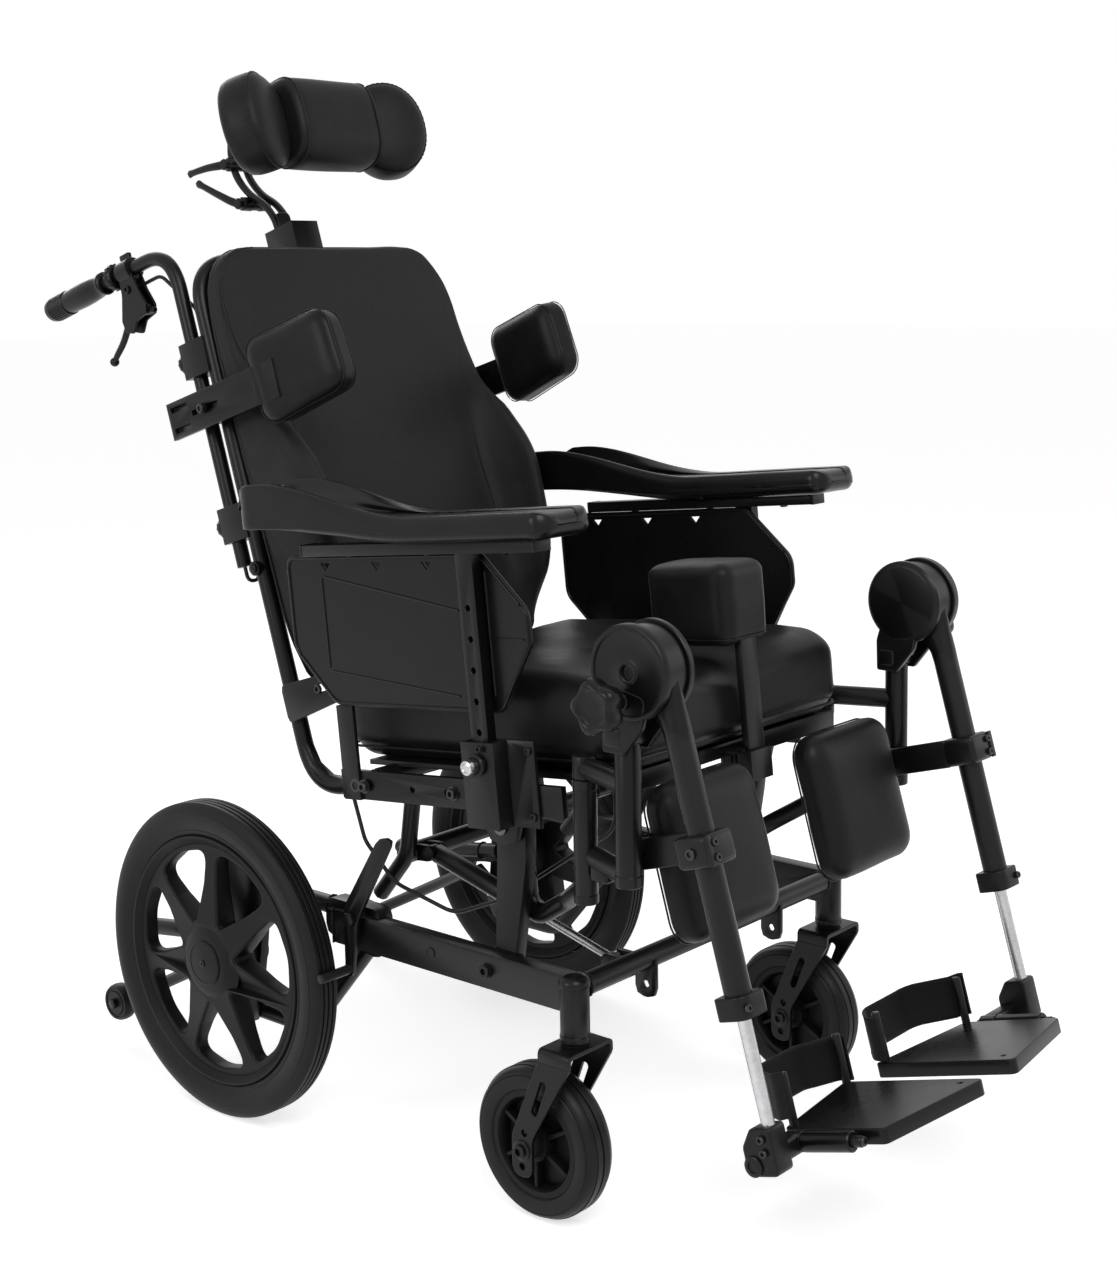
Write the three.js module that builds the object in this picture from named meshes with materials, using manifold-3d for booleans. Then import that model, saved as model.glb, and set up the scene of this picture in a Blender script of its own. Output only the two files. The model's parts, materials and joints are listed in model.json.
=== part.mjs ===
// Tilt in space wheelchair: a base on moulded rear wheels and swivel casters carries a seat that
// tilts about two front struts, a back that reclines on the seat, and swing-away legrests.
// Millimetres. X is the user's left, the chair faces -Y, Z is up, and the floor is Z = 0.
// "Right" and "left" are the user's. In the code a side is -1 for the right and +1 for the left,
// and "out" is a distance from the middle plane towards that side.

import * as THREE from "three";
import { mergeVertices } from "three/addons/utils/BufferGeometryUtils.js";
import Module from "manifold-3d";

const wasm = await Module();
wasm.setup();

// Clearances and facet counts
const FIT_GAP = 0.3;
const RUN_GAP = 0.8;
const CUT_OVERRUN = 3;
const WELD_TOLERANCE = 0.0001;
const TUBE_SIDES = 8;
const ROD_SIDES = 6;
const HOUSING_FACETS = 12;
const BEND_STEPS = 3;
const CORNER_STEPS = 2;
const WHEEL_FACETS = 24;
const CASTER_FACETS = 16;
const DRUM_FACETS = 18;

// Attitude of the chair as it stands
const SEAT_TILT_DEG = 5.5;
const BACK_RECLINE_DEG = 11.5;
const LEG_ANGLE_DEG = 16;

// Rear wheels
const REAR_DIAMETER = 406;
const REAR_TRACK = 590;
const REAR_TYRE_WIDTH = 41;
const TYRE_HEIGHT = 41;
const RIM_SEAT_DIAMETER = REAR_DIAMETER - 2 * TYRE_HEIGHT;
const RIM_WIDTH = 34;
const RIM_DEPTH = 14;
const WHEEL_WEB = 20;
const WHEEL_HUB_DIAMETER = 74;
const WHEEL_HUB_LENGTH = 58;
const HUB_CAP_DIAMETER = 58;
const HUB_CAP_RISE = 3;
const SPOKE_COUNT = 7;
const SPOKE_RIM_WIDTH = 17;
const SPOKE_HUB_RADIUS = 46;
const WINDOW_CORNER = 11;
const AXLE_DIAMETER = 12;
const TREAD_GROOVES = 3;
const TREAD_GROOVE_DEPTH = 2.2;
const TREAD_GROOVE_WIDTH = 2.4;
const TREAD_FLAT_WIDTH = 26;
const TYRE_BEAD_WIDTH = 30;

// Casters
const CASTER_DIAMETER = 178;
const CASTER_WIDTH = 44;
const CASTER_TRACK = 500;
const CASTER_TRAIL = 49;
const CASTER_RIM_DIAMETER = 116;
const CASTER_HUB_DIAMETER = 40;
const CASTER_HUB_LENGTH = 62;
const CASTER_WEB = 14;
const CASTER_RIBS = 6;
const CASTER_RIB_THICKNESS = 5;
const CASTER_RIB_LENGTH = 34;
const CASTER_GROOVE_WIDTH = 3;
const FORK_PLATE = 5;
const FORK_INNER_WIDTH = 66;
const FORK_TOP_WIDTH = 46;
const FORK_FOOT_WIDTH = 30;
const FORK_CROWN_HEIGHT = 215;
const FORK_SLOT_LENGTH = 46;
const FORK_SLOT_WIDTH = 9;
const CASTER_STEM_DIAMETER = 20;
const CASTER_AXLE_DIAMETER = 10;

// Base frame
const STEM_Y = -558;
const HOUSING_DIAMETER = 34;
const HOUSING_BOTTOM = 218;
const HOUSING_TOP = 286;
const HOUSING_DOME = 9;
const BASE_RAIL_OUT = 245;
const BASE_RAIL_HEIGHT = 42;
const BASE_RAIL_THICKNESS = 20;
const BASE_RAIL_Z = 270;
const BASE_RAIL_REAR_Y = -170;
const FRONT_TUBE_DIAMETER = 25;
const FRONT_TUBE_Z = 277;
const TIE_DOWN_OUT = 124;
const TIE_DOWN_HEIGHT = 46;
const TIE_DOWN_WIDTH = 30;
const TIE_DOWN_PLATE = 5;
const TIE_DOWN_HOLE = 11;
const GUSSET_LENGTH = 96;
const GUSSET_HEIGHT = 62;
const GUSSET_PLATE = 6;
const BRACE_DIAMETER = 22;
const BRACE_OUT = 236;
const UPPER_BRACE_Z = 287;
const LOWER_BRACE_Z = 118;
const LOWER_BRACE_BEND = 45;
const UPRIGHT_PLATE = 12;
const UPRIGHT_OUT = 250;
const UPRIGHT_HEAD_RADIUS = 47;
const UPRIGHT_HEAD_Y = -8;
const UPRIGHT_HEAD_Z = 331;
const UPRIGHT_FOOT_RADIUS = 33;
const UPRIGHT_FOOT_Y = 16;
const UPRIGHT_FOOT_Z = 130;
const AXLE_BOSS_DIAMETER = 44;
const TIPPING_TUBE_Z = 212;
const TIPPING_TUBE_END_Y = 226;
const TIPPING_TUBE_DROP = 30;
const ANTI_TIP_SOCKET_DIAMETER = 30;

// Anti-tip arms and wheels
const ANTI_TIP_OUT = 214;
const ANTI_TIP_PIVOT_Y = 62;
const ANTI_TIP_PIVOT_Z = 178;
const ANTI_TIP_WHEEL_Y = 306;
const ANTI_TIP_WHEEL_Z = 54;
const ANTI_TIP_WHEEL_DIAMETER = 52;
const ANTI_TIP_WHEEL_WIDTH = 20;
const ANTI_TIP_TUBE_DIAMETER = 18;
const ANTI_TIP_EAR = 5;
const ANTI_TIP_PIN_DIAMETER = 8;

// Tilt struts and parking brakes
const STRUT_OUT = 223;
const STRUT_THICKNESS = 18;
const STRUT_FOOT_WIDTH = 28;
const STRUT_HEAD_WIDTH = 44;
const TILT_PIVOT_Y = -450;
const TILT_PIVOT_Z = 442;
const TILT_PIN_DIAMETER = 12;
const BRAKE_OUT = 264;
const BRAKE_PLATE = 5;
const BRAKE_PIVOT_Y = -214;
const BRAKE_PIVOT_Z = 290;
const BRAKE_HANDLE_WIDTH = 24;
const BRAKE_HANDLE_REACH_Y = -66;
const BRAKE_HANDLE_REACH_Z = 112;
const BRAKE_SHOE_DIAMETER = 12;
const BRAKE_SHOE_LENGTH = 48;
const BRAKE_TYRE_GAP = 0.6;
const BRAKE_SHOE_Z = 226;

// Seat frame, in the seat's own frame: origin on the tilt pivot, Y along the seat to the rear
const SEAT_RAIL_OUT = 243;
const SEAT_RAIL_THICKNESS = 8;
const SEAT_RAIL_HEIGHT = 35;
const SEAT_RAIL_Z = 33;
const SEAT_RAIL_FRONT_Y = -96;
const SEAT_RAIL_REAR_Y = 262;
const SEAT_RAIL_HOLE = 9;
const SEAT_RAIL_HOLE_PITCH = 57;
const CHANNEL_DROP = 30;
const CHANNEL_WIDTH = 50;
const HANGER_OUT = 176;
const HANGER_DIAMETER = 20;
const HANGER_TOP_Y = 207;
const HANGER_MID_Y = 236;
const HANGER_MID_Z = -70;
const HANGER_END_Y = 292;
const HANGER_END_Z = -124;
const HANGER_BEND = 60;
const REAR_SEAT_TUBE_Z = 42;
const REAR_TUBE_Y = 242;
const FRONT_SEAT_TUBE_Y = -115;
const FRONT_SEAT_TUBE_Z = 44;
const SEAT_PAN_Z = 50;
const REAR_TUBE_DIAMETER = 24;
const FRONT_SEAT_TUBE_DIAMETER = 22;
const J_TUBE_OUT = 198;
const J_TUBE_DIAMETER = 21;
const J_TUBE_LOW_Y = 14;
const J_TUBE_LOW_Z = -124;
const J_TUBE_BEND = 36;
const SEAT_PAN_THICKNESS = 6;
const SEAT_PAN_LIP = 16;
const SEAT_PAN_WIDTH = 420;
const SEAT_PAN_FRONT_Y = -142;
const SEAT_PAN_REAR_Y = 250;
const GAS_LUG_OUT = 150;
const GAS_LUG_THICKNESS = 6;
const GAS_LUG_RADIUS = 10;
const GAS_LUG_REACH = 27;
const GAS_PIN_DIAMETER = 8;
const GAS_CYLINDER_DIAMETER = 24;
const GAS_CYLINDER_LENGTH = 165;
const GAS_CYLINDER_BORE = 13;
const GAS_CYLINDER_WALL_END = 24;
const GAS_ROD_DIAMETER = 10;
const GAS_ROD_LENGTH = 200;
const GAS_EYE_RADIUS = 9;
const GAS_EYE_WIDTH = 12;

// Armrests, in the seat's frame
const RECEIVER_WIDTH = 92;
const RECEIVER_HEIGHT = 98;
const RECEIVER_LOW_Z = 3;
const RECEIVER_PLATE = 5;
const RECEIVER_CHANNEL_WIDTH = 50;
const RECEIVER_CHANNEL_DEPTH = 28;
const ARM_POST_Y = 0;
const ARM_POST_OUT = 262;
const ARM_SLOT_GAP = 0.5;
const ARM_POST_WIDTH = 26;
const ARM_POST_DEPTH = 14;
const ARM_POST_LOW_Z = 22;
const ARM_BAR_Z = 319;
const ARM_BAR_HEIGHT = 14;
const ARM_BAR_WIDTH = 26;
const ARM_BAR_FRONT_Y = -112;
const ARM_BAR_REAR_Y = 262;
const ARM_POST_HOLE = 8;
const ARM_POST_HOLE_PITCH = 35;
const PIN_DIAMETER = 7;
const PIN_HEAD_DIAMETER = 18;
const PIN_HEAD_LENGTH = 13;
const PIN_Z = 76;
const PAD_INNER_OUT = 214;
const PAD_OUTER_OUT = 302;
const PAD_FRONT_Y = -152;
const PAD_REAR_Y = 346;
const PAD_THICKNESS = 30;
const PAD_LIP_RISE = 46;
const PAD_HEEL_RISE = 22;
const GUARD_PANEL = 6;
const GUARD_OUT = 250;
const GUARD_LOW_Z = 130;
const GUARD_REAR_Y = 318;
const GUARD_FRONT_Y = -76;
const GUARD_CHAMFER = 66;
const GUARD_RIB_WIDTH = 4;
const GUARD_NOTCH = 9;
const GUARD_BRACKET_WIDTH = 28;
const GUARD_BRACKET_Y = 240;

// Seat cushion and pommel, in the seat's frame
const CUSHION_WIDTH = 424;
const CUSHION_FRONT_Y = -168;
const CUSHION_REAR_Y = 296;
const CUSHION_HEIGHT = 118;
const CUSHION_DISH = 17;
const CUSHION_ROUND = 34;
const CUSHION_DRAW_IN = 6;
const POMMEL_WIDTH = 88;
const POMMEL_DEPTH = 120;
const POMMEL_HEIGHT = 94;
const POMMEL_LOW_Z = 176;
const POMMEL_ROUND = 16;
const POMMEL_CROWN = 5;
const POMMEL_POST_WIDTH = 30;
const POMMEL_POST_THICKNESS = 10;
const POMMEL_POST_GAP = 4;
const POMMEL_POST_LOW_Z = 34;

// Back, in the back's own frame: origin on the recline pivot, Y to the rear, Z up along the back
const RECLINE_PIVOT_Y = 233;
const RECLINE_PIVOT_Z = 33;
const BACK_TUBE_OUT = 205;
const BACK_TUBE_DIAMETER = 21;
const BACK_TUBE_Y = 131;
const BACK_TUBE_TOP_Z = 694;
const BACK_TUBE_BEND = 64;
const BACK_FOOT_DIAMETER = 26;
const RECLINE_PIN_DIAMETER = 12;
const BACK_BAR_Z = 292;
const BACK_UPPER_BAR_DROP = 82;
const BACK_UPPER_BAR_Z = BACK_TUBE_TOP_Z - BACK_UPPER_BAR_DROP;
const BACK_BAR_DIAMETER = 18;
const BACK_BAR_STUB = 16;
const RECLINE_PLATE_THICKNESS = 7;
const RECLINE_PLATE_HEIGHT = 50;
const RECLINE_PLATE_Z = 116;
const RECLINE_PLATE_FRONT_Y = 12;
const RECLINE_SLOT_LENGTH = 34;
const RECLINE_SLOT_WIDTH = 9;
const BACK_CUSHION_RISE = 18;
const BACK_CUSHION_TOP_Z = BACK_TUBE_TOP_Z + BACK_CUSHION_RISE;
const BACK_CUSHION_LOW_Z = 128;
const BACK_CUSHION_REAR_Y = 119;
const BACK_CUSHION_THICKNESS = 52;
const BACK_WING_HALF_WIDTH = 204;
const BACK_WING_REACH = 68;
const BACK_WING_WIDTH = 62;

// Push handles, lateral supports and headrest, in the back's frame
const HANDLE_OUT = 205;
const HANDLE_TUBE_DIAMETER = 19;
const HANDLE_SET_BACK = 36;
const HANDLE_LOW_Z = 300;
const HANDLE_GRIP_RISE = 30;
const HANDLE_GRIP_Z = BACK_TUBE_TOP_Z + HANDLE_GRIP_RISE;
const HANDLE_BEND = 58;
const HANDLE_END_Y = 446;
const GRIP_DIAMETER = 35;
const GRIP_LENGTH = 132;
const GRIP_RIBS = 4;
const GRIP_RIB_RISE = 2;
const HANDLE_CLAMP_Y = 262;
const HANDLE_CLAMP_DIAMETER = 30;
const HANDLE_CLAMP_LENGTH = 26;
const SOCKET_LENGTH = 46;
const SOCKET_WALL = 4;
const LOW_SOCKET_Z = 356;
const HIGH_SOCKET_DROP = 120;
const HIGH_SOCKET_Z = BACK_TUBE_TOP_Z - HIGH_SOCKET_DROP;
const SOCKET_KNOB_DIAMETER = 22;
const LEVER_THICKNESS = 9;
const LEVER_WIDTH = 13;
const LEVER_DROP = 104;
const LEVER_REACH = 74;
const LEVER_BALL_DIAMETER = 13;
const LEVER_PIVOT_DROP = 26;
const LATERAL_OUT = 236;
const LATERAL_PLATE = 6;
const LATERAL_HEIGHT = 48;
const LATERAL_Z = 503;
const LATERAL_REAR_Y = 206;
const LATERAL_FRONT_Y = 30;
const LATERAL_SLOT_LENGTH = 34;
const LATERAL_SLOT_WIDTH = 7;
const LATERAL_PAD_LENGTH = 142;
const LATERAL_PAD_Y = -32;
const LATERAL_PAD_HEIGHT = 110;
const LATERAL_PAD_THICKNESS = 44;
const LATERAL_PAD_OUT = 210;
const LATERAL_PAD_Z = 512;
const LATERAL_PAD_ROUND = 20;
const HEAD_BOX_WIDTH = 46;
const HEAD_BOX_DEPTH = 30;
const HEAD_BOX_RISE = 6;
const HEAD_BOX_HEIGHT = 52;
const HEAD_BOX_LOW_Z = BACK_TUBE_TOP_Z + HEAD_BOX_RISE;
const HEAD_BOX_HIGH_Z = HEAD_BOX_LOW_Z + HEAD_BOX_HEIGHT;
const HEAD_BOX_Y = 174;
const HEAD_POST_WIDTH = 24;
const HEAD_POST_DEPTH = 10;
const HEAD_POST_DROP = 104;
const HEAD_POST_LOW_Z = BACK_TUBE_TOP_Z - HEAD_POST_DROP;
const HEAD_ARM_DIAMETER = 14;
const HEAD_ARM_BACK_Y = 236;
const HEAD_CLAMP_DIAMETER = 26;
const HEAD_LEVER_LENGTH = 78;
const HEAD_PAD_RISE = 172;
const HEAD_PAD_Z = BACK_TUBE_TOP_Z + HEAD_PAD_RISE;
const HEAD_PAD_FRONT_Y = 12;
const HEAD_ROLL_HEIGHT = 116;
const HEAD_ROLL_WIDTH = 150;
const HEAD_ROLL_DEPTH = 84;
const HEAD_WING_HEIGHT = 132;
const HEAD_WING_WIDTH = 104;
const HEAD_WING_DEPTH = 62;
const HEAD_WING_ANGLE_DEG = 28;
const HEAD_WING_GAP = 5;

// Legrests, in the hanger's frame: origin on the swing post at the tilt pivot's height
const POST_OUT = 232;
const POST_REACH = 112;
const POST_DIAMETER = 27;
const POST_TOP = 70;
const POST_BOTTOM = -70;
const SWING_PIN_DIAMETER = 14;
const SWING_PIN_LENGTH = 34;
const HANGER_TUBE_OUT = 264;
const HANGER_TUBE_Y = -88;
const HANGER_TUBE_DIAMETER = 30;
const HANGER_TUBE_LOW = -26;
const HANGER_ARM_TOP = 83;
const HANGER_ARM_LOW = -16;
const HANGER_ARM_DIAMETER = 24;
const LATCH_WIDTH = 26;
const LATCH_HEIGHT = 30;
const DRUM_Y = -110;
const DRUM_Z = 210;
const DRUM_RADIUS = 51;
const DRUM_CHEEK = 11.5;
const DRUM_EDGE_ROUND = 5;
const DRUM_PIN_DIAMETER = 16;
const KNOB_DIAMETER = 62;
const KNOB_THICKNESS = 24;
const KNOB_LOBES = 5;
const KNOB_LOBE_DEPTH_SHARE = 0.2;
const KNOB_Y = 8;
const KNOB_Z = -30;
const KNOB_STAND_OFF = 25;

// Lower legs, in the leg's frame: origin on the knee drum's axis, Z up along the leg tube
const LEG_TUBE_DIAMETER = 29;
const LEG_TUBE_WALL = 4;
const LEG_TUBE_Y = -27;
const LEG_TUBE_LOW = -366;
const LEG_END_CLAMP_HEIGHT = 24;
const LEG_END_CLAMP_WIDTH = 40;
const CALF_CLAMP_Z = -192;
const CALF_CLAMP_HEIGHT = 34;
const CALF_CLAMP_WIDTH = 46;
const CALF_ARM_PLATE = 6;
const CALF_PAD_INNER_OUT = 52;
const CALF_PAD_OUTER_OUT = 226;
const CALF_PAD_TOP = -126;
const CALF_PAD_LOW = -302;
const CALF_PAD_FRONT_Y = 41;
const CALF_PAD_THICKNESS = 42;
const CALF_PAD_ROUND = 22;
const CALF_PAD_CROWN = 7;
const FOOT_STEM_DIAMETER = 15;
const FOOT_STEM_TOP = -240;
const FOOT_BLOCK_TOP = -478;
const FOOT_BLOCK_DEPTH = 40;
const PLATE_TOP = -507;
const PLATE_THICKNESS = 17;
const PLATE_INNER_OUT = 31;
const PLATE_OUTER_OUT = 190;
const PLATE_REAR_Y = 45;
const PLATE_FRONT_Y = -112;
const PLATE_NOSE_Y = -140;
const PLATE_CORNER = 14;
const PLATE_HINGE_OUT = 204;
const PLATE_HINGE_DIAMETER = 22;
const PLATE_BARREL = 62;
const STRAP_WIDTH = 50;
const STRAP_THICKNESS = 4;
const STRAP_BOW = 26;
const STRAP_LIFT = 12;
const STRAP_POST_DIAMETER = 10;

// Release cables
const CABLE_DIAMETER = 5;
const CABLE_SIDES = 6;
const CABLE_BEND = 40;
const CABLE_ROUTE = [
  [-232, 248, -40],
  [-214, 222, -94],
  [-190, 148, -131],
  [-182, 68, -106],
  [-180, -36, -49],
  [-180, -112, -10],
];

const TO_RAD = Math.PI / 180;
const FULL_TURN = Math.PI * 2;
const REAR_RADIUS = REAR_DIAMETER / 2;
const CASTER_RADIUS = CASTER_DIAMETER / 2;

// Finishes
const finishes = {
  frame: new THREE.MeshStandardMaterial({ color: 0x232323, roughness: 0.5, metalness: 0.4 }),
  steel: new THREE.MeshStandardMaterial({ color: 0xb8b8b8, roughness: 0.25, metalness: 1 }),
  plastic: new THREE.MeshStandardMaterial({ color: 0x1e1e1e, roughness: 0.55, metalness: 0 }),
  rubber: new THREE.MeshStandardMaterial({ color: 0x1b1b1b, roughness: 0.8, metalness: 0 }),
  vinyl: new THREE.MeshStandardMaterial({ color: 0x1d1d1d, roughness: 0.45, metalness: 0 }),
  fabric: new THREE.MeshStandardMaterial({ color: 0x242424, roughness: 0.9, metalness: 0 }),
};

// Mesh tools

function signedVolume(geometry) {
  const at = geometry.attributes.position;
  const order = geometry.index.array;
  const a = new THREE.Vector3();
  const b = new THREE.Vector3();
  const c = new THREE.Vector3();
  let sum = 0;
  for (let i = 0; i < order.length; i += 3) {
    a.fromBufferAttribute(at, order[i]);
    b.fromBufferAttribute(at, order[i + 1]);
    c.fromBufferAttribute(at, order[i + 2]);
    sum += a.dot(b.cross(c));
  }
  return sum;
}

function solid(shape) {
  if (shape instanceof wasm.Manifold) {
    return shape;
  }
  const bare = shape.clone();
  bare.deleteAttribute("normal");
  bare.deleteAttribute("uv");
  const welded = mergeVertices(bare, WELD_TOLERANCE);
  const order = Uint32Array.from(welded.index.array);
  if (signedVolume(welded) < 0) {
    order.reverse();
  }
  const vertices = Float32Array.from(welded.attributes.position.array);
  return new wasm.Manifold(new wasm.Mesh({ numProp: 3, vertProperties: vertices, triVerts: order }));
}

function fuse(...shapes) {
  return shapes.map(solid).reduce((sum, next) => sum.add(next));
}

function carve(shape, ...tools) {
  return tools.map(solid).reduce((rest, tool) => rest.subtract(tool), solid(shape));
}

function piece(parent, name, shape, finish) {
  const result = solid(shape).getMesh();
  const geometry = new THREE.BufferGeometry();
  geometry.setAttribute("position", new THREE.BufferAttribute(Float32Array.from(result.vertProperties), 3));
  geometry.setIndex(Array.from(result.triVerts));
  geometry.computeVertexNormals();
  const mesh = new THREE.Mesh(geometry, finish.clone());
  mesh.name = name;
  parent.add(mesh);
  return mesh;
}

function block(width, depth, height, x, y, z) {
  return new THREE.BoxGeometry(width, depth, height).translate(x, y, z);
}

function vec(x, y, z) {
  return new THREE.Vector3(x, y, z);
}

function ngon(radius, sides) {
  const points = [];
  for (let i = 0; i < sides; i += 1) {
    const angle = (FULL_TURN * (i + 0.5)) / sides;
    points.push(new THREE.Vector2(radius * Math.cos(angle), radius * Math.sin(angle)));
  }
  return new THREE.Shape(points);
}

// A path of straight runs and round bends, with a station only where the tube needs a ring
class BentPath extends THREE.Curve {
  constructor(corners, bend, steps) {
    super();
    this.stations = [];
    const last = corners.length - 1;
    const along = corners.slice(1).map((corner, i) => corner.clone().sub(corners[i]).normalize());
    this.addStation(corners[0], along[0]);
    for (let i = 1; i < last; i += 1) {
      this.addBend(corners, along, i, bend, steps);
    }
    this.addStation(corners[last], along[last - 1]);
  }

  addStation(point, tangent) {
    this.stations.push({ point: point.clone(), tangent: tangent.clone().normalize() });
  }

  addBend(corners, along, i, bend, steps) {
    const before = along[i - 1];
    const after = along[i];
    const turn = before.angleTo(after);
    const room = Math.min(corners[i].distanceTo(corners[i - 1]), corners[i].distanceTo(corners[i + 1])) / 2;
    const cut = Math.min(bend * Math.tan(turn / 2), room);
    const radius = cut / Math.tan(turn / 2);
    const inward = after.clone().addScaledVector(before, -Math.cos(turn)).normalize();
    const start = corners[i].clone().addScaledVector(before, -cut);
    const centre = start.clone().addScaledVector(inward, radius);
    for (let k = 0; k <= steps; k += 1) {
      const angle = (turn * k) / steps;
      const spoke = inward.clone().multiplyScalar(-Math.cos(angle)).addScaledVector(before, Math.sin(angle));
      const tangent = before.clone().multiplyScalar(Math.cos(angle)).addScaledVector(inward, Math.sin(angle));
      this.addStation(centre.clone().addScaledVector(spoke, radius), tangent);
    }
  }

  getPointAt(share) {
    return this.stations[Math.round(share * (this.stations.length - 1))].point.clone();
  }

  getTangentAt(share) {
    return this.stations[Math.round(share * (this.stations.length - 1))].tangent.clone();
  }
}

function sweep(section, corners, bend, steps = BEND_STEPS) {
  const path = new BentPath(corners, bend, steps);
  return new THREE.ExtrudeGeometry(section, { steps: path.stations.length - 1, extrudePath: path });
}

function pipe(corners, diameter, bend, sides = TUBE_SIDES) {
  return sweep(ngon(diameter / 2, sides), corners, bend);
}

function rod(from, to, diameter, sides = TUBE_SIDES) {
  return sweep(ngon(diameter / 2, sides), [from, to], 0);
}

function roundedOutline(points, radii) {
  const result = [];
  points.forEach((point, i) => {
    const here = new THREE.Vector2(...point);
    const before = new THREE.Vector2(...points[(i + points.length - 1) % points.length]);
    const after = new THREE.Vector2(...points[(i + 1) % points.length]);
    const radius = Array.isArray(radii) ? radii[i] : radii;
    const toBefore = before.clone().sub(here);
    const toAfter = after.clone().sub(here);
    const reach = Math.min(radius, toBefore.length() / 2, toAfter.length() / 2);
    if (reach === 0) {
      result.push(here);
      return;
    }
    const start = here.clone().addScaledVector(toBefore.normalize(), reach);
    const end = here.clone().addScaledVector(toAfter.normalize(), reach);
    const curve = new THREE.QuadraticBezierCurve(start, here, end);
    result.push(...curve.getPoints(CORNER_STEPS));
  });
  return result;
}

// A flat plate: the outline's two axes are the two that the normal axis leaves, in X, Y, Z order
function plate(outline, thickness, axis, at) {
  const points = outline.map((point) => (point.isVector2 ? point : new THREE.Vector2(...point)));
  const geometry = new THREE.ExtrudeGeometry(new THREE.Shape(points), { depth: thickness,
    bevelEnabled: false });
  geometry.translate(0, 0, -thickness / 2);
  const frames = {
    x: new THREE.Matrix4().makeBasis(vec(0, 1, 0), vec(0, 0, 1), vec(1, 0, 0)),
    y: new THREE.Matrix4().makeBasis(vec(1, 0, 0), vec(0, 0, 1), vec(0, 1, 0)),
    z: new THREE.Matrix4(),
  };
  geometry.applyMatrix4(frames[axis]);
  const shift = { x: vec(at, 0, 0), y: vec(0, at, 0), z: vec(0, 0, at) }[axis];
  return geometry.translate(shift.x, shift.y, shift.z);
}

// A body of revolution about an axis along X: the profile is pairs of radius and place along X
function turned(profile, facets, x, y, z) {
  const points = profile.map(([radius, along]) => new THREE.Vector2(radius, along));
  const geometry = new THREE.LatheGeometry(points, facets);
  return geometry.rotateZ(-Math.PI / 2).translate(x, y, z);
}

// A closed skin over rings of points, each end closed by a fan to the ring's middle
function loft(rings) {
  const count = rings[0].length;
  const positions = rings.flat().flatMap((point) => [point.x, point.y, point.z]);
  const order = [];
  for (let ring = 0; ring < rings.length - 1; ring += 1) {
    for (let i = 0; i < count; i += 1) {
      const a = ring * count + i;
      const b = ring * count + ((i + 1) % count);
      order.push(a, b, b + count, a, b + count, a + count);
    }
  }
  [0, rings.length - 1].forEach((ring) => {
    const middle = rings[ring].reduce((sum, point) => sum.add(point), vec(0, 0, 0)).divideScalar(count);
    const hub = positions.length / 3;
    positions.push(middle.x, middle.y, middle.z);
    for (let i = 0; i < count; i += 1) {
      const a = ring * count + i;
      const b = ring * count + ((i + 1) % count);
      order.push(...(ring === 0 ? [b, a, hub] : [a, b, hub]));
    }
  });
  const geometry = new THREE.BufferGeometry();
  geometry.setAttribute("position", new THREE.BufferAttribute(new Float32Array(positions), 3));
  geometry.setIndex(order);
  return geometry;
}

// A sewn pad lying in its own XY plane, crowned on the face at +Z, with sides drawn in by a seam
const PAD_LEVEL_SHARES = [
  { inset: 0.8, height: 0 },
  { inset: 0.2, height: 0.1 },
  { inset: 0, height: 0.32 },
  { inset: 0.06, height: 0.5 },
  { inset: 0, height: 0.68 },
  { inset: 0.22, height: 0.9 },
  { inset: 0.85, height: 1 },
];
const PAD_CROWN_SHARES = [
  { size: 0.62, crown: 0.7 },
  { size: 0.3, crown: 0.95 },
];
const CUSHION_SIDE_POINTS = 4;

function padRing(width, length, round, drawIn, z, sidePoints) {
  const points = [];
  const halves = [width / 2 - round, length / 2 - round];
  const corners = [[1, 1], [-1, 1], [-1, -1], [1, -1]];
  corners.forEach(([sx, sy], corner) => {
    for (let k = 0; k <= CORNER_STEPS; k += 1) {
      const angle = (Math.PI / 2) * (corner + k / CORNER_STEPS);
      points.push(vec(sx * halves[0] + round * Math.cos(angle), sy * halves[1] + round * Math.sin(angle), z));
    }
    const from = points[points.length - 1];
    const next = corners[(corner + 1) % corners.length];
    const nextAngle = (Math.PI / 2) * (corner + 1);
    const to = vec(next[0] * halves[0] + round * Math.cos(nextAngle),
      next[1] * halves[1] + round * Math.sin(nextAngle), z);
    for (let k = 1; k < sidePoints; k += 1) {
      const share = k / sidePoints;
      const point = from.clone().lerp(to, share);
      const pull = drawIn * Math.sin(Math.PI * share);
      point.x -= pull * Math.cos(nextAngle);
      point.y -= pull * Math.sin(nextAngle);
      points.push(point);
    }
  });
  return points;
}

function pad(width, length, thickness, round, crown, drawIn = 0, sidePoints = 1) {
  const edge = Math.min(round, thickness / 2);
  const rings = PAD_LEVEL_SHARES.map((level) => {
    const inset = edge * level.inset;
    return padRing(width - 2 * inset, length - 2 * inset, Math.max(round - inset, edge * (1 - level.inset)),
      drawIn, (thickness - crown) * level.height, sidePoints);
  });
  const top = rings[rings.length - 1];
  PAD_CROWN_SHARES.forEach((level) => {
    rings.push(top.map((point) => vec(point.x * level.size, point.y * level.size,
      point.z + crown * level.crown)));
  });
  return loft(rings);
}

function mapGeometry(geometry, place) {
  const at = geometry.attributes.position;
  for (let i = 0; i < at.count; i += 1) {
    const moved = place(vec(at.getX(i), at.getY(i), at.getZ(i)));
    at.setXYZ(i, moved.x, moved.y, moved.z);
  }
  return geometry;
}

function sideName(side) {
  return side < 0 ? "right" : "left";
}

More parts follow.
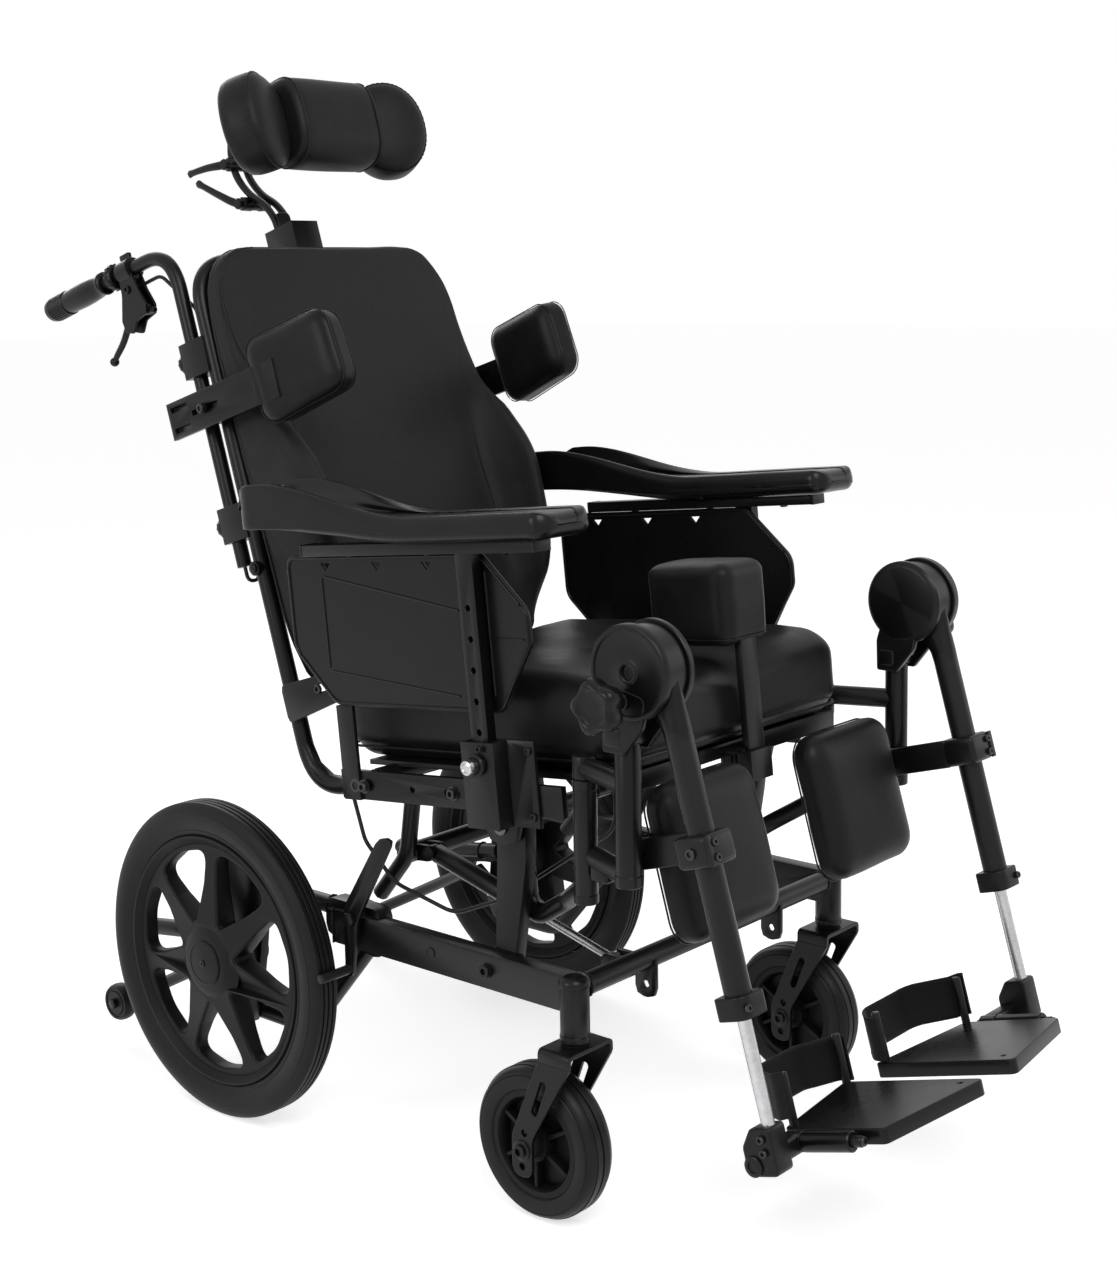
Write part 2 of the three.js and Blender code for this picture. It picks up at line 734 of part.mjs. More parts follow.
// Rear wheel: moulded rim, seven spokes that flare into the hub and the rim, and a low hub cap
function wheelWindow(angle, x) {
  const seat = RIM_SEAT_DIAMETER / 2;
  const outer = seat - RIM_DEPTH;
  const pitch = FULL_TURN / SPOKE_COUNT;
  const half = pitch / 2 - Math.asin(SPOKE_RIM_WIDTH / 2 / outer);
  const points = [[SPOKE_HUB_RADIUS, 0]];
  const arc = [-1, -0.5, 0, 0.5, 1].map((share) => {
    return [outer * Math.cos(half * share), outer * Math.sin(half * share)];
  });
  points.push(...arc);
  const radii = [WINDOW_CORNER, WINDOW_CORNER, 0, 0, 0, WINDOW_CORNER];
  const geometry = plate(roundedOutline(points, radii), WHEEL_HUB_LENGTH, "x", x);
  return geometry.rotateX(angle);
}

function rearWheel(side) {
  const seat = RIM_SEAT_DIAMETER / 2;
  const halfRim = RIM_WIDTH / 2;
  const halfHub = WHEEL_HUB_LENGTH / 2;
  const hub = WHEEL_HUB_DIAMETER / 2;
  const bore = AXLE_DIAMETER / 2 + RUN_GAP;
  const halfWeb = WHEEL_WEB / 2;
  const rimInner = seat - RIM_DEPTH;
  const lip = REAR_TYRE_WIDTH / 2 - halfRim;
  const profile = [
    [bore, -halfHub],
    [hub - HUB_CAP_RISE, -halfHub],
    [hub, -halfWeb],
    [rimInner, -halfWeb],
    [rimInner + RIM_DEPTH / 2, -halfRim],
    [seat, -halfRim],
    [seat, halfRim],
    [rimInner + RIM_DEPTH / 2, halfRim],
    [rimInner, halfWeb],
    [hub + lip, halfWeb],
    [hub, halfWeb + lip],
    [bore, halfWeb + lip],
    [bore, -halfHub],
  ].map(([radius, along]) => [radius, along * side]);
  const cap = HUB_CAP_DIAMETER / 2;
  const capTop = halfWeb + lip + HUB_CAP_RISE;
  const capProfile = [
    [0, halfWeb],
    [cap, halfWeb],
    [cap, halfWeb + lip],
    [cap - HUB_CAP_RISE, capTop],
    [0, capTop],
  ].map(([radius, along]) => [radius, along * side]);
  const windows = [];
  for (let i = 0; i < SPOKE_COUNT; i += 1) {
    const first = Math.PI / 2 + Math.PI / SPOKE_COUNT;
    windows.push(wheelWindow(first + (FULL_TURN * i) / SPOKE_COUNT, 0));
  }
  const disc = carve(turned(profile, WHEEL_FACETS, 0, 0, 0), ...windows);
  return fuse(disc, turned(capProfile, DRUM_FACETS, 0, 0, 0));
}

function rearTyre() {
  const seat = RIM_SEAT_DIAMETER / 2 + FIT_GAP;
  const bead = TYRE_BEAD_WIDTH / 2;
  const halfWidth = REAR_TYRE_WIDTH / 2;
  const shoulder = (REAR_RADIUS - seat) / 2;
  const tread = [];
  const pitch = TREAD_FLAT_WIDTH / (TREAD_GROOVES + 1);
  const halfGroove = TREAD_GROOVE_WIDTH / 2;
  for (let i = 1; i <= TREAD_GROOVES; i += 1) {
    const middle = -TREAD_FLAT_WIDTH / 2 + pitch * i;
    tread.push([REAR_RADIUS, middle - halfGroove]);
    tread.push([REAR_RADIUS - TREAD_GROOVE_DEPTH, middle]);
    tread.push([REAR_RADIUS, middle + halfGroove]);
  }
  const crown = (halfWidth - TREAD_FLAT_WIDTH / 2) / 2;
  const profile = [
    [seat, -bead],
    [seat + shoulder, -halfWidth],
    [REAR_RADIUS - crown, -halfWidth + crown / 2],
    [REAR_RADIUS, -TREAD_FLAT_WIDTH / 2],
    ...tread,
    [REAR_RADIUS, TREAD_FLAT_WIDTH / 2],
    [REAR_RADIUS - crown, halfWidth - crown / 2],
    [seat + shoulder, halfWidth],
    [seat, bead],
    [seat, -bead],
  ];
  return turned(profile, WHEEL_FACETS, 0, 0, 0);
}

function addRearWheels(parent) {
  [-1, 1].forEach((side) => {
    const wheel = new THREE.Group();
    wheel.position.set((side * REAR_TRACK) / 2, 0, REAR_RADIUS);
    parent.add(wheel);
    piece(wheel, `rear_wheel_${sideName(side)}`, rearWheel(side), finishes.plastic);
    piece(wheel, `rear_tyre_${sideName(side)}`, rearTyre(), finishes.rubber);
  });
}

// Caster: a tyre moulded on a ribbed hub, in a fork of two bent and tapered legs
function casterWheel() {
  const half = CASTER_WIDTH / 2;
  const rim = CASTER_RIM_DIAMETER / 2;
  const hub = CASTER_HUB_DIAMETER / 2;
  const halfHub = CASTER_HUB_LENGTH / 2;
  const halfWeb = CASTER_WEB / 2;
  const bore = CASTER_AXLE_DIAMETER / 2 + RUN_GAP;
  const shoulder = half / 2;
  const profile = [
    [bore, -halfHub],
    [hub, -halfHub],
    [hub, -halfWeb],
    [rim - RIM_DEPTH / 2, -halfWeb],
    [rim, -half + CASTER_GROOVE_WIDTH],
    [rim + shoulder, -half],
    [CASTER_RADIUS - shoulder / 2, -half + shoulder / 3],
    [CASTER_RADIUS, -shoulder],
    [CASTER_RADIUS, shoulder],
    [CASTER_RADIUS - shoulder / 2, half - shoulder / 3],
    [rim + shoulder, half],
    [rim, half - CASTER_GROOVE_WIDTH],
    [rim - RIM_DEPTH / 2, halfWeb],
    [hub, halfWeb],
    [hub, halfHub],
    [bore, halfHub],
    [bore, -halfHub],
  ];
  const parts = [turned(profile, CASTER_FACETS, 0, 0, 0)];
  const middle = hub + CASTER_RIB_LENGTH / 2 - CUT_OVERRUN;
  for (let i = 0; i < CASTER_RIBS; i += 1) {
    const rib = block(CASTER_WIDTH - 2 * CASTER_GROOVE_WIDTH, CASTER_RIB_THICKNESS, CASTER_RIB_LENGTH, 0,
      0, middle);
    parts.push(rib.rotateX((FULL_TURN * i) / CASTER_RIBS));
  }
  return fuse(...parts);
}

function casterFork() {
  const crownZ = FORK_CROWN_HEIGHT - CASTER_RADIUS;
  const halfTop = FORK_TOP_WIDTH / 2;
  const halfFoot = FORK_FOOT_WIDTH / 2;
  const kneeZ = crownZ - FORK_TOP_WIDTH;
  const outline = roundedOutline([
    [-CASTER_TRAIL - halfTop, crownZ],
    [-CASTER_TRAIL - halfTop, kneeZ + halfTop],
    [-halfFoot - CASTER_GROOVE_WIDTH, -halfFoot / 2],
    [-halfFoot / 2, -halfFoot - CASTER_GROOVE_WIDTH],
    [halfFoot, -halfFoot],
    [halfFoot, halfFoot],
    [-CASTER_TRAIL + halfTop, kneeZ + halfTop],
    [-CASTER_TRAIL + halfTop, crownZ],
  ], [0, halfTop, halfFoot / 2, halfFoot / 2, halfFoot / 2, halfFoot / 2, halfTop, 0]);
  const legOut = FORK_INNER_WIDTH / 2 + FORK_PLATE / 2;
  const slotLean = Math.atan2(CASTER_TRAIL, crownZ);
  const parts = [-1, 1].map((way) => {
    const slot = block(FORK_PLATE + CUT_OVERRUN, FORK_SLOT_WIDTH, FORK_SLOT_LENGTH, 0, 0, 0);
    slot.rotateX(slotLean).translate(way * legOut, -CASTER_TRAIL * 0.72, crownZ * 0.68);
    return carve(plate(outline, FORK_PLATE, "x", way * legOut), slot);
  });
  const crownWidth = FORK_INNER_WIDTH + 2 * FORK_PLATE;
  parts.push(block(crownWidth, FORK_TOP_WIDTH, FORK_PLATE, 0, -CASTER_TRAIL, crownZ - FORK_PLATE / 2));
  const stemTop = HOUSING_TOP - CASTER_RADIUS - HOUSING_DOME;
  parts.push(rod(vec(0, -CASTER_TRAIL, crownZ - FORK_PLATE), vec(0, -CASTER_TRAIL, stemTop),
    CASTER_STEM_DIAMETER));
  const axleEnd = legOut + FORK_PLATE;
  parts.push(rod(vec(-axleEnd, 0, 0), vec(axleEnd, 0, 0), CASTER_AXLE_DIAMETER, ROD_SIDES));
  return fuse(...parts);
}

function addCasters(parent) {
  [-1, 1].forEach((side) => {
    const caster = new THREE.Group();
    caster.position.set((side * CASTER_TRACK) / 2, STEM_Y + CASTER_TRAIL, CASTER_RADIUS);
    parent.add(caster);
    piece(caster, `caster_fork_${sideName(side)}`, casterFork(), finishes.frame);
    piece(caster, `caster_wheel_${sideName(side)}`, casterWheel(), finishes.rubber);
  });
}

// Base frame: two side frames of rail, caster housing, gusset, braces and axle upright, joined by
// the front cross tube, with the two struts that carry the seat
function uprightOutline() {
  const head = UPRIGHT_HEAD_RADIUS;
  const foot = UPRIGHT_FOOT_RADIUS;
  const points = [];
  const steps = 8;
  for (let i = 0; i <= steps; i += 1) {
    const angle = (Math.PI * i) / steps - Math.PI / steps;
    points.push([UPRIGHT_HEAD_Y + head * Math.cos(angle), UPRIGHT_HEAD_Z + head * Math.sin(angle)]);
  }
  points.push([-AXLE_BOSS_DIAMETER * 0.7, REAR_RADIUS]);
  for (let i = 0; i <= steps / 2; i += 1) {
    const angle = Math.PI + (Math.PI * i) / (steps / 2);
    points.push([UPRIGHT_FOOT_Y + foot * Math.cos(angle), UPRIGHT_FOOT_Z + foot * Math.sin(angle)]);
  }
  points.push([AXLE_BOSS_DIAMETER * 0.9, REAR_RADIUS]);
  return points;
}

function tieDown(side) {
  const half = TIE_DOWN_WIDTH / 2;
  const outline = roundedOutline([
    [STEM_Y - half, FRONT_TUBE_Z],
    [STEM_Y - half, FRONT_TUBE_Z - TIE_DOWN_HEIGHT],
    [STEM_Y + half, FRONT_TUBE_Z - TIE_DOWN_HEIGHT],
    [STEM_Y + half, FRONT_TUBE_Z],
  ], [0, half * 0.8, half * 0.8, 0]);
  const ear = plate(outline, TIE_DOWN_PLATE, "x", side * TIE_DOWN_OUT);
  const holeZ = FRONT_TUBE_Z - TIE_DOWN_HEIGHT + half;
  const reach = TIE_DOWN_PLATE + CUT_OVERRUN;
  const hole = rod(vec(side * TIE_DOWN_OUT - reach, STEM_Y, holeZ), vec(side * TIE_DOWN_OUT + reach,
    STEM_Y, holeZ), TIE_DOWN_HOLE, ROD_SIDES);
  return carve(ear, hole);
}

function stemBore(side) {
  const x = (side * CASTER_TRACK) / 2;
  return rod(vec(x, STEM_Y, HOUSING_BOTTOM - CUT_OVERRUN), vec(x, STEM_Y, HOUSING_TOP),
    CASTER_STEM_DIAMETER + 2 * RUN_GAP);
}

function sideFrame(side) {
  const x = side * BASE_RAIL_OUT;
  const housingX = (side * CASTER_TRACK) / 2;
  const railLength = BASE_RAIL_REAR_Y - STEM_Y;
  const railY = STEM_Y + railLength / 2;
  const rail = block(BASE_RAIL_THICKNESS, railLength, BASE_RAIL_HEIGHT, x, railY, BASE_RAIL_Z);
  const half = HOUSING_DIAMETER / 2;
  const domeProfile = [
    [0, HOUSING_BOTTOM],
    [half, HOUSING_BOTTOM],
    [half, HOUSING_TOP],
    [half * 0.7, HOUSING_TOP + HOUSING_DOME * 0.7],
    [0, HOUSING_TOP + HOUSING_DOME],
  ].map(([radius, z]) => new THREE.Vector2(radius, z));
  const housing = new THREE.LatheGeometry(domeProfile, HOUSING_FACETS).rotateX(Math.PI / 2)
    .translate(housingX, STEM_Y, 0);
  const gussetY = BASE_RAIL_REAR_Y - GUSSET_LENGTH / 2 + BRACE_DIAMETER;
  const gussetOutline = roundedOutline([
    [gussetY - GUSSET_LENGTH / 2, BASE_RAIL_Z - GUSSET_HEIGHT / 2],
    [gussetY + GUSSET_LENGTH / 2, BASE_RAIL_Z - GUSSET_HEIGHT / 4],
    [gussetY + GUSSET_LENGTH / 2, BASE_RAIL_Z + GUSSET_HEIGHT / 2],
    [gussetY - GUSSET_LENGTH / 2, BASE_RAIL_Z + GUSSET_HEIGHT / 2],
  ], GUSSET_PLATE * 2);
  const gusset = plate(gussetOutline, BRACE_DIAMETER, "x", side * BRACE_OUT);
  const braceX = side * BRACE_OUT;
  const upper = rod(vec(braceX, gussetY, UPPER_BRACE_Z), vec(braceX, UPRIGHT_HEAD_Y, UPPER_BRACE_Z),
    BRACE_DIAMETER);
  const lower = pipe([
    vec(braceX, gussetY - GUSSET_LENGTH / 4, BASE_RAIL_Z - GUSSET_HEIGHT / 4),
    vec(braceX, gussetY + GUSSET_LENGTH, LOWER_BRACE_Z),
    vec(braceX, UPRIGHT_FOOT_Y, LOWER_BRACE_Z),
  ], BRACE_DIAMETER, LOWER_BRACE_BEND);
  const upright = plate(uprightOutline(), UPRIGHT_PLATE, "x", side * UPRIGHT_OUT);
  const wheelX = (side * REAR_TRACK) / 2;
  const bossEnd = wheelX - side * (WHEEL_HUB_LENGTH / 2 + RUN_GAP);
  const boss = rod(vec(side * BRACE_OUT, 0, REAR_RADIUS), vec(bossEnd, 0, REAR_RADIUS), AXLE_BOSS_DIAMETER);
  const axle = rod(vec(side * UPRIGHT_OUT, 0, REAR_RADIUS), vec(wheelX, 0, REAR_RADIUS), AXLE_DIAMETER,
    ROD_SIDES);
  const tippingEnd = vec(braceX, TIPPING_TUBE_END_Y, TIPPING_TUBE_Z - TIPPING_TUBE_DROP);
  const tipping = rod(vec(braceX, UPRIGHT_FOOT_Y, TIPPING_TUBE_Z), tippingEnd, BRACE_DIAMETER);
  const socket = rod(vec(braceX, UPRIGHT_FOOT_Y, UPRIGHT_FOOT_Z + ANTI_TIP_SOCKET_DIAMETER / 2),
    vec(braceX, ANTI_TIP_PIVOT_Y, ANTI_TIP_PIVOT_Z), ANTI_TIP_TUBE_DIAMETER);
  const strut = tiltStrut(side);
  return [carve(fuse(rail, housing), stemBore(side)), gusset, upper, lower, upright, boss, axle, tipping,
    socket, antiTipPin(side), brakePin(side), strut, tieDown(side)];
}

function tiltStrut(side) {
  const foot = STRUT_FOOT_WIDTH / 2;
  const head = STRUT_HEAD_WIDTH / 2;
  const footZ = BASE_RAIL_Z;
  const footY = TILT_PIVOT_Y + STRUT_FOOT_WIDTH / 2;
  const outline = roundedOutline([
    [footY - foot, footZ],
    [footY + foot, footZ],
    [TILT_PIVOT_Y + head, TILT_PIVOT_Z - STRUT_HEAD_WIDTH],
    [TILT_PIVOT_Y + head, TILT_PIVOT_Z + head],
    [TILT_PIVOT_Y - head, TILT_PIVOT_Z + head],
    [TILT_PIVOT_Y - head, TILT_PIVOT_Z - STRUT_HEAD_WIDTH],
  ], [0, 0, head / 2, head, head, head / 2]);
  const pinReach = STRUT_THICKNESS / 2 + CUT_OVERRUN;
  const hole = rod(vec(side * (STRUT_OUT - pinReach), TILT_PIVOT_Y, TILT_PIVOT_Z),
    vec(side * (STRUT_OUT + pinReach), TILT_PIVOT_Y, TILT_PIVOT_Z), TILT_PIN_DIAMETER + 2 * RUN_GAP);
  const bridge = block(BASE_RAIL_OUT - STRUT_OUT, STRUT_HEAD_WIDTH, BASE_RAIL_HEIGHT * 0.8,
    (side * (BASE_RAIL_OUT + STRUT_OUT)) / 2, footY, BASE_RAIL_Z);
  return carve(fuse(plate(outline, STRUT_THICKNESS, "x", side * STRUT_OUT), bridge), hole);
}

function baseFrame() {
  const reach = Math.max(CASTER_TRACK / 2 - CASTER_STEM_DIAMETER / 2 - 2 * RUN_GAP,
    BASE_RAIL_OUT - BASE_RAIL_THICKNESS / 2 + RUN_GAP);
  const cross = rod(vec(-reach, STEM_Y, FRONT_TUBE_Z), vec(reach, STEM_Y, FRONT_TUBE_Z), FRONT_TUBE_DIAMETER);
  return fuse(carve(cross, stemBore(-1), stemBore(1)), ...sideFrame(-1), ...sideFrame(1),
    ...lugPair(STEM_Y, FRONT_TUBE_Z, GAS_LUG_REACH));
}

function antiTipPin(side) {
  const end = side * (ANTI_TIP_OUT - ANTI_TIP_TUBE_DIAMETER / 2 - ANTI_TIP_EAR);
  return rod(vec(side * BRACE_OUT, ANTI_TIP_PIVOT_Y, ANTI_TIP_PIVOT_Z), vec(end, ANTI_TIP_PIVOT_Y,
    ANTI_TIP_PIVOT_Z), ANTI_TIP_PIN_DIAMETER, ROD_SIDES);
}

function brakePin(side) {
  const end = side * (BRAKE_OUT + BRAKE_PLATE / 2 + FIT_GAP);
  const head = end + side * BRAKE_PLATE;
  const start = side * BRACE_OUT;
  const pin = rod(vec(start, BRAKE_PIVOT_Y, BRAKE_PIVOT_Z), vec(end, BRAKE_PIVOT_Y, BRAKE_PIVOT_Z),
    BRAKE_SHOE_DIAMETER, ROD_SIDES);
  return fuse(pin, rod(vec(end, BRAKE_PIVOT_Y, BRAKE_PIVOT_Z), vec(head, BRAKE_PIVOT_Y, BRAKE_PIVOT_Z),
    BRAKE_SHOE_DIAMETER * 1.5, ROD_SIDES));
}

// Two ears and their pin for one end of the gas spring, reaching from a cross tube
function lugPair(tubeY, z, reach) {
  const x = -GAS_LUG_OUT;
  const inner = GAS_EYE_WIDTH / 2 + RUN_GAP;
  const end = inner + GAS_LUG_THICKNESS;
  const shapes = [rod(vec(x - end, tubeY + reach, z), vec(x + end, tubeY + reach, z), GAS_PIN_DIAMETER,
    ROD_SIDES)];
  [-1, 1].forEach((way) => {
    const at = x + way * (inner + GAS_LUG_THICKNESS / 2);
    const half = GAS_LUG_THICKNESS / 2;
    shapes.push(block(GAS_LUG_THICKNESS, Math.abs(reach), GAS_LUG_RADIUS * 2, at, tubeY + reach / 2, z));
    shapes.push(rod(vec(at - half, tubeY + reach, z), vec(at + half, tubeY + reach, z), GAS_LUG_RADIUS * 2));
  });
  return shapes;
}

function crossRod(out, reachIn, reachOut, side, y, z, diameter, sides = ROD_SIDES) {
  return rod(vec(side * (out - reachIn), y, z), vec(side * (out + reachOut), y, z), diameter, sides);
}

function antiTipArm(side) {
  const half = ANTI_TIP_TUBE_DIAMETER / 2;
  const x = side * ANTI_TIP_OUT;
  const tube = rod(vec(x, ANTI_TIP_PIVOT_Y, ANTI_TIP_PIVOT_Z), vec(x, ANTI_TIP_WHEEL_Y, ANTI_TIP_WHEEL_Z),
    ANTI_TIP_TUBE_DIAMETER);
  const eye = crossRod(ANTI_TIP_OUT, half - FIT_GAP, half - FIT_GAP, side, ANTI_TIP_PIVOT_Y, ANTI_TIP_PIVOT_Z,
    ANTI_TIP_TUBE_DIAMETER + 2 * ANTI_TIP_EAR, TUBE_SIDES);
  const boss = crossRod(ANTI_TIP_OUT, half, half, side, ANTI_TIP_WHEEL_Y, ANTI_TIP_WHEEL_Z,
    ANTI_TIP_TUBE_DIAMETER, TUBE_SIDES);
  const axleReach = half + ANTI_TIP_WHEEL_WIDTH + 2 * RUN_GAP;
  const axle = crossRod(ANTI_TIP_OUT, 0, axleReach, side, ANTI_TIP_WHEEL_Y, ANTI_TIP_WHEEL_Z,
    ANTI_TIP_PIN_DIAMETER);
  const nut = crossRod(ANTI_TIP_OUT, -axleReach, axleReach + ANTI_TIP_EAR, side, ANTI_TIP_WHEEL_Y,
    ANTI_TIP_WHEEL_Z, ANTI_TIP_PIN_DIAMETER * 1.7);
  const bore = crossRod(ANTI_TIP_OUT, half + CUT_OVERRUN, half + CUT_OVERRUN, side, ANTI_TIP_PIVOT_Y,
    ANTI_TIP_PIVOT_Z, ANTI_TIP_PIN_DIAMETER + 2 * RUN_GAP);
  return carve(fuse(tube, eye, boss, axle, nut), bore);
}

function antiTipWheel(side) {
  const radius = ANTI_TIP_WHEEL_DIAMETER / 2;
  const half = ANTI_TIP_WHEEL_WIDTH / 2;
  const bore = ANTI_TIP_PIN_DIAMETER / 2 + RUN_GAP;
  const profile = [
    [bore, -half],
    [radius - half / 2, -half],
    [radius, -half / 2],
    [radius, half / 2],
    [radius - half / 2, half],
    [bore, half],
    [bore, -half],
  ];
  const x = side * (ANTI_TIP_OUT + ANTI_TIP_TUBE_DIAMETER / 2 + RUN_GAP + half);
  return turned(profile, CASTER_FACETS, x, ANTI_TIP_WHEEL_Y, ANTI_TIP_WHEEL_Z);
}

// Parking brake: one lever with its handle above the pivot and its shoe in front of the tyre
function parkingBrake(side) {
  const half = BRAKE_HANDLE_WIDTH / 2;
  const shoeY = -Math.sqrt(REAR_RADIUS ** 2 - (BRAKE_SHOE_Z - REAR_RADIUS) ** 2) - BRAKE_SHOE_DIAMETER / 2
    - BRAKE_TYRE_GAP;
  const topY = BRAKE_PIVOT_Y + BRAKE_HANDLE_REACH_Y;
  const topZ = BRAKE_PIVOT_Z + BRAKE_HANDLE_REACH_Z;
  const outline = roundedOutline([
    [shoeY - half / 2, BRAKE_SHOE_Z - half * 0.8],
    [shoeY + half / 2, BRAKE_SHOE_Z - half * 0.8],
    [BRAKE_PIVOT_Y + half, BRAKE_PIVOT_Z - half],
    [BRAKE_PIVOT_Y + half, BRAKE_PIVOT_Z + half],
    [topY + half, topZ],
    [topY - half, topZ],
    [BRAKE_PIVOT_Y - half, BRAKE_PIVOT_Z],
  ], [half / 2, half / 2, half / 2, half / 2, half, half, half / 2]);
  const lever = plate(outline, BRAKE_PLATE, "x", side * BRAKE_OUT);
  const shoe = crossRod(BRAKE_OUT, 0, BRAKE_SHOE_LENGTH, side, shoeY, BRAKE_SHOE_Z, BRAKE_SHOE_DIAMETER,
    TUBE_SIDES);
  const hole = crossRod(BRAKE_OUT, BRAKE_PLATE, BRAKE_PLATE, side, BRAKE_PIVOT_Y, BRAKE_PIVOT_Z,
    BRAKE_SHOE_DIAMETER + 2 * RUN_GAP, TUBE_SIDES);
  return carve(fuse(lever, shoe), hole);
}

// Gas spring: the cylinder hangs from the seat's rear lower tube, its rod from the base's front tube
function gasEye(shape) {
  const half = GAS_EYE_WIDTH / 2;
  const eye = rod(vec(-half, 0, 0), vec(half, 0, 0), GAS_EYE_RADIUS * 2);
  const reach = half + CUT_OVERRUN;
  return carve(fuse(shape, eye), rod(vec(-reach, 0, 0), vec(reach, 0, 0), GAS_PIN_DIAMETER + 2 * RUN_GAP,
    ROD_SIDES));
}

function gasCylinder() {
  const body = rod(vec(0, GAS_EYE_RADIUS / 2, 0), vec(0, GAS_CYLINDER_LENGTH, 0), GAS_CYLINDER_DIAMETER);
  const slim = block(GAS_CYLINDER_DIAMETER, GAS_EYE_RADIUS, GAS_CYLINDER_DIAMETER, 0, GAS_EYE_RADIUS, 0);
  const cheeks = [-1, 1].map((way) => slim.clone().translate(way * (GAS_CYLINDER_DIAMETER + GAS_EYE_WIDTH)
    / 2, 0, 0));
  const bore = rod(vec(0, GAS_CYLINDER_WALL_END, 0), vec(0, GAS_CYLINDER_LENGTH + CUT_OVERRUN, 0),
    GAS_CYLINDER_BORE);
  return carve(gasEye(carve(body, ...cheeks)), bore);
}

function gasRod() {
  return gasEye(rod(vec(0, GAS_EYE_RADIUS / 2, 0), vec(0, GAS_ROD_LENGTH, 0), GAS_ROD_DIAMETER));
}

function seatToChair(y, z) {
  const tilted = vec(0, y, z).applyAxisAngle(vec(1, 0, 0), -SEAT_TILT_DEG * TO_RAD);
  return vec(0, TILT_PIVOT_Y + tilted.y, TILT_PIVOT_Z + tilted.z);
}

function addGasSpring(parent) {
  const upper = seatToChair(REAR_TUBE_Y - GAS_LUG_REACH, HANGER_MID_Z);
  const lower = vec(0, STEM_Y + GAS_LUG_REACH, FRONT_TUBE_Z);
  const cylinder = new THREE.Group();
  cylinder.position.set(-GAS_LUG_OUT, upper.y, upper.z);
  cylinder.rotation.x = Math.atan2(lower.z - upper.z, lower.y - upper.y);
  const stem = new THREE.Group();
  stem.position.set(-GAS_LUG_OUT, lower.y, lower.z);
  stem.rotation.x = Math.atan2(upper.z - lower.z, upper.y - lower.y);
  parent.add(cylinder, stem);
  piece(cylinder, "gas_spring_cylinder", gasCylinder(), finishes.frame);
  piece(stem, "gas_spring_rod", gasRod(), finishes.steel);
}

// Seat frame: side rails with pivot lugs, cross tubes, seat pan, hangers, legrest posts and receivers
function inHangerFrame(geometry) {
  geometry.rotateX(SEAT_TILT_DEG * TO_RAD);
  const origin = vec(0, -POST_REACH, 0).applyAxisAngle(vec(1, 0, 0), SEAT_TILT_DEG * TO_RAD);
  return geometry.translate(origin.x, origin.y, origin.z);
}

function seatRail(side) {
  const x = side * SEAT_RAIL_OUT;
  const length = SEAT_RAIL_REAR_Y - SEAT_RAIL_FRONT_Y;
  const middle = (SEAT_RAIL_REAR_Y + SEAT_RAIL_FRONT_Y) / 2;
  const rail = block(SEAT_RAIL_THICKNESS, length, SEAT_RAIL_HEIGHT, x, middle, SEAT_RAIL_Z);
  const half = CHANNEL_WIDTH / 2;
  const lug = plate(roundedOutline([
    [-half, SEAT_RAIL_Z],
    [-half, -CHANNEL_DROP * 0.7],
    [half, -CHANNEL_DROP * 0.7],
    [half, SEAT_RAIL_Z],
  ], [0, half * 0.8, half * 0.8, 0]), SEAT_RAIL_THICKNESS, "x", x);
  const pin = crossRod(STRUT_OUT, STRUT_THICKNESS / 2 + RUN_GAP, SEAT_RAIL_OUT - STRUT_OUT, side, 0, 0,
    TILT_PIN_DIAMETER);
  const holes = [];
  for (let i = -1; i <= 1; i += 1) {
    const y = middle + i * SEAT_RAIL_HOLE_PITCH;
    holes.push(crossRod(SEAT_RAIL_OUT, SEAT_RAIL_THICKNESS, SEAT_RAIL_THICKNESS, side, y, SEAT_RAIL_Z,
      SEAT_RAIL_HOLE));
  }
  holes.push(crossRod(SEAT_RAIL_OUT, SEAT_RAIL_THICKNESS, SEAT_RAIL_THICKNESS, side, RECLINE_PIVOT_Y,
    RECLINE_PIVOT_Z, RECLINE_PIN_DIAMETER + 2 * RUN_GAP, TUBE_SIDES));
  return fuse(carve(fuse(rail, lug), ...holes), pin);
}

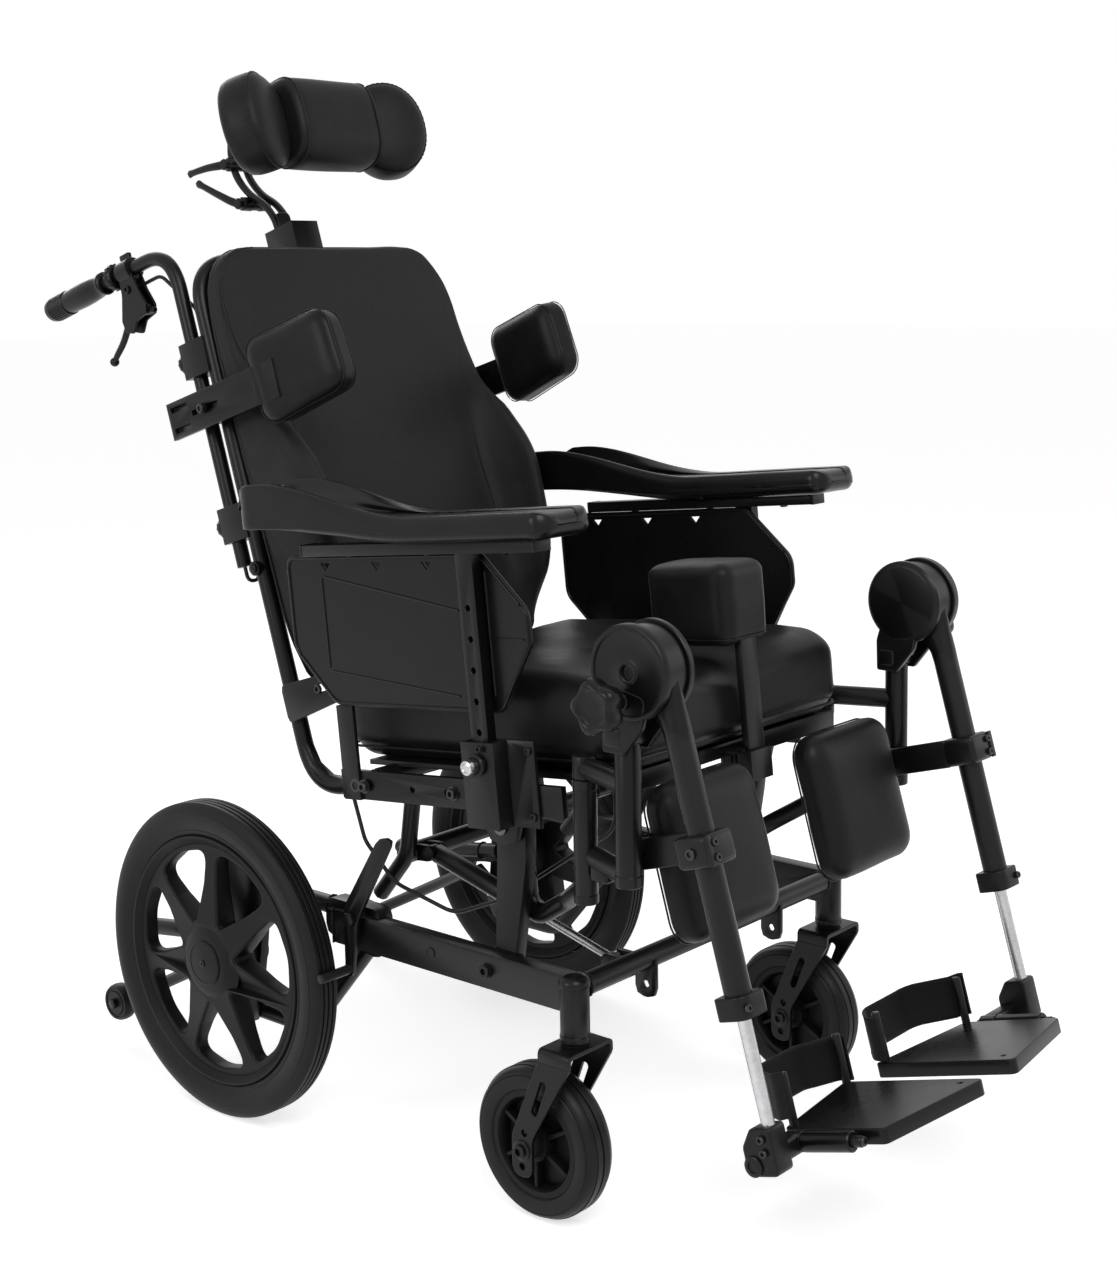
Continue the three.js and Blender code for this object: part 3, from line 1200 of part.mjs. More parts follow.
function armReceiver(side) {
  const railFace = SEAT_RAIL_OUT + SEAT_RAIL_THICKNESS / 2;
  const middleZ = RECEIVER_LOW_Z + RECEIVER_HEIGHT / 2;
  const channelX = railFace + RECEIVER_CHANNEL_DEPTH / 2;
  const overlap = RECEIVER_PLATE / 2;
  const flangeY = RECEIVER_CHANNEL_WIDTH / 2 + ARM_POST_Y - RECEIVER_WIDTH / 2 + overlap;
  const flange = block(RECEIVER_PLATE, RECEIVER_WIDTH, RECEIVER_HEIGHT, side * (railFace + overlap),
    flangeY, middleZ);
  const channel = block(RECEIVER_CHANNEL_DEPTH, RECEIVER_CHANNEL_WIDTH, RECEIVER_HEIGHT, side * channelX,
    ARM_POST_Y, middleZ);
  const slot = block(ARM_POST_DEPTH + 2 * ARM_SLOT_GAP, ARM_POST_WIDTH + 2 * ARM_SLOT_GAP, RECEIVER_HEIGHT,
    side * ARM_POST_OUT, ARM_POST_Y, middleZ + RECEIVER_PLATE);
  const outerFace = railFace + RECEIVER_CHANNEL_DEPTH;
  const boss = crossRod(outerFace, RECEIVER_PLATE / 2, RECEIVER_PLATE / 2, side, ARM_POST_Y, PIN_Z,
    PIN_HEAD_DIAMETER * 1.3, TUBE_SIDES);
  const hole = crossRod(outerFace, ARM_POST_DEPTH, RECEIVER_PLATE, side, ARM_POST_Y, PIN_Z,
    PIN_DIAMETER + 2 * RUN_GAP);
  const screws = [];
  const reach = RECEIVER_WIDTH / 2 - PIN_DIAMETER;
  [-1, 1].forEach((way) => {
    const z = middleZ + way * (RECEIVER_HEIGHT / 2 - PIN_DIAMETER * 1.5);
    screws.push(crossRod(railFace + RECEIVER_PLATE, RECEIVER_PLATE / 2, RECEIVER_PLATE / 2, side,
      flangeY - reach, z, PIN_DIAMETER));
  });
  return carve(fuse(flange, channel, boss, ...screws), slot, hole);
}

function seatSide(side) {
  const x = side * HANGER_OUT;
  const hanger = pipe([vec(x, HANGER_TOP_Y, REAR_SEAT_TUBE_Z), vec(x, HANGER_MID_Y, HANGER_MID_Z),
    vec(x, HANGER_END_Y, HANGER_END_Z)], HANGER_DIAMETER, HANGER_BEND);
  const jx = side * J_TUBE_OUT;
  const post = inHangerFrame(rod(vec(side * POST_OUT, 0, POST_BOTTOM), vec(side * POST_OUT, 0, POST_TOP),
    POST_DIAMETER, HOUSING_FACETS));
  const bore = inHangerFrame(rod(vec(side * POST_OUT, 0, POST_TOP - SWING_PIN_LENGTH),
    vec(side * POST_OUT, 0, POST_TOP + CUT_OVERRUN), SWING_PIN_DIAMETER + 2 * RUN_GAP, TUBE_SIDES));
  const postFoot = seatFromHanger(POST_BOTTOM + J_TUBE_DIAMETER);
  const jTube = pipe([vec(side * POST_OUT, postFoot.y, postFoot.z), vec(jx, (postFoot.y + J_TUBE_LOW_Y) / 2,
    (postFoot.z + J_TUBE_LOW_Z) / 2), vec(jx, J_TUBE_LOW_Y, J_TUBE_LOW_Z), vec(jx, J_TUBE_LOW_Y, SEAT_PAN_Z)],
  J_TUBE_DIAMETER, J_TUBE_BEND);
  const bracketX = side * (SEAT_RAIL_OUT + SEAT_RAIL_THICKNESS / 2 + RECEIVER_PLATE / 2);
  const bracketLow = SEAT_RAIL_Z - SEAT_RAIL_HEIGHT / 2;
  const bracketTop = GUARD_LOW_Z - FIT_GAP;
  const bracket = block(RECEIVER_PLATE, GUARD_BRACKET_WIDTH, bracketTop - bracketLow, bracketX,
    GUARD_BRACKET_Y, (bracketTop + bracketLow) / 2);
  return [carve(fuse(jTube, post), bore), hanger, seatRail(side), armReceiver(side), bracket];
}

function seatFromHanger(z) {
  return vec(0, -POST_REACH, z).applyAxisAngle(vec(1, 0, 0), SEAT_TILT_DEG * TO_RAD);
}

function pommelSocket() {
  const postY = CUSHION_FRONT_Y - POMMEL_POST_GAP - POMMEL_POST_THICKNESS / 2;
  const width = POMMEL_POST_WIDTH + 2 * RECEIVER_PLATE;
  const depth = POMMEL_POST_THICKNESS + 2 * RECEIVER_PLATE;
  const sleeve = block(width, depth, SEAT_RAIL_HEIGHT, 0, postY, SEAT_PAN_Z - SEAT_RAIL_HEIGHT / 2);
  const reach = SEAT_PAN_FRONT_Y - postY + SEAT_PAN_LIP;
  const arm = block(width, reach, SEAT_PAN_THICKNESS, 0, postY + reach / 2, SEAT_PAN_Z);
  const slot = block(POMMEL_POST_WIDTH + 2 * ARM_SLOT_GAP, POMMEL_POST_THICKNESS + 2 * ARM_SLOT_GAP,
    SEAT_RAIL_HEIGHT * 2, 0, postY, SEAT_PAN_Z - SEAT_RAIL_HEIGHT / 2);
  return carve(fuse(sleeve, arm), slot);
}

function seatFrame() {
  const reach = SEAT_RAIL_OUT;
  const panLength = SEAT_PAN_REAR_Y - SEAT_PAN_FRONT_Y;
  const panY = (SEAT_PAN_REAR_Y + SEAT_PAN_FRONT_Y) / 2;
  const panZ = SEAT_PAN_Z + SEAT_PAN_THICKNESS / 2;
  const pan = block(SEAT_PAN_WIDTH, panLength, SEAT_PAN_THICKNESS, 0, panY, panZ);
  const lip = block(SEAT_PAN_WIDTH, SEAT_PAN_THICKNESS, SEAT_PAN_LIP, 0,
    SEAT_PAN_FRONT_Y + SEAT_PAN_THICKNESS / 2, SEAT_PAN_Z + SEAT_PAN_THICKNESS - SEAT_PAN_LIP / 2);
  const rear = rod(vec(-reach, HANGER_TOP_Y, REAR_SEAT_TUBE_Z), vec(reach, HANGER_TOP_Y, REAR_SEAT_TUBE_Z),
    FRONT_SEAT_TUBE_DIAMETER);
  const postWall = (POST_DIAMETER - SWING_PIN_DIAMETER) / 2;
  const frontReach = POST_OUT - POST_DIAMETER / 2 + postWall / 2 - RUN_GAP;
  const front = rod(vec(-frontReach, FRONT_SEAT_TUBE_Y, FRONT_SEAT_TUBE_Z),
    vec(frontReach, FRONT_SEAT_TUBE_Y, FRONT_SEAT_TUBE_Z), FRONT_SEAT_TUBE_DIAMETER);
  const lower = rod(vec(-HANGER_OUT, REAR_TUBE_Y, HANGER_MID_Z), vec(HANGER_OUT, REAR_TUBE_Y, HANGER_MID_Z),
    REAR_TUBE_DIAMETER);
  return fuse(pan, lip, rear, front, lower, pommelSocket(), ...seatSide(-1), ...seatSide(1),
    ...lugPair(REAR_TUBE_Y, HANGER_MID_Z, -GAS_LUG_REACH));
}

// Seat cushion: boxed foam in a sewn cover, dished across, with a waterfall front edge
function seatCushion() {
  const length = CUSHION_REAR_Y - CUSHION_FRONT_Y;
  const shape = pad(CUSHION_WIDTH, length, CUSHION_HEIGHT, CUSHION_ROUND, CUSHION_ROUND / 3, CUSHION_DRAW_IN,
    CUSHION_SIDE_POINTS);
  const middle = (CUSHION_REAR_Y + CUSHION_FRONT_Y) / 2;
  const floor = SEAT_PAN_Z + SEAT_PAN_THICKNESS + FIT_GAP;
  return mapGeometry(shape, (point) => {
    const up = point.z / CUSHION_HEIGHT;
    const across = Math.min(1, Math.abs(point.x) / (CUSHION_WIDTH / 2));
    const toFront = Math.max(0, -point.y / (length / 2));
    const dish = CUSHION_DISH * (1 - across ** 2);
    const fall = CUSHION_ROUND * toFront ** 2;
    return vec(point.x, point.y + middle, floor + point.z - up ** 2 * (dish + fall));
  });
}

function pommelPost() {
  const postY = CUSHION_FRONT_Y - POMMEL_POST_GAP - POMMEL_POST_THICKNESS / 2;
  const top = POMMEL_LOW_Z + POMMEL_HEIGHT / 2;
  const height = top - POMMEL_POST_LOW_Z;
  return block(POMMEL_POST_WIDTH, POMMEL_POST_THICKNESS, height, 0, postY, POMMEL_POST_LOW_Z + height / 2);
}

function pommel() {
  const frontY = CUSHION_FRONT_Y - POMMEL_POST_GAP - POMMEL_POST_THICKNESS - POMMEL_CROWN;
  const shape = pad(POMMEL_WIDTH, POMMEL_DEPTH, POMMEL_HEIGHT, POMMEL_ROUND, POMMEL_CROWN);
  shape.translate(0, frontY + POMMEL_DEPTH / 2, POMMEL_LOW_Z);
  const postY = CUSHION_FRONT_Y - POMMEL_POST_GAP - POMMEL_POST_THICKNESS / 2;
  const slot = block(POMMEL_POST_WIDTH + 2 * FIT_GAP, POMMEL_POST_THICKNESS + 2 * FIT_GAP, POMMEL_HEIGHT,
    0, postY, POMMEL_LOW_Z + FIT_GAP);
  return carve(shape, slot);
}

// Armrest: post and bar, moulded pad with an elbow trough, side guard and locking plunger
function armrestPost(side) {
  const x = side * ARM_POST_OUT;
  const top = ARM_BAR_Z;
  const post = block(ARM_POST_DEPTH, ARM_POST_WIDTH, top - ARM_POST_LOW_Z, x, ARM_POST_Y,
    (top + ARM_POST_LOW_Z) / 2);
  const barY = (ARM_BAR_FRONT_Y + ARM_BAR_REAR_Y) / 2;
  const bar = block(ARM_BAR_WIDTH, ARM_BAR_REAR_Y - ARM_BAR_FRONT_Y, ARM_BAR_HEIGHT, x, barY, ARM_BAR_Z);
  const holes = [];
  for (let i = 0; i < 6; i += 1) {
    const z = PIN_Z + i * ARM_POST_HOLE_PITCH;
    holes.push(crossRod(ARM_POST_OUT, ARM_POST_DEPTH, ARM_POST_DEPTH, side, ARM_POST_Y, z,
      ARM_POST_HOLE + FIT_GAP));
  }
  return carve(fuse(post, bar), ...holes);
}

function armrestPin(side) {
  const outerFace = SEAT_RAIL_OUT + SEAT_RAIL_THICKNESS / 2 + RECEIVER_CHANNEL_DEPTH;
  const seat = outerFace + RECEIVER_PLATE / 2 + RUN_GAP;
  const postFace = ARM_POST_OUT + ARM_POST_DEPTH / 2 + FIT_GAP;
  const shaft = crossRod(seat, seat - postFace, PIN_HEAD_LENGTH / 2, side, ARM_POST_Y, PIN_Z, PIN_DIAMETER);
  const head = crossRod(seat, 0, PIN_HEAD_LENGTH, side, ARM_POST_Y, PIN_Z, PIN_HEAD_DIAMETER, TUBE_SIDES);
  return fuse(shaft, head);
}

const ARM_PAD_STATION_SHARES = [
  { along: 0, width: 0.5, lip: 0, thick: 0.45 },
  { along: 0.014, width: 0.86, lip: 0, thick: 0.85 },
  { along: 0.05, width: 1, lip: 0, thick: 1 },
  { along: 0.4, width: 0.98, lip: 0.03, thick: 1 },
  { along: 0.58, width: 0.94, lip: 0.12, thick: 1 },
  { along: 0.72, width: 0.94, lip: 0.45, thick: 1 },
  { along: 0.85, width: 0.96, lip: 0.85, thick: 1 },
  { along: 0.955, width: 0.88, lip: 1, thick: 0.95 },
  { along: 1, width: 0.6, lip: 0.86, thick: 0.55 },
];

function armPad(side) {
  const middle = (PAD_OUTER_OUT + PAD_INNER_OUT) / 2;
  const half = (PAD_OUTER_OUT - PAD_INNER_OUT) / 2;
  const floor = ARM_BAR_Z + ARM_BAR_HEIGHT / 2 + FIT_GAP;
  const round = PAD_THICKNESS / 4;
  const rings = ARM_PAD_STATION_SHARES.map((station) => {
    const y = PAD_FRONT_Y + station.along * (PAD_REAR_Y - PAD_FRONT_Y);
    const wide = half * station.width;
    const lip = PAD_LIP_RISE * station.lip;
    const inset = (PAD_THICKNESS * (1 - station.thick)) / 2;
    const low = floor + inset + PAD_HEEL_RISE * station.lip;
    const high = floor + PAD_THICKNESS - inset;
    const wall = Math.min(round * 2, wide * 0.5);
    const trough = high + lip * 0.3;
    return [
      [wide - round, low],
      [wide, low + round],
      [wide, high + lip - round],
      [wide - round, high + lip],
      [wide - wall, high + lip * 0.9],
      [wide * 0.35, trough],
      [-wide * 0.35, trough],
      [-wide + wall, high + lip * 0.9],
      [-wide + round, high + lip],
      [-wide, high + lip - round],
      [-wide, low + round],
      [-wide + round, low],
    ].map(([x, z]) => vec(side * middle + x, y, z));
  });
  return loft(rings);
}

function sideGuard(side) {
  const top = ARM_BAR_Z - ARM_BAR_HEIGHT / 2 - FIT_GAP;
  const chamfer = GUARD_CHAMFER;
  const outline = roundedOutline([
    [-chamfer / 3, GUARD_LOW_Z],
    [GUARD_REAR_Y - chamfer, GUARD_LOW_Z],
    [GUARD_REAR_Y, GUARD_LOW_Z + chamfer],
    [GUARD_REAR_Y, top],
    [GUARD_FRONT_Y + chamfer, top],
    [GUARD_FRONT_Y, top - chamfer],
    [GUARD_FRONT_Y, GUARD_LOW_Z + chamfer * 1.2],
  ], GUARD_BRACKET_WIDTH / 2);
  const panel = plate(outline, GUARD_PANEL, "x", side * GUARD_OUT);
  const notches = [0.22, 0.5, 0.76].map((share) => {
    const y = GUARD_REAR_Y + share * (ARM_POST_Y - GUARD_REAR_Y);
    const z = top - GUARD_NOTCH;
    return plate([[y - GUARD_NOTCH, z], [y, z - GUARD_NOTCH], [y + GUARD_NOTCH, z]], GUARD_PANEL * 2, "x",
      side * GUARD_OUT);
  });
  const ribX = side * (GUARD_OUT + GUARD_PANEL / 2);
  const ribFrom = [GUARD_REAR_Y - chamfer, top - GUARD_NOTCH * 3];
  const ribTo = [ARM_POST_Y + ARM_POST_WIDTH, top - chamfer];
  const ribLow = [GUARD_REAR_Y - chamfer, GUARD_LOW_Z + chamfer * 0.7];
  const ribLowTo = [ARM_POST_Y + ARM_POST_WIDTH, GUARD_LOW_Z + chamfer * 0.3];
  const ribs = [[ribFrom, ribTo], [ribFrom, ribLow], [ribLow, ribLowTo]].map(([from, to]) => {
    return rod(vec(ribX, ...from), vec(ribX, ...to), GUARD_RIB_WIDTH, ROD_SIDES);
  });
  return fuse(carve(panel, ...notches), ...ribs);
}

function addArmrests(seat) {
  [-1, 1].forEach((side) => {
    piece(seat, `armrest_post_${sideName(side)}`, armrestPost(side), finishes.frame);
    piece(seat, `arm_pad_${sideName(side)}`, armPad(side), finishes.plastic);
    piece(seat, `side_guard_${sideName(side)}`, sideGuard(side), finishes.plastic);
    piece(seat, `armrest_pin_${sideName(side)}`, armrestPin(side), finishes.steel);
  });
}

// Back frame: one bent tube, two crossbars, recline plates, handle sockets and the headrest box
function backSocket(side, z) {
  const x = side * HANDLE_OUT;
  const handleY = BACK_TUBE_Y + HANDLE_SET_BACK;
  const wide = HANDLE_TUBE_DIAMETER + 2 * SOCKET_WALL;
  const depth = HANDLE_SET_BACK + HANDLE_TUBE_DIAMETER / 2 + SOCKET_WALL;
  const body = block(wide, depth, SOCKET_LENGTH, x, BACK_TUBE_Y + depth / 2, z);
  const bore = rod(vec(x, handleY, z - SOCKET_LENGTH), vec(x, handleY, z + SOCKET_LENGTH),
    HANDLE_TUBE_DIAMETER + 2 * RUN_GAP, TUBE_SIDES);
  const knobY = BACK_TUBE_Y + depth;
  const knob = rod(vec(x, knobY - FIT_GAP, z), vec(x, knobY + SOCKET_KNOB_DIAMETER / 2, z),
    SOCKET_KNOB_DIAMETER);
  return fuse(carve(body, bore), knob);
}

function lateralClamp(side) {
  const inner = BACK_TUBE_OUT - BACK_TUBE_DIAMETER / 2;
  const outer = LATERAL_OUT - LATERAL_PLATE / 2 - FIT_GAP;
  const depth = BACK_TUBE_DIAMETER + 2 * SOCKET_WALL;
  const body = block(outer - inner, depth, LATERAL_HEIGHT * 0.8, (side * (outer + inner)) / 2, BACK_TUBE_Y,
    LATERAL_Z);
  const bolt = crossRod(outer, SOCKET_WALL, LATERAL_PLATE + 2 * FIT_GAP, side, BACK_TUBE_Y, LATERAL_Z,
    LATERAL_SLOT_WIDTH - 2 * ARM_SLOT_GAP);
  const face = outer + LATERAL_PLATE + 2 * FIT_GAP;
  const nut = crossRod(face, 0, LATERAL_PLATE, side, BACK_TUBE_Y, LATERAL_Z, LATERAL_SLOT_WIDTH * 2);
  return fuse(body, bolt, nut);
}

function reclinePlate(side) {
  const low = RECLINE_PLATE_Z - RECLINE_PLATE_HEIGHT / 2;
  const high = RECLINE_PLATE_Z + RECLINE_PLATE_HEIGHT / 2;
  const outline = roundedOutline([
    [BACK_TUBE_Y, low],
    [BACK_TUBE_Y, high],
    [RECLINE_PLATE_FRONT_Y + RECLINE_SLOT_LENGTH, high],
    [RECLINE_PLATE_FRONT_Y, high - RECLINE_PLATE_HEIGHT * 0.7],
  ], RECLINE_SLOT_WIDTH);
  const x = BACK_TUBE_OUT + BACK_TUBE_DIAMETER / 2 + RECLINE_PLATE_THICKNESS / 2;
  const slot = block(RECLINE_PLATE_THICKNESS * 2, RECLINE_SLOT_LENGTH, RECLINE_SLOT_WIDTH, side * x,
    RECLINE_PLATE_FRONT_Y + RECLINE_SLOT_LENGTH * 1.2, RECLINE_PLATE_Z + RECLINE_SLOT_WIDTH);
  const spacer = crossRod(x, RECLINE_PLATE_THICKNESS * 2, 0, side, BACK_TUBE_Y - BACK_TUBE_DIAMETER / 2,
    RECLINE_PLATE_Z, BACK_TUBE_DIAMETER);
  return fuse(carve(plate(outline, RECLINE_PLATE_THICKNESS, "x", side * x), slot), spacer);
}

function headBox(z, height) {
  const back = HEAD_BOX_Y + HEAD_BOX_DEPTH / 2;
  const depth = back - BACK_TUBE_Y;
  const body = block(HEAD_BOX_WIDTH, depth, height, 0, BACK_TUBE_Y + depth / 2, z);
  const slot = block(HEAD_POST_WIDTH + 2 * ARM_SLOT_GAP, HEAD_POST_DEPTH + 2 * ARM_SLOT_GAP, height * 2, 0,
    HEAD_BOX_Y, z);
  return carve(body, slot);
}

function backFrame() {
  const out = BACK_TUBE_OUT;
  const hoop = pipe([
    vec(-out, 0, 0),
    vec(-out, BACK_TUBE_Y, 0),
    vec(-out, BACK_TUBE_Y, BACK_TUBE_TOP_Z),
    vec(out, BACK_TUBE_Y, BACK_TUBE_TOP_Z),
    vec(out, BACK_TUBE_Y, 0),
    vec(out, 0, 0),
  ], BACK_TUBE_DIAMETER, BACK_TUBE_BEND);
  const stub = out + BACK_BAR_STUB;
  const lowBar = rod(vec(-stub, BACK_TUBE_Y, BACK_BAR_Z), vec(stub, BACK_TUBE_Y, BACK_BAR_Z),
    BACK_BAR_DIAMETER);
  const highBar = rod(vec(-out, BACK_TUBE_Y, BACK_UPPER_BAR_Z), vec(out, BACK_TUBE_Y, BACK_UPPER_BAR_Z),
    BACK_BAR_DIAMETER);
  const sides = [-1, 1].flatMap((side) => {
    const footEnd = SEAT_RAIL_OUT - SEAT_RAIL_THICKNESS / 2 - RUN_GAP - out;
    const foot = crossRod(out, BACK_TUBE_DIAMETER / 2, footEnd, side, 0, 0, BACK_FOOT_DIAMETER, TUBE_SIDES);
    const pinEnd = SEAT_RAIL_OUT + SEAT_RAIL_THICKNESS / 2 - FIT_GAP - out;
    const pin = crossRod(out, 0, pinEnd, side, 0, 0, RECLINE_PIN_DIAMETER);
    return [foot, pin, reclinePlate(side), lateralClamp(side), backSocket(side, LOW_SOCKET_Z),
      backSocket(side, HIGH_SOCKET_Z)];
  });
  const boxHeight = HEAD_BOX_HIGH_Z - HEAD_BOX_LOW_Z + BACK_TUBE_DIAMETER / 2;
  const boxZ = HEAD_BOX_HIGH_Z - boxHeight / 2;
  return fuse(hoop, lowBar, highBar, ...sides, headBox(boxZ, boxHeight), headBox(BACK_UPPER_BAR_Z,
    HEAD_BOX_DEPTH));
}

// Back cushion: a shell shape that is narrow at the shoulders, with side bolsters at the waist
const BACK_STATION_SHARES = [
  { up: 0, width: 0.9, wing: 0.5, thick: 0.5 },
  { up: 0.03, width: 1, wing: 0.62, thick: 0.85 },
  { up: 0.1, width: 1.01, wing: 0.76, thick: 1 },
  { up: 0.24, width: 1.015, wing: 0.95, thick: 1 },
  { up: 0.38, width: 1.02, wing: 1, thick: 1 },
  { up: 0.52, width: 0.985, wing: 0.92, thick: 1 },
  { up: 0.64, width: 0.93, wing: 0.68, thick: 1 },
  { up: 0.74, width: 0.87, wing: 0.36, thick: 1 },
  { up: 0.84, width: 0.8, wing: 0.12, thick: 1 },
  { up: 0.93, width: 0.71, wing: 0.03, thick: 1 },
  { up: 0.98, width: 0.62, wing: 0, thick: 0.86 },
  { up: 1, width: 0.52, wing: 0, thick: 0.5 },
];

function backCushion() {
  const height = BACK_CUSHION_TOP_Z - BACK_CUSHION_LOW_Z;
  const rings = BACK_STATION_SHARES.map((station) => {
    const z = BACK_CUSHION_LOW_Z + height * station.up;
    const half = BACK_WING_HALF_WIDTH * station.width;
    const thick = BACK_CUSHION_THICKNESS * station.thick;
    const rear = BACK_CUSHION_REAR_Y - (BACK_CUSHION_THICKNESS - thick) / 2;
    const front = rear - thick;
    const wing = BACK_WING_REACH * station.wing;
    const round = thick * 0.3;
    const flat = half - Math.min(BACK_WING_WIDTH, half / 2);
    const right = [
      [-flat * 0.45, front],
      [-flat, front - wing * 0.18],
      [-half + BACK_WING_WIDTH * 0.45, front - wing * 0.82],
      [-half + BACK_WING_WIDTH * 0.2, front - wing],
      [-half, front - wing + round],
      [-half - BACK_CUSHION_THICKNESS * 0.04, rear - thick * 0.45 - wing * 0.4],
      [-half, rear - round],
      [-half + round, rear],
      [-flat * 0.5, rear],
    ];
    const left = right.map(([x, y]) => [-x, y]).reverse();
    return [...right, ...left].map(([x, y]) => vec(x, y, z));
  });
  return loft(rings);
}

// Push handle: tube with a ribbed grip and the lever's housing, with the hand lever and its cable
function pushHandle(side) {
  const x = side * HANDLE_OUT;
  const y = BACK_TUBE_Y + HANDLE_SET_BACK;
  const tube = pipe([vec(x, y, HANDLE_LOW_Z), vec(x, y, HANDLE_GRIP_Z), vec(x, HANDLE_END_Y - GRIP_RIB_RISE,
    HANDLE_GRIP_Z)], HANDLE_TUBE_DIAMETER, HANDLE_BEND);
  const gripStart = HANDLE_END_Y - GRIP_LENGTH;
  const pitch = GRIP_LENGTH / (GRIP_RIBS + 1);
  const radius = GRIP_DIAMETER / 2;
  const slim = radius - GRIP_RIB_RISE;
  const profile = [[0, 0], [radius, 0], [radius, pitch / 2]];
  for (let i = 1; i < GRIP_RIBS; i += 1) {
    profile.push([slim, pitch * i], [radius, pitch * (i + 0.5)]);
  }
  profile.push([radius, GRIP_LENGTH - slim / 2], [slim / 2, GRIP_LENGTH], [0, GRIP_LENGTH]);
  const points = profile.map(([r, along]) => new THREE.Vector2(r, along));
  const grip = new THREE.LatheGeometry(points, TUBE_SIDES).translate(x, gripStart, HANDLE_GRIP_Z);
  const half = HANDLE_CLAMP_LENGTH / 2;
  const clamp = rod(vec(x, HANDLE_CLAMP_Y - half, HANDLE_GRIP_Z), vec(x, HANDLE_CLAMP_Y + half,
    HANDLE_GRIP_Z), HANDLE_CLAMP_DIAMETER);
  const cheekX = LEVER_THICKNESS / 2 + RUN_GAP + SOCKET_WALL / 2;
  const housing = [-1, 1].map((way) => block(SOCKET_WALL, HANDLE_CLAMP_LENGTH, LEVER_PIVOT_DROP + LEVER_WIDTH,
    x + way * cheekX, HANDLE_CLAMP_Y, HANDLE_GRIP_Z - (LEVER_PIVOT_DROP + LEVER_WIDTH) / 2));
  const pin = rod(vec(x - cheekX, HANDLE_CLAMP_Y, HANDLE_GRIP_Z - LEVER_PIVOT_DROP),
    vec(x + cheekX, HANDLE_CLAMP_Y, HANDLE_GRIP_Z - LEVER_PIVOT_DROP), LEVER_WIDTH / 2, ROD_SIDES);
  return fuse(tube, grip, clamp, ...housing, pin);
}

function handLever(side) {
  const x = side * HANDLE_OUT;
  const z = HANDLE_GRIP_Z - LEVER_PIVOT_DROP;
  const lowZ = HANDLE_GRIP_Z - LEVER_DROP;
  const tipY = HANDLE_CLAMP_Y + LEVER_REACH;
  const arm = pipe([vec(x, HANDLE_CLAMP_Y, z), vec(x, HANDLE_CLAMP_Y + LEVER_WIDTH, (z + lowZ) / 2),
    vec(x, tipY, lowZ)], LEVER_THICKNESS, LEVER_DROP / 2, ROD_SIDES);
  const half = LEVER_THICKNESS / 2;
  const eye = rod(vec(x - half, HANDLE_CLAMP_Y, z), vec(x + half, HANDLE_CLAMP_Y, z),
    LEVER_WIDTH + LEVER_THICKNESS / 2);
  const ball = new THREE.IcosahedronGeometry(LEVER_BALL_DIAMETER / 2, 1).translate(x, tipY, lowZ);
  const reach = LEVER_THICKNESS;
  const bore = rod(vec(x - reach, HANDLE_CLAMP_Y, z), vec(x + reach, HANDLE_CLAMP_Y, z),
    LEVER_WIDTH / 2 + 2 * RUN_GAP, ROD_SIDES);
  return carve(fuse(arm, eye, ball), bore);
}

function handleCable(side) {
  const tubeY = BACK_TUBE_Y + HANDLE_SET_BACK;
  const beside = side * (HANDLE_OUT - HANDLE_TUBE_DIAMETER / 2 - SOCKET_WALL - CABLE_DIAMETER);
  const x = side * HANDLE_OUT;
  const startY = HANDLE_CLAMP_Y - HANDLE_CLAMP_LENGTH / 2 - FIT_GAP;
  const startZ = HANDLE_GRIP_Z - LEVER_PIVOT_DROP * 0.9;
  const startX = x - side * (LEVER_THICKNESS / 2 + RUN_GAP + SOCKET_WALL / 2);
  const loop = HANDLE_LOW_Z - HANDLE_TUBE_DIAMETER;
  return pipe([
    vec(startX, startY, startZ),
    vec(startX, (startY + tubeY) / 2, startZ),
    vec(beside, tubeY, startZ - HANDLE_BEND),
    vec(beside, tubeY, loop),
    vec(x, tubeY, loop),
    vec(x, tubeY, HANDLE_LOW_Z - FIT_GAP),
  ], CABLE_DIAMETER, HANDLE_TUBE_DIAMETER, CABLE_SIDES);
}

function addPushHandles(back) {
  [-1, 1].forEach((side) => {
    piece(back, `push_handle_${sideName(side)}`, pushHandle(side), finishes.frame);
    piece(back, `hand_lever_${sideName(side)}`, handLever(side), finishes.plastic);
    piece(back, `handle_cable_${sideName(side)}`, handleCable(side), finishes.rubber);
  });
}

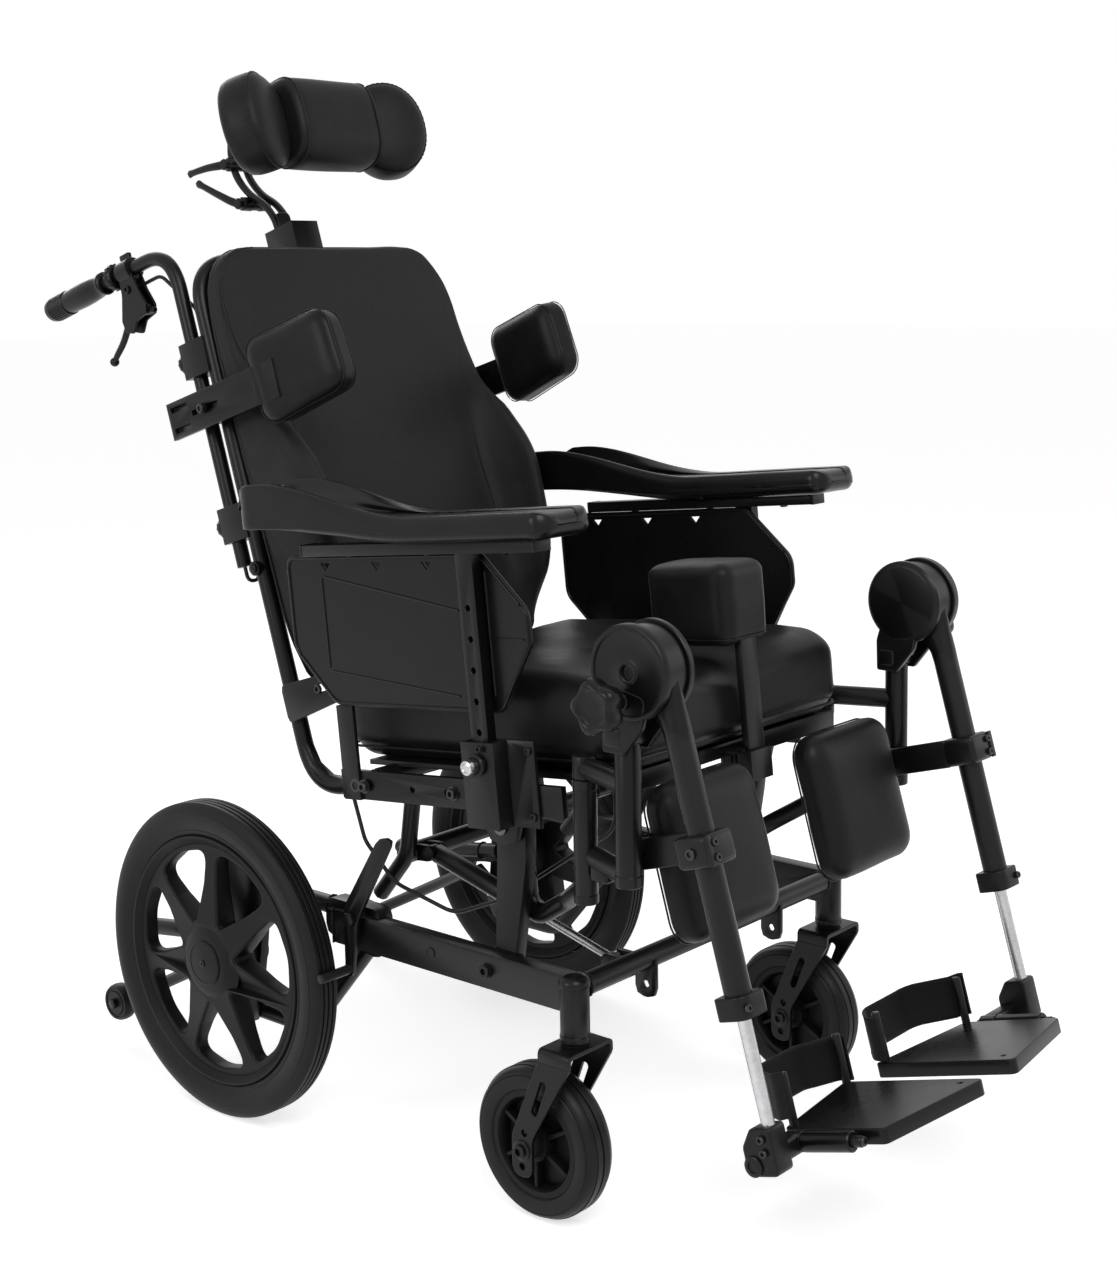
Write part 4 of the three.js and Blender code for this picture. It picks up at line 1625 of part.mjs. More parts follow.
// Lateral supports: a slotted plate that turns in behind a firm pad
function lateralBracket(side) {
  const length = LATERAL_REAR_Y - LATERAL_FRONT_Y;
  const middle = (LATERAL_REAR_Y + LATERAL_FRONT_Y) / 2;
  const long = block(LATERAL_PLATE, length, LATERAL_HEIGHT, side * LATERAL_OUT, middle, LATERAL_Z);
  const slotY = [BACK_TUBE_Y, LATERAL_REAR_Y - LATERAL_SLOT_LENGTH * 0.7];
  const rowZ = LATERAL_HEIGHT / 2 - LATERAL_SLOT_WIDTH * 1.5;
  const slots = [
    block(LATERAL_PLATE * 2, LATERAL_SLOT_LENGTH * 1.6, LATERAL_SLOT_WIDTH, side * LATERAL_OUT, slotY[0],
      LATERAL_Z),
    block(LATERAL_PLATE * 2, LATERAL_SLOT_LENGTH, LATERAL_SLOT_WIDTH, side * LATERAL_OUT, slotY[1],
    LATERAL_Z + rowZ),
    block(LATERAL_PLATE * 2, LATERAL_SLOT_LENGTH, LATERAL_SLOT_WIDTH, side * LATERAL_OUT, slotY[1],
    LATERAL_Z - rowZ),
  ];
  const padFace = LATERAL_PAD_OUT + LATERAL_PAD_THICKNESS / 2 + FIT_GAP;
  const across = LATERAL_OUT + LATERAL_PLATE / 2 - padFace;
  const turn = block(across, LATERAL_PLATE, LATERAL_HEIGHT, side * (padFace + across / 2),
    LATERAL_FRONT_Y + LATERAL_PLATE / 2, LATERAL_Z);
  const flange = block(LATERAL_PLATE, LATERAL_HEIGHT, LATERAL_HEIGHT, side * (padFace + LATERAL_PLATE / 2),
    LATERAL_FRONT_Y - LATERAL_HEIGHT / 2 + LATERAL_PLATE, LATERAL_Z);
  return fuse(carve(long, ...slots), turn, flange);
}

function lateralPad(side) {
  const shape = pad(LATERAL_PAD_LENGTH, LATERAL_PAD_HEIGHT, LATERAL_PAD_THICKNESS, LATERAL_PAD_ROUND,
    LATERAL_PAD_ROUND / 4);
  shape.rotateX(Math.PI / 2).rotateZ((side * -Math.PI) / 2);
  return shape.translate(side * (LATERAL_PAD_OUT + LATERAL_PAD_THICKNESS / 2), LATERAL_PAD_Y, LATERAL_PAD_Z);
}

// Headrest: stem with clamp levers, a middle roll and two hinged wings
function headPad(width, depth, height, shares) {
  const points = 14;
  const rings = shares.map((share) => {
    const ring = [];
    for (let i = 0; i < points; i += 1) {
      const angle = (FULL_TURN * i) / points;
      const round = 0.82;
      const c = Math.cos(angle);
      const s = Math.sin(angle);
      const y = Math.sign(c) * Math.abs(c) ** round * (depth / 2) * share.size;
      const z = Math.sign(s) * Math.abs(s) ** round * (height / 2) * share.size;
      ring.push(vec(width * share.along, y, z));
    }
    return ring;
  });
  return loft(rings);
}

const HEAD_ROLL_SHARES = [
  { along: -0.5, size: 0.66 },
  { along: -0.48, size: 0.84 },
  { along: -0.38, size: 0.96 },
  { along: 0, size: 1 },
  { along: 0.38, size: 0.96 },
  { along: 0.48, size: 0.84 },
  { along: 0.5, size: 0.66 },
];
const HEAD_WING_SHARES = [
  { along: 0, size: 0.6 },
  { along: 0.04, size: 0.8 },
  { along: 0.22, size: 0.97 },
  { along: 0.5, size: 1 },
  { along: 0.78, size: 0.95 },
  { along: 0.94, size: 0.78 },
  { along: 1, size: 0.5 },
];

function headStem() {
  const top = HEAD_BOX_HIGH_Z + HEAD_POST_WIDTH;
  const post = block(HEAD_POST_WIDTH, HEAD_POST_DEPTH, top - HEAD_POST_LOW_Z, 0, HEAD_BOX_Y,
    (top + HEAD_POST_LOW_Z) / 2);
  const barY = HEAD_PAD_FRONT_Y + HEAD_ROLL_DEPTH + FIT_GAP + HEAD_POST_DEPTH / 2;
  const arm = pipe([
    vec(0, HEAD_BOX_Y, top - HEAD_POST_DEPTH),
    vec(0, HEAD_BOX_Y, top + HEAD_POST_DEPTH),
    vec(0, HEAD_ARM_BACK_Y, top + HEAD_POST_WIDTH * 2),
    vec(0, HEAD_ARM_BACK_Y, HEAD_PAD_Z),
    vec(0, barY, HEAD_PAD_Z),
  ], HEAD_ARM_DIAMETER, HEAD_POST_WIDTH);
  const reach = HEAD_ROLL_WIDTH / 2 + HEAD_WING_GAP;
  const bar = rod(vec(-reach, barY, HEAD_PAD_Z), vec(reach, barY, HEAD_PAD_Z), HEAD_POST_DEPTH);
  const pins = [-1, 1].map((side) => rod(vec(side * reach, barY, HEAD_PAD_Z + HEAD_POST_DEPTH / 2),
    vec(side * reach, barY, HEAD_PAD_Z - HEAD_POST_WIDTH), HEAD_POST_DEPTH * 0.8, ROD_SIDES));
  const clamps = [
    { y: HEAD_ARM_BACK_Y, z: HEAD_PAD_Z, x: -HEAD_ARM_DIAMETER },
    { y: HEAD_ARM_BACK_Y - HEAD_POST_DEPTH, z: top + HEAD_POST_WIDTH * 1.5, x: HEAD_ARM_DIAMETER },
  ].flatMap((clamp) => {
    const across = HEAD_CLAMP_DIAMETER;
    const lean = HEAD_LEVER_LENGTH / 2;
    return [
      rod(vec(-across, clamp.y, clamp.z), vec(across, clamp.y, clamp.z), HEAD_CLAMP_DIAMETER),
      rod(vec(-across, clamp.y, clamp.z), vec(-across, clamp.y + HEAD_LEVER_LENGTH, clamp.z + lean),
        HEAD_POST_DEPTH, ROD_SIDES),
    ];
  });
  return fuse(post, arm, bar, ...pins, ...clamps);
}

function headWing(side) {
  const barY = HEAD_PAD_FRONT_Y + HEAD_ROLL_DEPTH + FIT_GAP + HEAD_POST_DEPTH / 2;
  const pinX = HEAD_ROLL_WIDTH / 2 + HEAD_WING_GAP;
  const shape = headPad(HEAD_WING_WIDTH, HEAD_WING_DEPTH, HEAD_WING_HEIGHT, HEAD_WING_SHARES);
  shape.rotateZ(-HEAD_WING_ANGLE_DEG * TO_RAD);
  const start = pinX + HEAD_WING_DEPTH * 0.18;
  shape.translate(start, HEAD_PAD_FRONT_Y + HEAD_ROLL_DEPTH * 0.6, HEAD_PAD_Z);
  const high = HEAD_PAD_Z - HEAD_POST_DEPTH / 2 - RUN_GAP;
  const low = HEAD_PAD_Z - HEAD_POST_WIDTH;
  const barrel = rod(vec(pinX, barY, low), vec(pinX, barY, high), HEAD_POST_DEPTH * 1.6);
  const leaf = block(HEAD_WING_DEPTH * 0.7, HEAD_POST_DEPTH / 2, high - low, 0, 0, (high + low) / 2);
  leaf.translate(HEAD_WING_DEPTH * 0.35, 0, 0).rotateZ(-HEAD_WING_ANGLE_DEG * 2 * TO_RAD).translate(pinX,
    barY, 0);
  const bore = rod(vec(pinX, barY, low - CUT_OVERRUN), vec(pinX, barY, high + CUT_OVERRUN),
    HEAD_POST_DEPTH * 0.8 + 2 * RUN_GAP, ROD_SIDES);
  const wing = carve(fuse(shape, barrel, leaf), bore).getMesh();
  const geometry = new THREE.BufferGeometry();
  geometry.setAttribute("position", new THREE.BufferAttribute(Float32Array.from(wing.vertProperties), 3));
  geometry.setIndex(Array.from(wing.triVerts));
  return geometry.scale(side, 1, 1);
}

function addHeadrest(back) {
  piece(back, "headrest_stem", headStem(), finishes.frame);
  const roll = headPad(HEAD_ROLL_WIDTH, HEAD_ROLL_DEPTH, HEAD_ROLL_HEIGHT, HEAD_ROLL_SHARES);
  roll.translate(0, HEAD_PAD_FRONT_Y + HEAD_ROLL_DEPTH / 2, HEAD_PAD_Z);
  piece(back, "headrest_roll", roll, finishes.vinyl);
  [-1, 1].forEach((side) => {
    piece(back, `headrest_wing_${sideName(side)}`, headWing(side), finishes.vinyl);
  });
}

// Legrest hanger: sleeve, two arms to the post, the knee drum's cheeks and its pin
function legrestHanger(side) {
  const x = side * HANGER_TUBE_OUT;
  const half = LEG_TUBE_DIAMETER / 2 + FIT_GAP;
  const bridgeLow = DRUM_Z - DRUM_RADIUS - HANGER_TUBE_DIAMETER;
  const bridgeTop = DRUM_Z - DRUM_RADIUS;
  const sleeve = rod(vec(x, HANGER_TUBE_Y, HANGER_TUBE_LOW), vec(x, HANGER_TUBE_Y, bridgeTop),
    HANGER_TUBE_DIAMETER);
  const width = 2 * (half + DRUM_CHEEK);
  const bridge = block(width, HANGER_TUBE_DIAMETER, bridgeTop - bridgeLow, x, HANGER_TUBE_Y,
    (bridgeLow + bridgeTop) / 2);
  const profile = [
    [0, 0],
    [DRUM_RADIUS, 0],
    [DRUM_RADIUS, DRUM_CHEEK - DRUM_EDGE_ROUND],
    [DRUM_RADIUS - DRUM_EDGE_ROUND, DRUM_CHEEK],
    [0, DRUM_CHEEK],
  ];
  const cheeks = [-1, 1].flatMap((way) => {
    const place = profile.map(([radius, along]) => [radius, way * along]);
    const at = x + way * half;
    const tab = block(DRUM_CHEEK, HANGER_TUBE_DIAMETER, DRUM_Z - bridgeTop, at + (way * DRUM_CHEEK) / 2,
      HANGER_TUBE_Y, (DRUM_Z + bridgeTop) / 2);
    return [turned(place, DRUM_FACETS, at, DRUM_Y, DRUM_Z), tab];
  });
  const pinEnd = half + DRUM_CHEEK;
  const pin = rod(vec(x - pinEnd, DRUM_Y, DRUM_Z), vec(x + pinEnd, DRUM_Y, DRUM_Z), DRUM_PIN_DIAMETER);
  const postX = side * POST_OUT;
  const topArm = rod(vec(x, HANGER_TUBE_Y, HANGER_ARM_TOP), vec(postX, 0, HANGER_ARM_TOP),
    HANGER_ARM_DIAMETER);
  const cap = rod(vec(postX, 0, HANGER_ARM_TOP - HANGER_ARM_DIAMETER / 2), vec(postX, 0, HANGER_ARM_TOP
    + HANGER_ARM_DIAMETER / 2), POST_DIAMETER);
  const swing = rod(vec(postX, 0, HANGER_ARM_TOP), vec(postX, 0, POST_TOP - SWING_PIN_LENGTH + RUN_GAP),
    SWING_PIN_DIAMETER);
  const lowArm = rod(vec(x, HANGER_TUBE_Y, HANGER_ARM_LOW), vec(postX, -POST_DIAMETER / 2, HANGER_ARM_LOW),
    HANGER_ARM_DIAMETER);
  const latch = block(LATCH_WIDTH, LATCH_WIDTH, LATCH_HEIGHT, postX, -POST_DIAMETER / 2 - RUN_GAP,
    HANGER_ARM_LOW - LATCH_HEIGHT / 3);
  const clear = rod(vec(postX, 0, POST_BOTTOM - LATCH_HEIGHT), vec(postX, 0, HANGER_ARM_TOP
    - HANGER_ARM_DIAMETER), POST_DIAMETER + 2 * RUN_GAP, HOUSING_FACETS);
  const knobHole = crossRod(HANGER_TUBE_OUT + half + DRUM_CHEEK, DRUM_CHEEK - FIT_GAP, CUT_OVERRUN, side,
    DRUM_Y + KNOB_Y, DRUM_Z + KNOB_Z, AXLE_DIAMETER + 2 * RUN_GAP, TUBE_SIDES);
  const body = fuse(sleeve, bridge, ...cheeks, pin, topArm, cap);
  return fuse(carve(fuse(body, lowArm, latch), clear, knobHole), swing);
}

function starKnob(side) {
  const face = HANGER_TUBE_OUT + LEG_TUBE_DIAMETER / 2 + FIT_GAP + DRUM_CHEEK;
  const radius = KNOB_DIAMETER / 2;
  const points = [];
  const steps = KNOB_LOBES * 6;
  for (let i = 0; i < steps; i += 1) {
    const angle = (FULL_TURN * i) / steps;
    const wave = 1 - KNOB_LOBE_DEPTH_SHARE * (0.5 - Math.cos(angle * KNOB_LOBES) / 2);
    points.push([radius * wave * Math.cos(angle), radius * wave * Math.sin(angle)]);
  }
  const middle = side * (face + KNOB_STAND_OFF + KNOB_THICKNESS / 2);
  const star = plate(points, KNOB_THICKNESS, "x", middle).translate(0, DRUM_Y + KNOB_Y, DRUM_Z + KNOB_Z);
  const neck = crossRod(face, -FIT_GAP, KNOB_STAND_OFF + KNOB_THICKNESS / 2, side, DRUM_Y + KNOB_Y,
    DRUM_Z + KNOB_Z, AXLE_DIAMETER * 1.6, TUBE_SIDES);
  const screw = crossRod(face, DRUM_CHEEK / 2, KNOB_STAND_OFF, side, DRUM_Y + KNOB_Y, DRUM_Z + KNOB_Z,
    AXLE_DIAMETER);
  return fuse(star, neck, screw);
}

// Lower leg: knuckle, tube and calf clamp, with the foot stem telescoping in the tube
function legTube(side) {
  const x = side * HANGER_TUBE_OUT;
  const half = LEG_TUBE_DIAMETER / 2;
  const knuckle = rod(vec(x - half, 0, 0), vec(x + half, 0, 0), (DRUM_RADIUS - LEG_TUBE_WALL) * 2,
    DRUM_FACETS);
  const tube = rod(vec(x, LEG_TUBE_Y, 0), vec(x, LEG_TUBE_Y, LEG_TUBE_LOW), LEG_TUBE_DIAMETER);
  const bore = rod(vec(x, LEG_TUBE_Y, FOOT_STEM_TOP + LEG_TUBE_DIAMETER * 1.5), vec(x, LEG_TUBE_Y,
    LEG_TUBE_LOW
    - CUT_OVERRUN), FOOT_STEM_DIAMETER + 2 * RUN_GAP);
  const hole = crossRod(HANGER_TUBE_OUT, LEG_TUBE_DIAMETER, LEG_TUBE_DIAMETER, side, 0, 0,
    DRUM_PIN_DIAMETER + 2 * RUN_GAP, TUBE_SIDES);
  const low = block(LEG_END_CLAMP_WIDTH, LEG_END_CLAMP_WIDTH, LEG_END_CLAMP_HEIGHT, x, LEG_TUBE_Y,
    LEG_TUBE_LOW + LEG_END_CLAMP_HEIGHT / 2);
  const collar = block(CALF_CLAMP_WIDTH, CALF_CLAMP_WIDTH, CALF_CLAMP_HEIGHT, x, LEG_TUBE_Y, CALF_CLAMP_Z);
  const padRear = CALF_PAD_FRONT_Y + CALF_PAD_THICKNESS + FIT_GAP;
  const armX = side * (HANGER_TUBE_OUT - CALF_CLAMP_WIDTH / 2 + CALF_ARM_PLATE / 2);
  const armLength = padRear + CALF_ARM_PLATE - LEG_TUBE_Y;
  const arm = block(CALF_ARM_PLATE, armLength, CALF_CLAMP_HEIGHT, armX, LEG_TUBE_Y + armLength / 2,
    CALF_CLAMP_Z);
  const padMiddle = (CALF_PAD_INNER_OUT + CALF_PAD_OUTER_OUT) / 2;
  const across = Math.abs(armX) + CALF_ARM_PLATE / 2 - padMiddle;
  const back = block(across, CALF_ARM_PLATE, CALF_CLAMP_HEIGHT, side * (padMiddle + across / 2),
    padRear + CALF_ARM_PLATE / 2, CALF_CLAMP_Z);
  return carve(fuse(knuckle, tube, low, collar, arm, back), bore, hole);
}

function calfPad(side) {
  const shape = pad(CALF_PAD_OUTER_OUT - CALF_PAD_INNER_OUT, CALF_PAD_TOP - CALF_PAD_LOW, CALF_PAD_THICKNESS,
    CALF_PAD_ROUND, CALF_PAD_CROWN);
  shape.rotateX(Math.PI / 2);
  return shape.translate((side * (CALF_PAD_INNER_OUT + CALF_PAD_OUTER_OUT)) / 2,
    CALF_PAD_FRONT_Y + CALF_PAD_THICKNESS, (CALF_PAD_TOP + CALF_PAD_LOW) / 2);
}

function footStem(side) {
  const x = side * HANGER_TUBE_OUT;
  const hingeZ = PLATE_TOP - PLATE_THICKNESS / 2;
  const half = FOOT_BLOCK_DEPTH / 2;
  const stem = rod(vec(x, LEG_TUBE_Y, FOOT_STEM_TOP), vec(x, LEG_TUBE_Y, hingeZ), FOOT_STEM_DIAMETER);
  const low = hingeZ - PLATE_HINGE_DIAMETER / 2;
  const height = FOOT_BLOCK_TOP - low;
  const clamp = block(FOOT_BLOCK_DEPTH * 0.7, FOOT_BLOCK_DEPTH, height, x, LEG_TUBE_Y + half / 2,
    low + height / 2);
  const lugEnd = HANGER_TUBE_OUT - PLATE_HINGE_OUT;
  const lugY = LEG_TUBE_Y + half * 1.5 - PLATE_HINGE_DIAMETER / 2;
  const lug = block(lugEnd, PLATE_HINGE_DIAMETER, PLATE_HINGE_DIAMETER, x - (side * lugEnd) / 2, lugY,
    hingeZ);
  const pinX = side * PLATE_HINGE_OUT;
  const eyeHalf = PLATE_HINGE_DIAMETER / 2 - FIT_GAP;
  const eye = rod(vec(pinX, lugY - eyeHalf, hingeZ), vec(pinX, lugY + eyeHalf, hingeZ), 2 * eyeHalf);
  const pin = rod(vec(pinX, lugY, hingeZ), vec(pinX, lugY - PLATE_BARREL - PLATE_HINGE_DIAMETER, hingeZ),
    AXLE_DIAMETER, ROD_SIDES);
  const disc = rod(vec(x, lugY, hingeZ), vec(x + side * FOOT_BLOCK_DEPTH * 0.42, lugY, hingeZ),
    PLATE_HINGE_DIAMETER);
  return fuse(stem, clamp, lug, eye, pin, disc);
}

function footplate(side) {
  const lugFront = LEG_TUBE_Y + FOOT_BLOCK_DEPTH * 0.75 - PLATE_HINGE_DIAMETER;
  const hingeZ = PLATE_TOP - PLATE_THICKNESS / 2;
  const inner = PLATE_INNER_OUT;
  const outer = PLATE_OUTER_OUT;
  const outline = roundedOutline([
    [inner, PLATE_REAR_Y],
    [inner, PLATE_NOSE_Y],
    [outer, PLATE_FRONT_Y],
    [outer, PLATE_REAR_Y - PLATE_CORNER * 2],
  ].map(([px, py]) => [side * px, py]), PLATE_CORNER);
  const board = plate(outline, PLATE_THICKNESS, "z", hingeZ);
  const barrelRear = lugFront - RUN_GAP;
  const barrelX = side * PLATE_HINGE_OUT;
  const barrel = rod(vec(barrelX, barrelRear, hingeZ), vec(barrelX, barrelRear - PLATE_BARREL, hingeZ),
    PLATE_HINGE_DIAMETER);
  const bore = rod(vec(barrelX, barrelRear + CUT_OVERRUN, hingeZ), vec(barrelX, barrelRear - PLATE_BARREL
    - CUT_OVERRUN, hingeZ), AXLE_DIAMETER + 2 * RUN_GAP, TUBE_SIDES);
  const posts = strapPosts(side).map((post) => rod(vec(post.x, post.y, hingeZ), vec(post.x, post.y, post.z),
    STRAP_POST_DIAMETER, ROD_SIDES));
  const webWidth = PLATE_HINGE_OUT - PLATE_OUTER_OUT + PLATE_CORNER;
  const web = block(webWidth, PLATE_BARREL, PLATE_THICKNESS * 0.6, barrelX - (side * webWidth) / 2,
    barrelRear - PLATE_BARREL / 2, hingeZ);
  return carve(fuse(board, barrel, web, ...posts), bore);
}

function strapPosts(side) {
  const height = STRAP_WIDTH + STRAP_LIFT;
  const blockRear = LEG_TUBE_Y + FOOT_BLOCK_DEPTH * 0.75;
  return [
    vec(side * (PLATE_INNER_OUT + STRAP_POST_DIAMETER), PLATE_REAR_Y - STRAP_POST_DIAMETER,
      PLATE_TOP + height),
    vec(side * (PLATE_OUTER_OUT - STRAP_POST_DIAMETER), blockRear + RUN_GAP + STRAP_POST_DIAMETER / 2,
      PLATE_TOP + height),
  ];
}

function heelStrap(side) {
  const [inner, outer] = strapPosts(side);
  const half = STRAP_WIDTH / 2;
  const z = PLATE_TOP + half + STRAP_LIFT / 2;
  const section = new THREE.Shape([
    new THREE.Vector2(-half, -STRAP_THICKNESS / 2),
    new THREE.Vector2(half, -STRAP_THICKNESS / 2),
    new THREE.Vector2(half, STRAP_THICKNESS / 2),
    new THREE.Vector2(-half, STRAP_THICKNESS / 2),
  ]);
  const gap = STRAP_POST_DIAMETER / 2 + STRAP_THICKNESS / 2 + FIT_GAP;
  const rear = PLATE_REAR_Y + STRAP_BOW;
  return sweep(section, [
    vec(inner.x - side * gap, inner.y - STRAP_POST_DIAMETER / 2, z),
    vec(inner.x - side * gap, inner.y + STRAP_POST_DIAMETER, z),
    vec(inner.x + side * STRAP_BOW, rear, z),
    vec(outer.x - side * STRAP_BOW, rear, z),
    vec(outer.x + side * gap, outer.y + STRAP_POST_DIAMETER, z),
    vec(outer.x + side * gap, outer.y - STRAP_POST_DIAMETER / 2, z),
  ], STRAP_BOW, 3);
}

function addLegrests(seat) {
  const frame = new THREE.Group();
  const origin = seatFromHanger(0);
  frame.position.set(0, origin.y, origin.z);
  frame.rotation.x = SEAT_TILT_DEG * TO_RAD;
  seat.add(frame);
  const leg = new THREE.Group();
  leg.position.set(0, DRUM_Y, DRUM_Z);
  leg.rotation.x = -LEG_ANGLE_DEG * TO_RAD;
  frame.add(leg);
  [-1, 1].forEach((side) => {
    piece(frame, `legrest_hanger_${sideName(side)}`, legrestHanger(side), finishes.frame);
    piece(frame, `star_knob_${sideName(side)}`, starKnob(side), finishes.plastic);
    piece(leg, `leg_tube_${sideName(side)}`, legTube(side), finishes.frame);
    piece(leg, `calf_pad_${sideName(side)}`, calfPad(side), finishes.vinyl);
    piece(leg, `foot_stem_${sideName(side)}`, footStem(side), finishes.frame);
    piece(leg, `footplate_${sideName(side)}`, footplate(side), finishes.plastic);
    piece(leg, `heel_strap_${sideName(side)}`, heelStrap(side), finishes.fabric);
  });
}

// Release cable: from the seat's rear rail, in a low loop, up to the front cross tube
function releaseCable() {
  const startZ = SEAT_RAIL_Z - SEAT_RAIL_HEIGHT / 2 - RUN_GAP;
  const endZ = FRONT_SEAT_TUBE_Z - FRONT_SEAT_TUBE_DIAMETER / 2 - FIT_GAP;
  const route = CABLE_ROUTE.map((point) => vec(...point));
  const first = vec(-SEAT_RAIL_OUT, route[0].y, startZ);
  const last = vec(route[route.length - 1].x, FRONT_SEAT_TUBE_Y, endZ);
  return pipe([first, ...route, last], CABLE_DIAMETER, CABLE_BEND, CABLE_SIDES);
}

function buildChair() {
  const chair = new THREE.Group();
  const body = new THREE.Group();
  chair.add(body);
  piece(body, "base_frame", baseFrame(), finishes.frame);
  addRearWheels(body);
  addCasters(body);
  [-1, 1].forEach((side) => {
    piece(body, `anti_tip_arm_${sideName(side)}`, antiTipArm(side), finishes.frame);
    piece(body, `anti_tip_wheel_${sideName(side)}`, antiTipWheel(side), finishes.rubber);
    piece(body, `parking_brake_${sideName(side)}`, parkingBrake(side), finishes.frame);
  });
  addGasSpring(body);
  const seat = new THREE.Group();
  seat.position.set(0, TILT_PIVOT_Y, TILT_PIVOT_Z);
  seat.rotation.x = -SEAT_TILT_DEG * TO_RAD;
  body.add(seat);
  piece(seat, "seat_frame", seatFrame(), finishes.frame);
  piece(seat, "seat_cushion", seatCushion(), finishes.vinyl);
  piece(seat, "pommel", pommel(), finishes.vinyl);
  piece(seat, "pommel_post", pommelPost(), finishes.frame);
  piece(seat, "release_cable", releaseCable(), finishes.rubber);
  addArmrests(seat);
  addLegrests(seat);
  const back = new THREE.Group();
  back.position.set(0, RECLINE_PIVOT_Y, RECLINE_PIVOT_Z);
  back.rotation.x = -BACK_RECLINE_DEG * TO_RAD;
  seat.add(back);
  piece(back, "back_frame", backFrame(), finishes.frame);
  piece(back, "back_cushion", backCushion(), finishes.fabric);
  addPushHandles(back);
  [-1, 1].forEach((side) => {
    piece(back, `lateral_bracket_${sideName(side)}`, lateralBracket(side), finishes.frame);
    piece(back, `lateral_pad_${sideName(side)}`, lateralPad(side), finishes.vinyl);
  });
  addHeadrest(back);
  chair.updateMatrixWorld(true);
  const box = new THREE.Box3().setFromObject(chair, true);
  body.position.set(-(box.min.x + box.max.x) / 2, -(box.min.y + box.max.y) / 2, -box.min.z);
  return chair;
}

export default buildChair();
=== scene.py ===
"""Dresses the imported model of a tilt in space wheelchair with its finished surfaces.

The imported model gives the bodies, the nodes and the joints, and every piece here rides on one of
its bodies. Sizes are in millimetres in the chair's own sub-assembly axes. A Placement turns them
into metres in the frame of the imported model. The pairs of a profile are a radius and a place
along the axis, and those of an outline or a line are two coordinates from the piece's own origin.
"""

import json
import logging
import math
from dataclasses import dataclass
from enum import Enum
from typing import Callable, Iterable, Optional, Sequence

import bmesh
import bpy
from mathutils import Matrix, Vector, noise


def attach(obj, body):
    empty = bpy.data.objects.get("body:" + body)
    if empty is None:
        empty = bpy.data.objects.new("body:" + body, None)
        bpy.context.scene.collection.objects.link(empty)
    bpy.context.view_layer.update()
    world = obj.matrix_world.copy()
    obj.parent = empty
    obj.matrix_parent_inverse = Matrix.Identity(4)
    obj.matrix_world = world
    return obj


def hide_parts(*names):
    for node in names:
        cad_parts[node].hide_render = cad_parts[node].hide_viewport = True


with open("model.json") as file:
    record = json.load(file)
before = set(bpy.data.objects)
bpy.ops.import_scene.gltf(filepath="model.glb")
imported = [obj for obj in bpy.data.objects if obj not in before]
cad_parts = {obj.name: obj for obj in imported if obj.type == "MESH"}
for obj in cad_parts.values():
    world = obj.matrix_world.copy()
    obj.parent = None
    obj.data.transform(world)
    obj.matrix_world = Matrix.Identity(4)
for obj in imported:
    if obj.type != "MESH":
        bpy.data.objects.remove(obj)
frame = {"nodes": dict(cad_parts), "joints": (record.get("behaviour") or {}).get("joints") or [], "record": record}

LOG = logging.getLogger("wheelchair")
MM = 0.001
SIDES = (("right", -1), ("left", 1))
SEAT_TILT_DEG = 5.5
BACK_LEAN_DEG = 17.0
LEG_LEAN_DEG = 16.0
SHARP_ANGLE = math.radians(38)
AXIS_RADIUS = 0.01

Point = tuple[float, float, float]
Flat = tuple[float, float]


# Places of the sub-assemblies


@dataclass(frozen=True)
class Placement:
    """The axes of one sub-assembly: its origin in metres and its lean about the X axis."""

    origin: Point
    lean_deg: float = 0.0

    def matrix(self) -> Matrix:
        """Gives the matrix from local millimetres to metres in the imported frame."""
        turn = Matrix.Rotation(math.radians(self.lean_deg), 4, "X")
        return Matrix.Translation(self.origin) @ turn @ Matrix.Scale(MM, 4)

    def out(self, point: Sequence[float]) -> Vector:
        """Turns a local point in millimetres into a point in metres."""
        return self.matrix() @ Vector(point)


def joint_place(name: str) -> Point:
    """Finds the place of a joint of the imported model.

    Args:
        name: The joint's name.

    Returns:
        The joint's place in metres.
    """
    joint = next(j for j in frame["joints"] if j["name"] == name)
    return tuple(joint["pos_m"])


AXLE = joint_place("rear_wheel_right_spin")
TILT = joint_place("seat_tilt")
CHAIR = Placement((0, AXLE[1], 0))
SEAT = Placement(TILT, -SEAT_TILT_DEG)
BACK = Placement(joint_place("back_recline"), -BACK_LEAN_DEG)
HANGER = Placement((0, joint_place("legrest_right_swing")[1], TILT[2]))
LEG = Placement((0, *joint_place("legrest_right_elevation")[1:]), -LEG_LEAN_DEG)


# Finishes


def math_node(tree: bpy.types.NodeTree, operation: str, a: bpy.types.NodeSocket,
              b: bpy.types.NodeSocket | float) -> bpy.types.NodeSocket:
    """Adds a math node on a socket and on another socket or a number.

    Args:
        tree: The node tree.
        operation: The node's operation.
        a: The first socket.
        b: The second socket, or a number.

    Returns:
        The node's result.
    """
    node = tree.nodes.new("ShaderNodeMath")
    node.operation = operation
    tree.links.new(a, node.inputs[0])
    if isinstance(b, bpy.types.NodeSocket):
        tree.links.new(b, node.inputs[1])
    else:
        node.inputs[1].default_value = b
    return node.outputs[0]


class Grain(Enum):
    """The fine relief of a finish."""

    POWDER = "powder"
    MOULDED = "moulded"
    LEATHER = "leather"
    WEAVE = "weave"
    RUBBER = "rubber"
    PLATED = "plated"


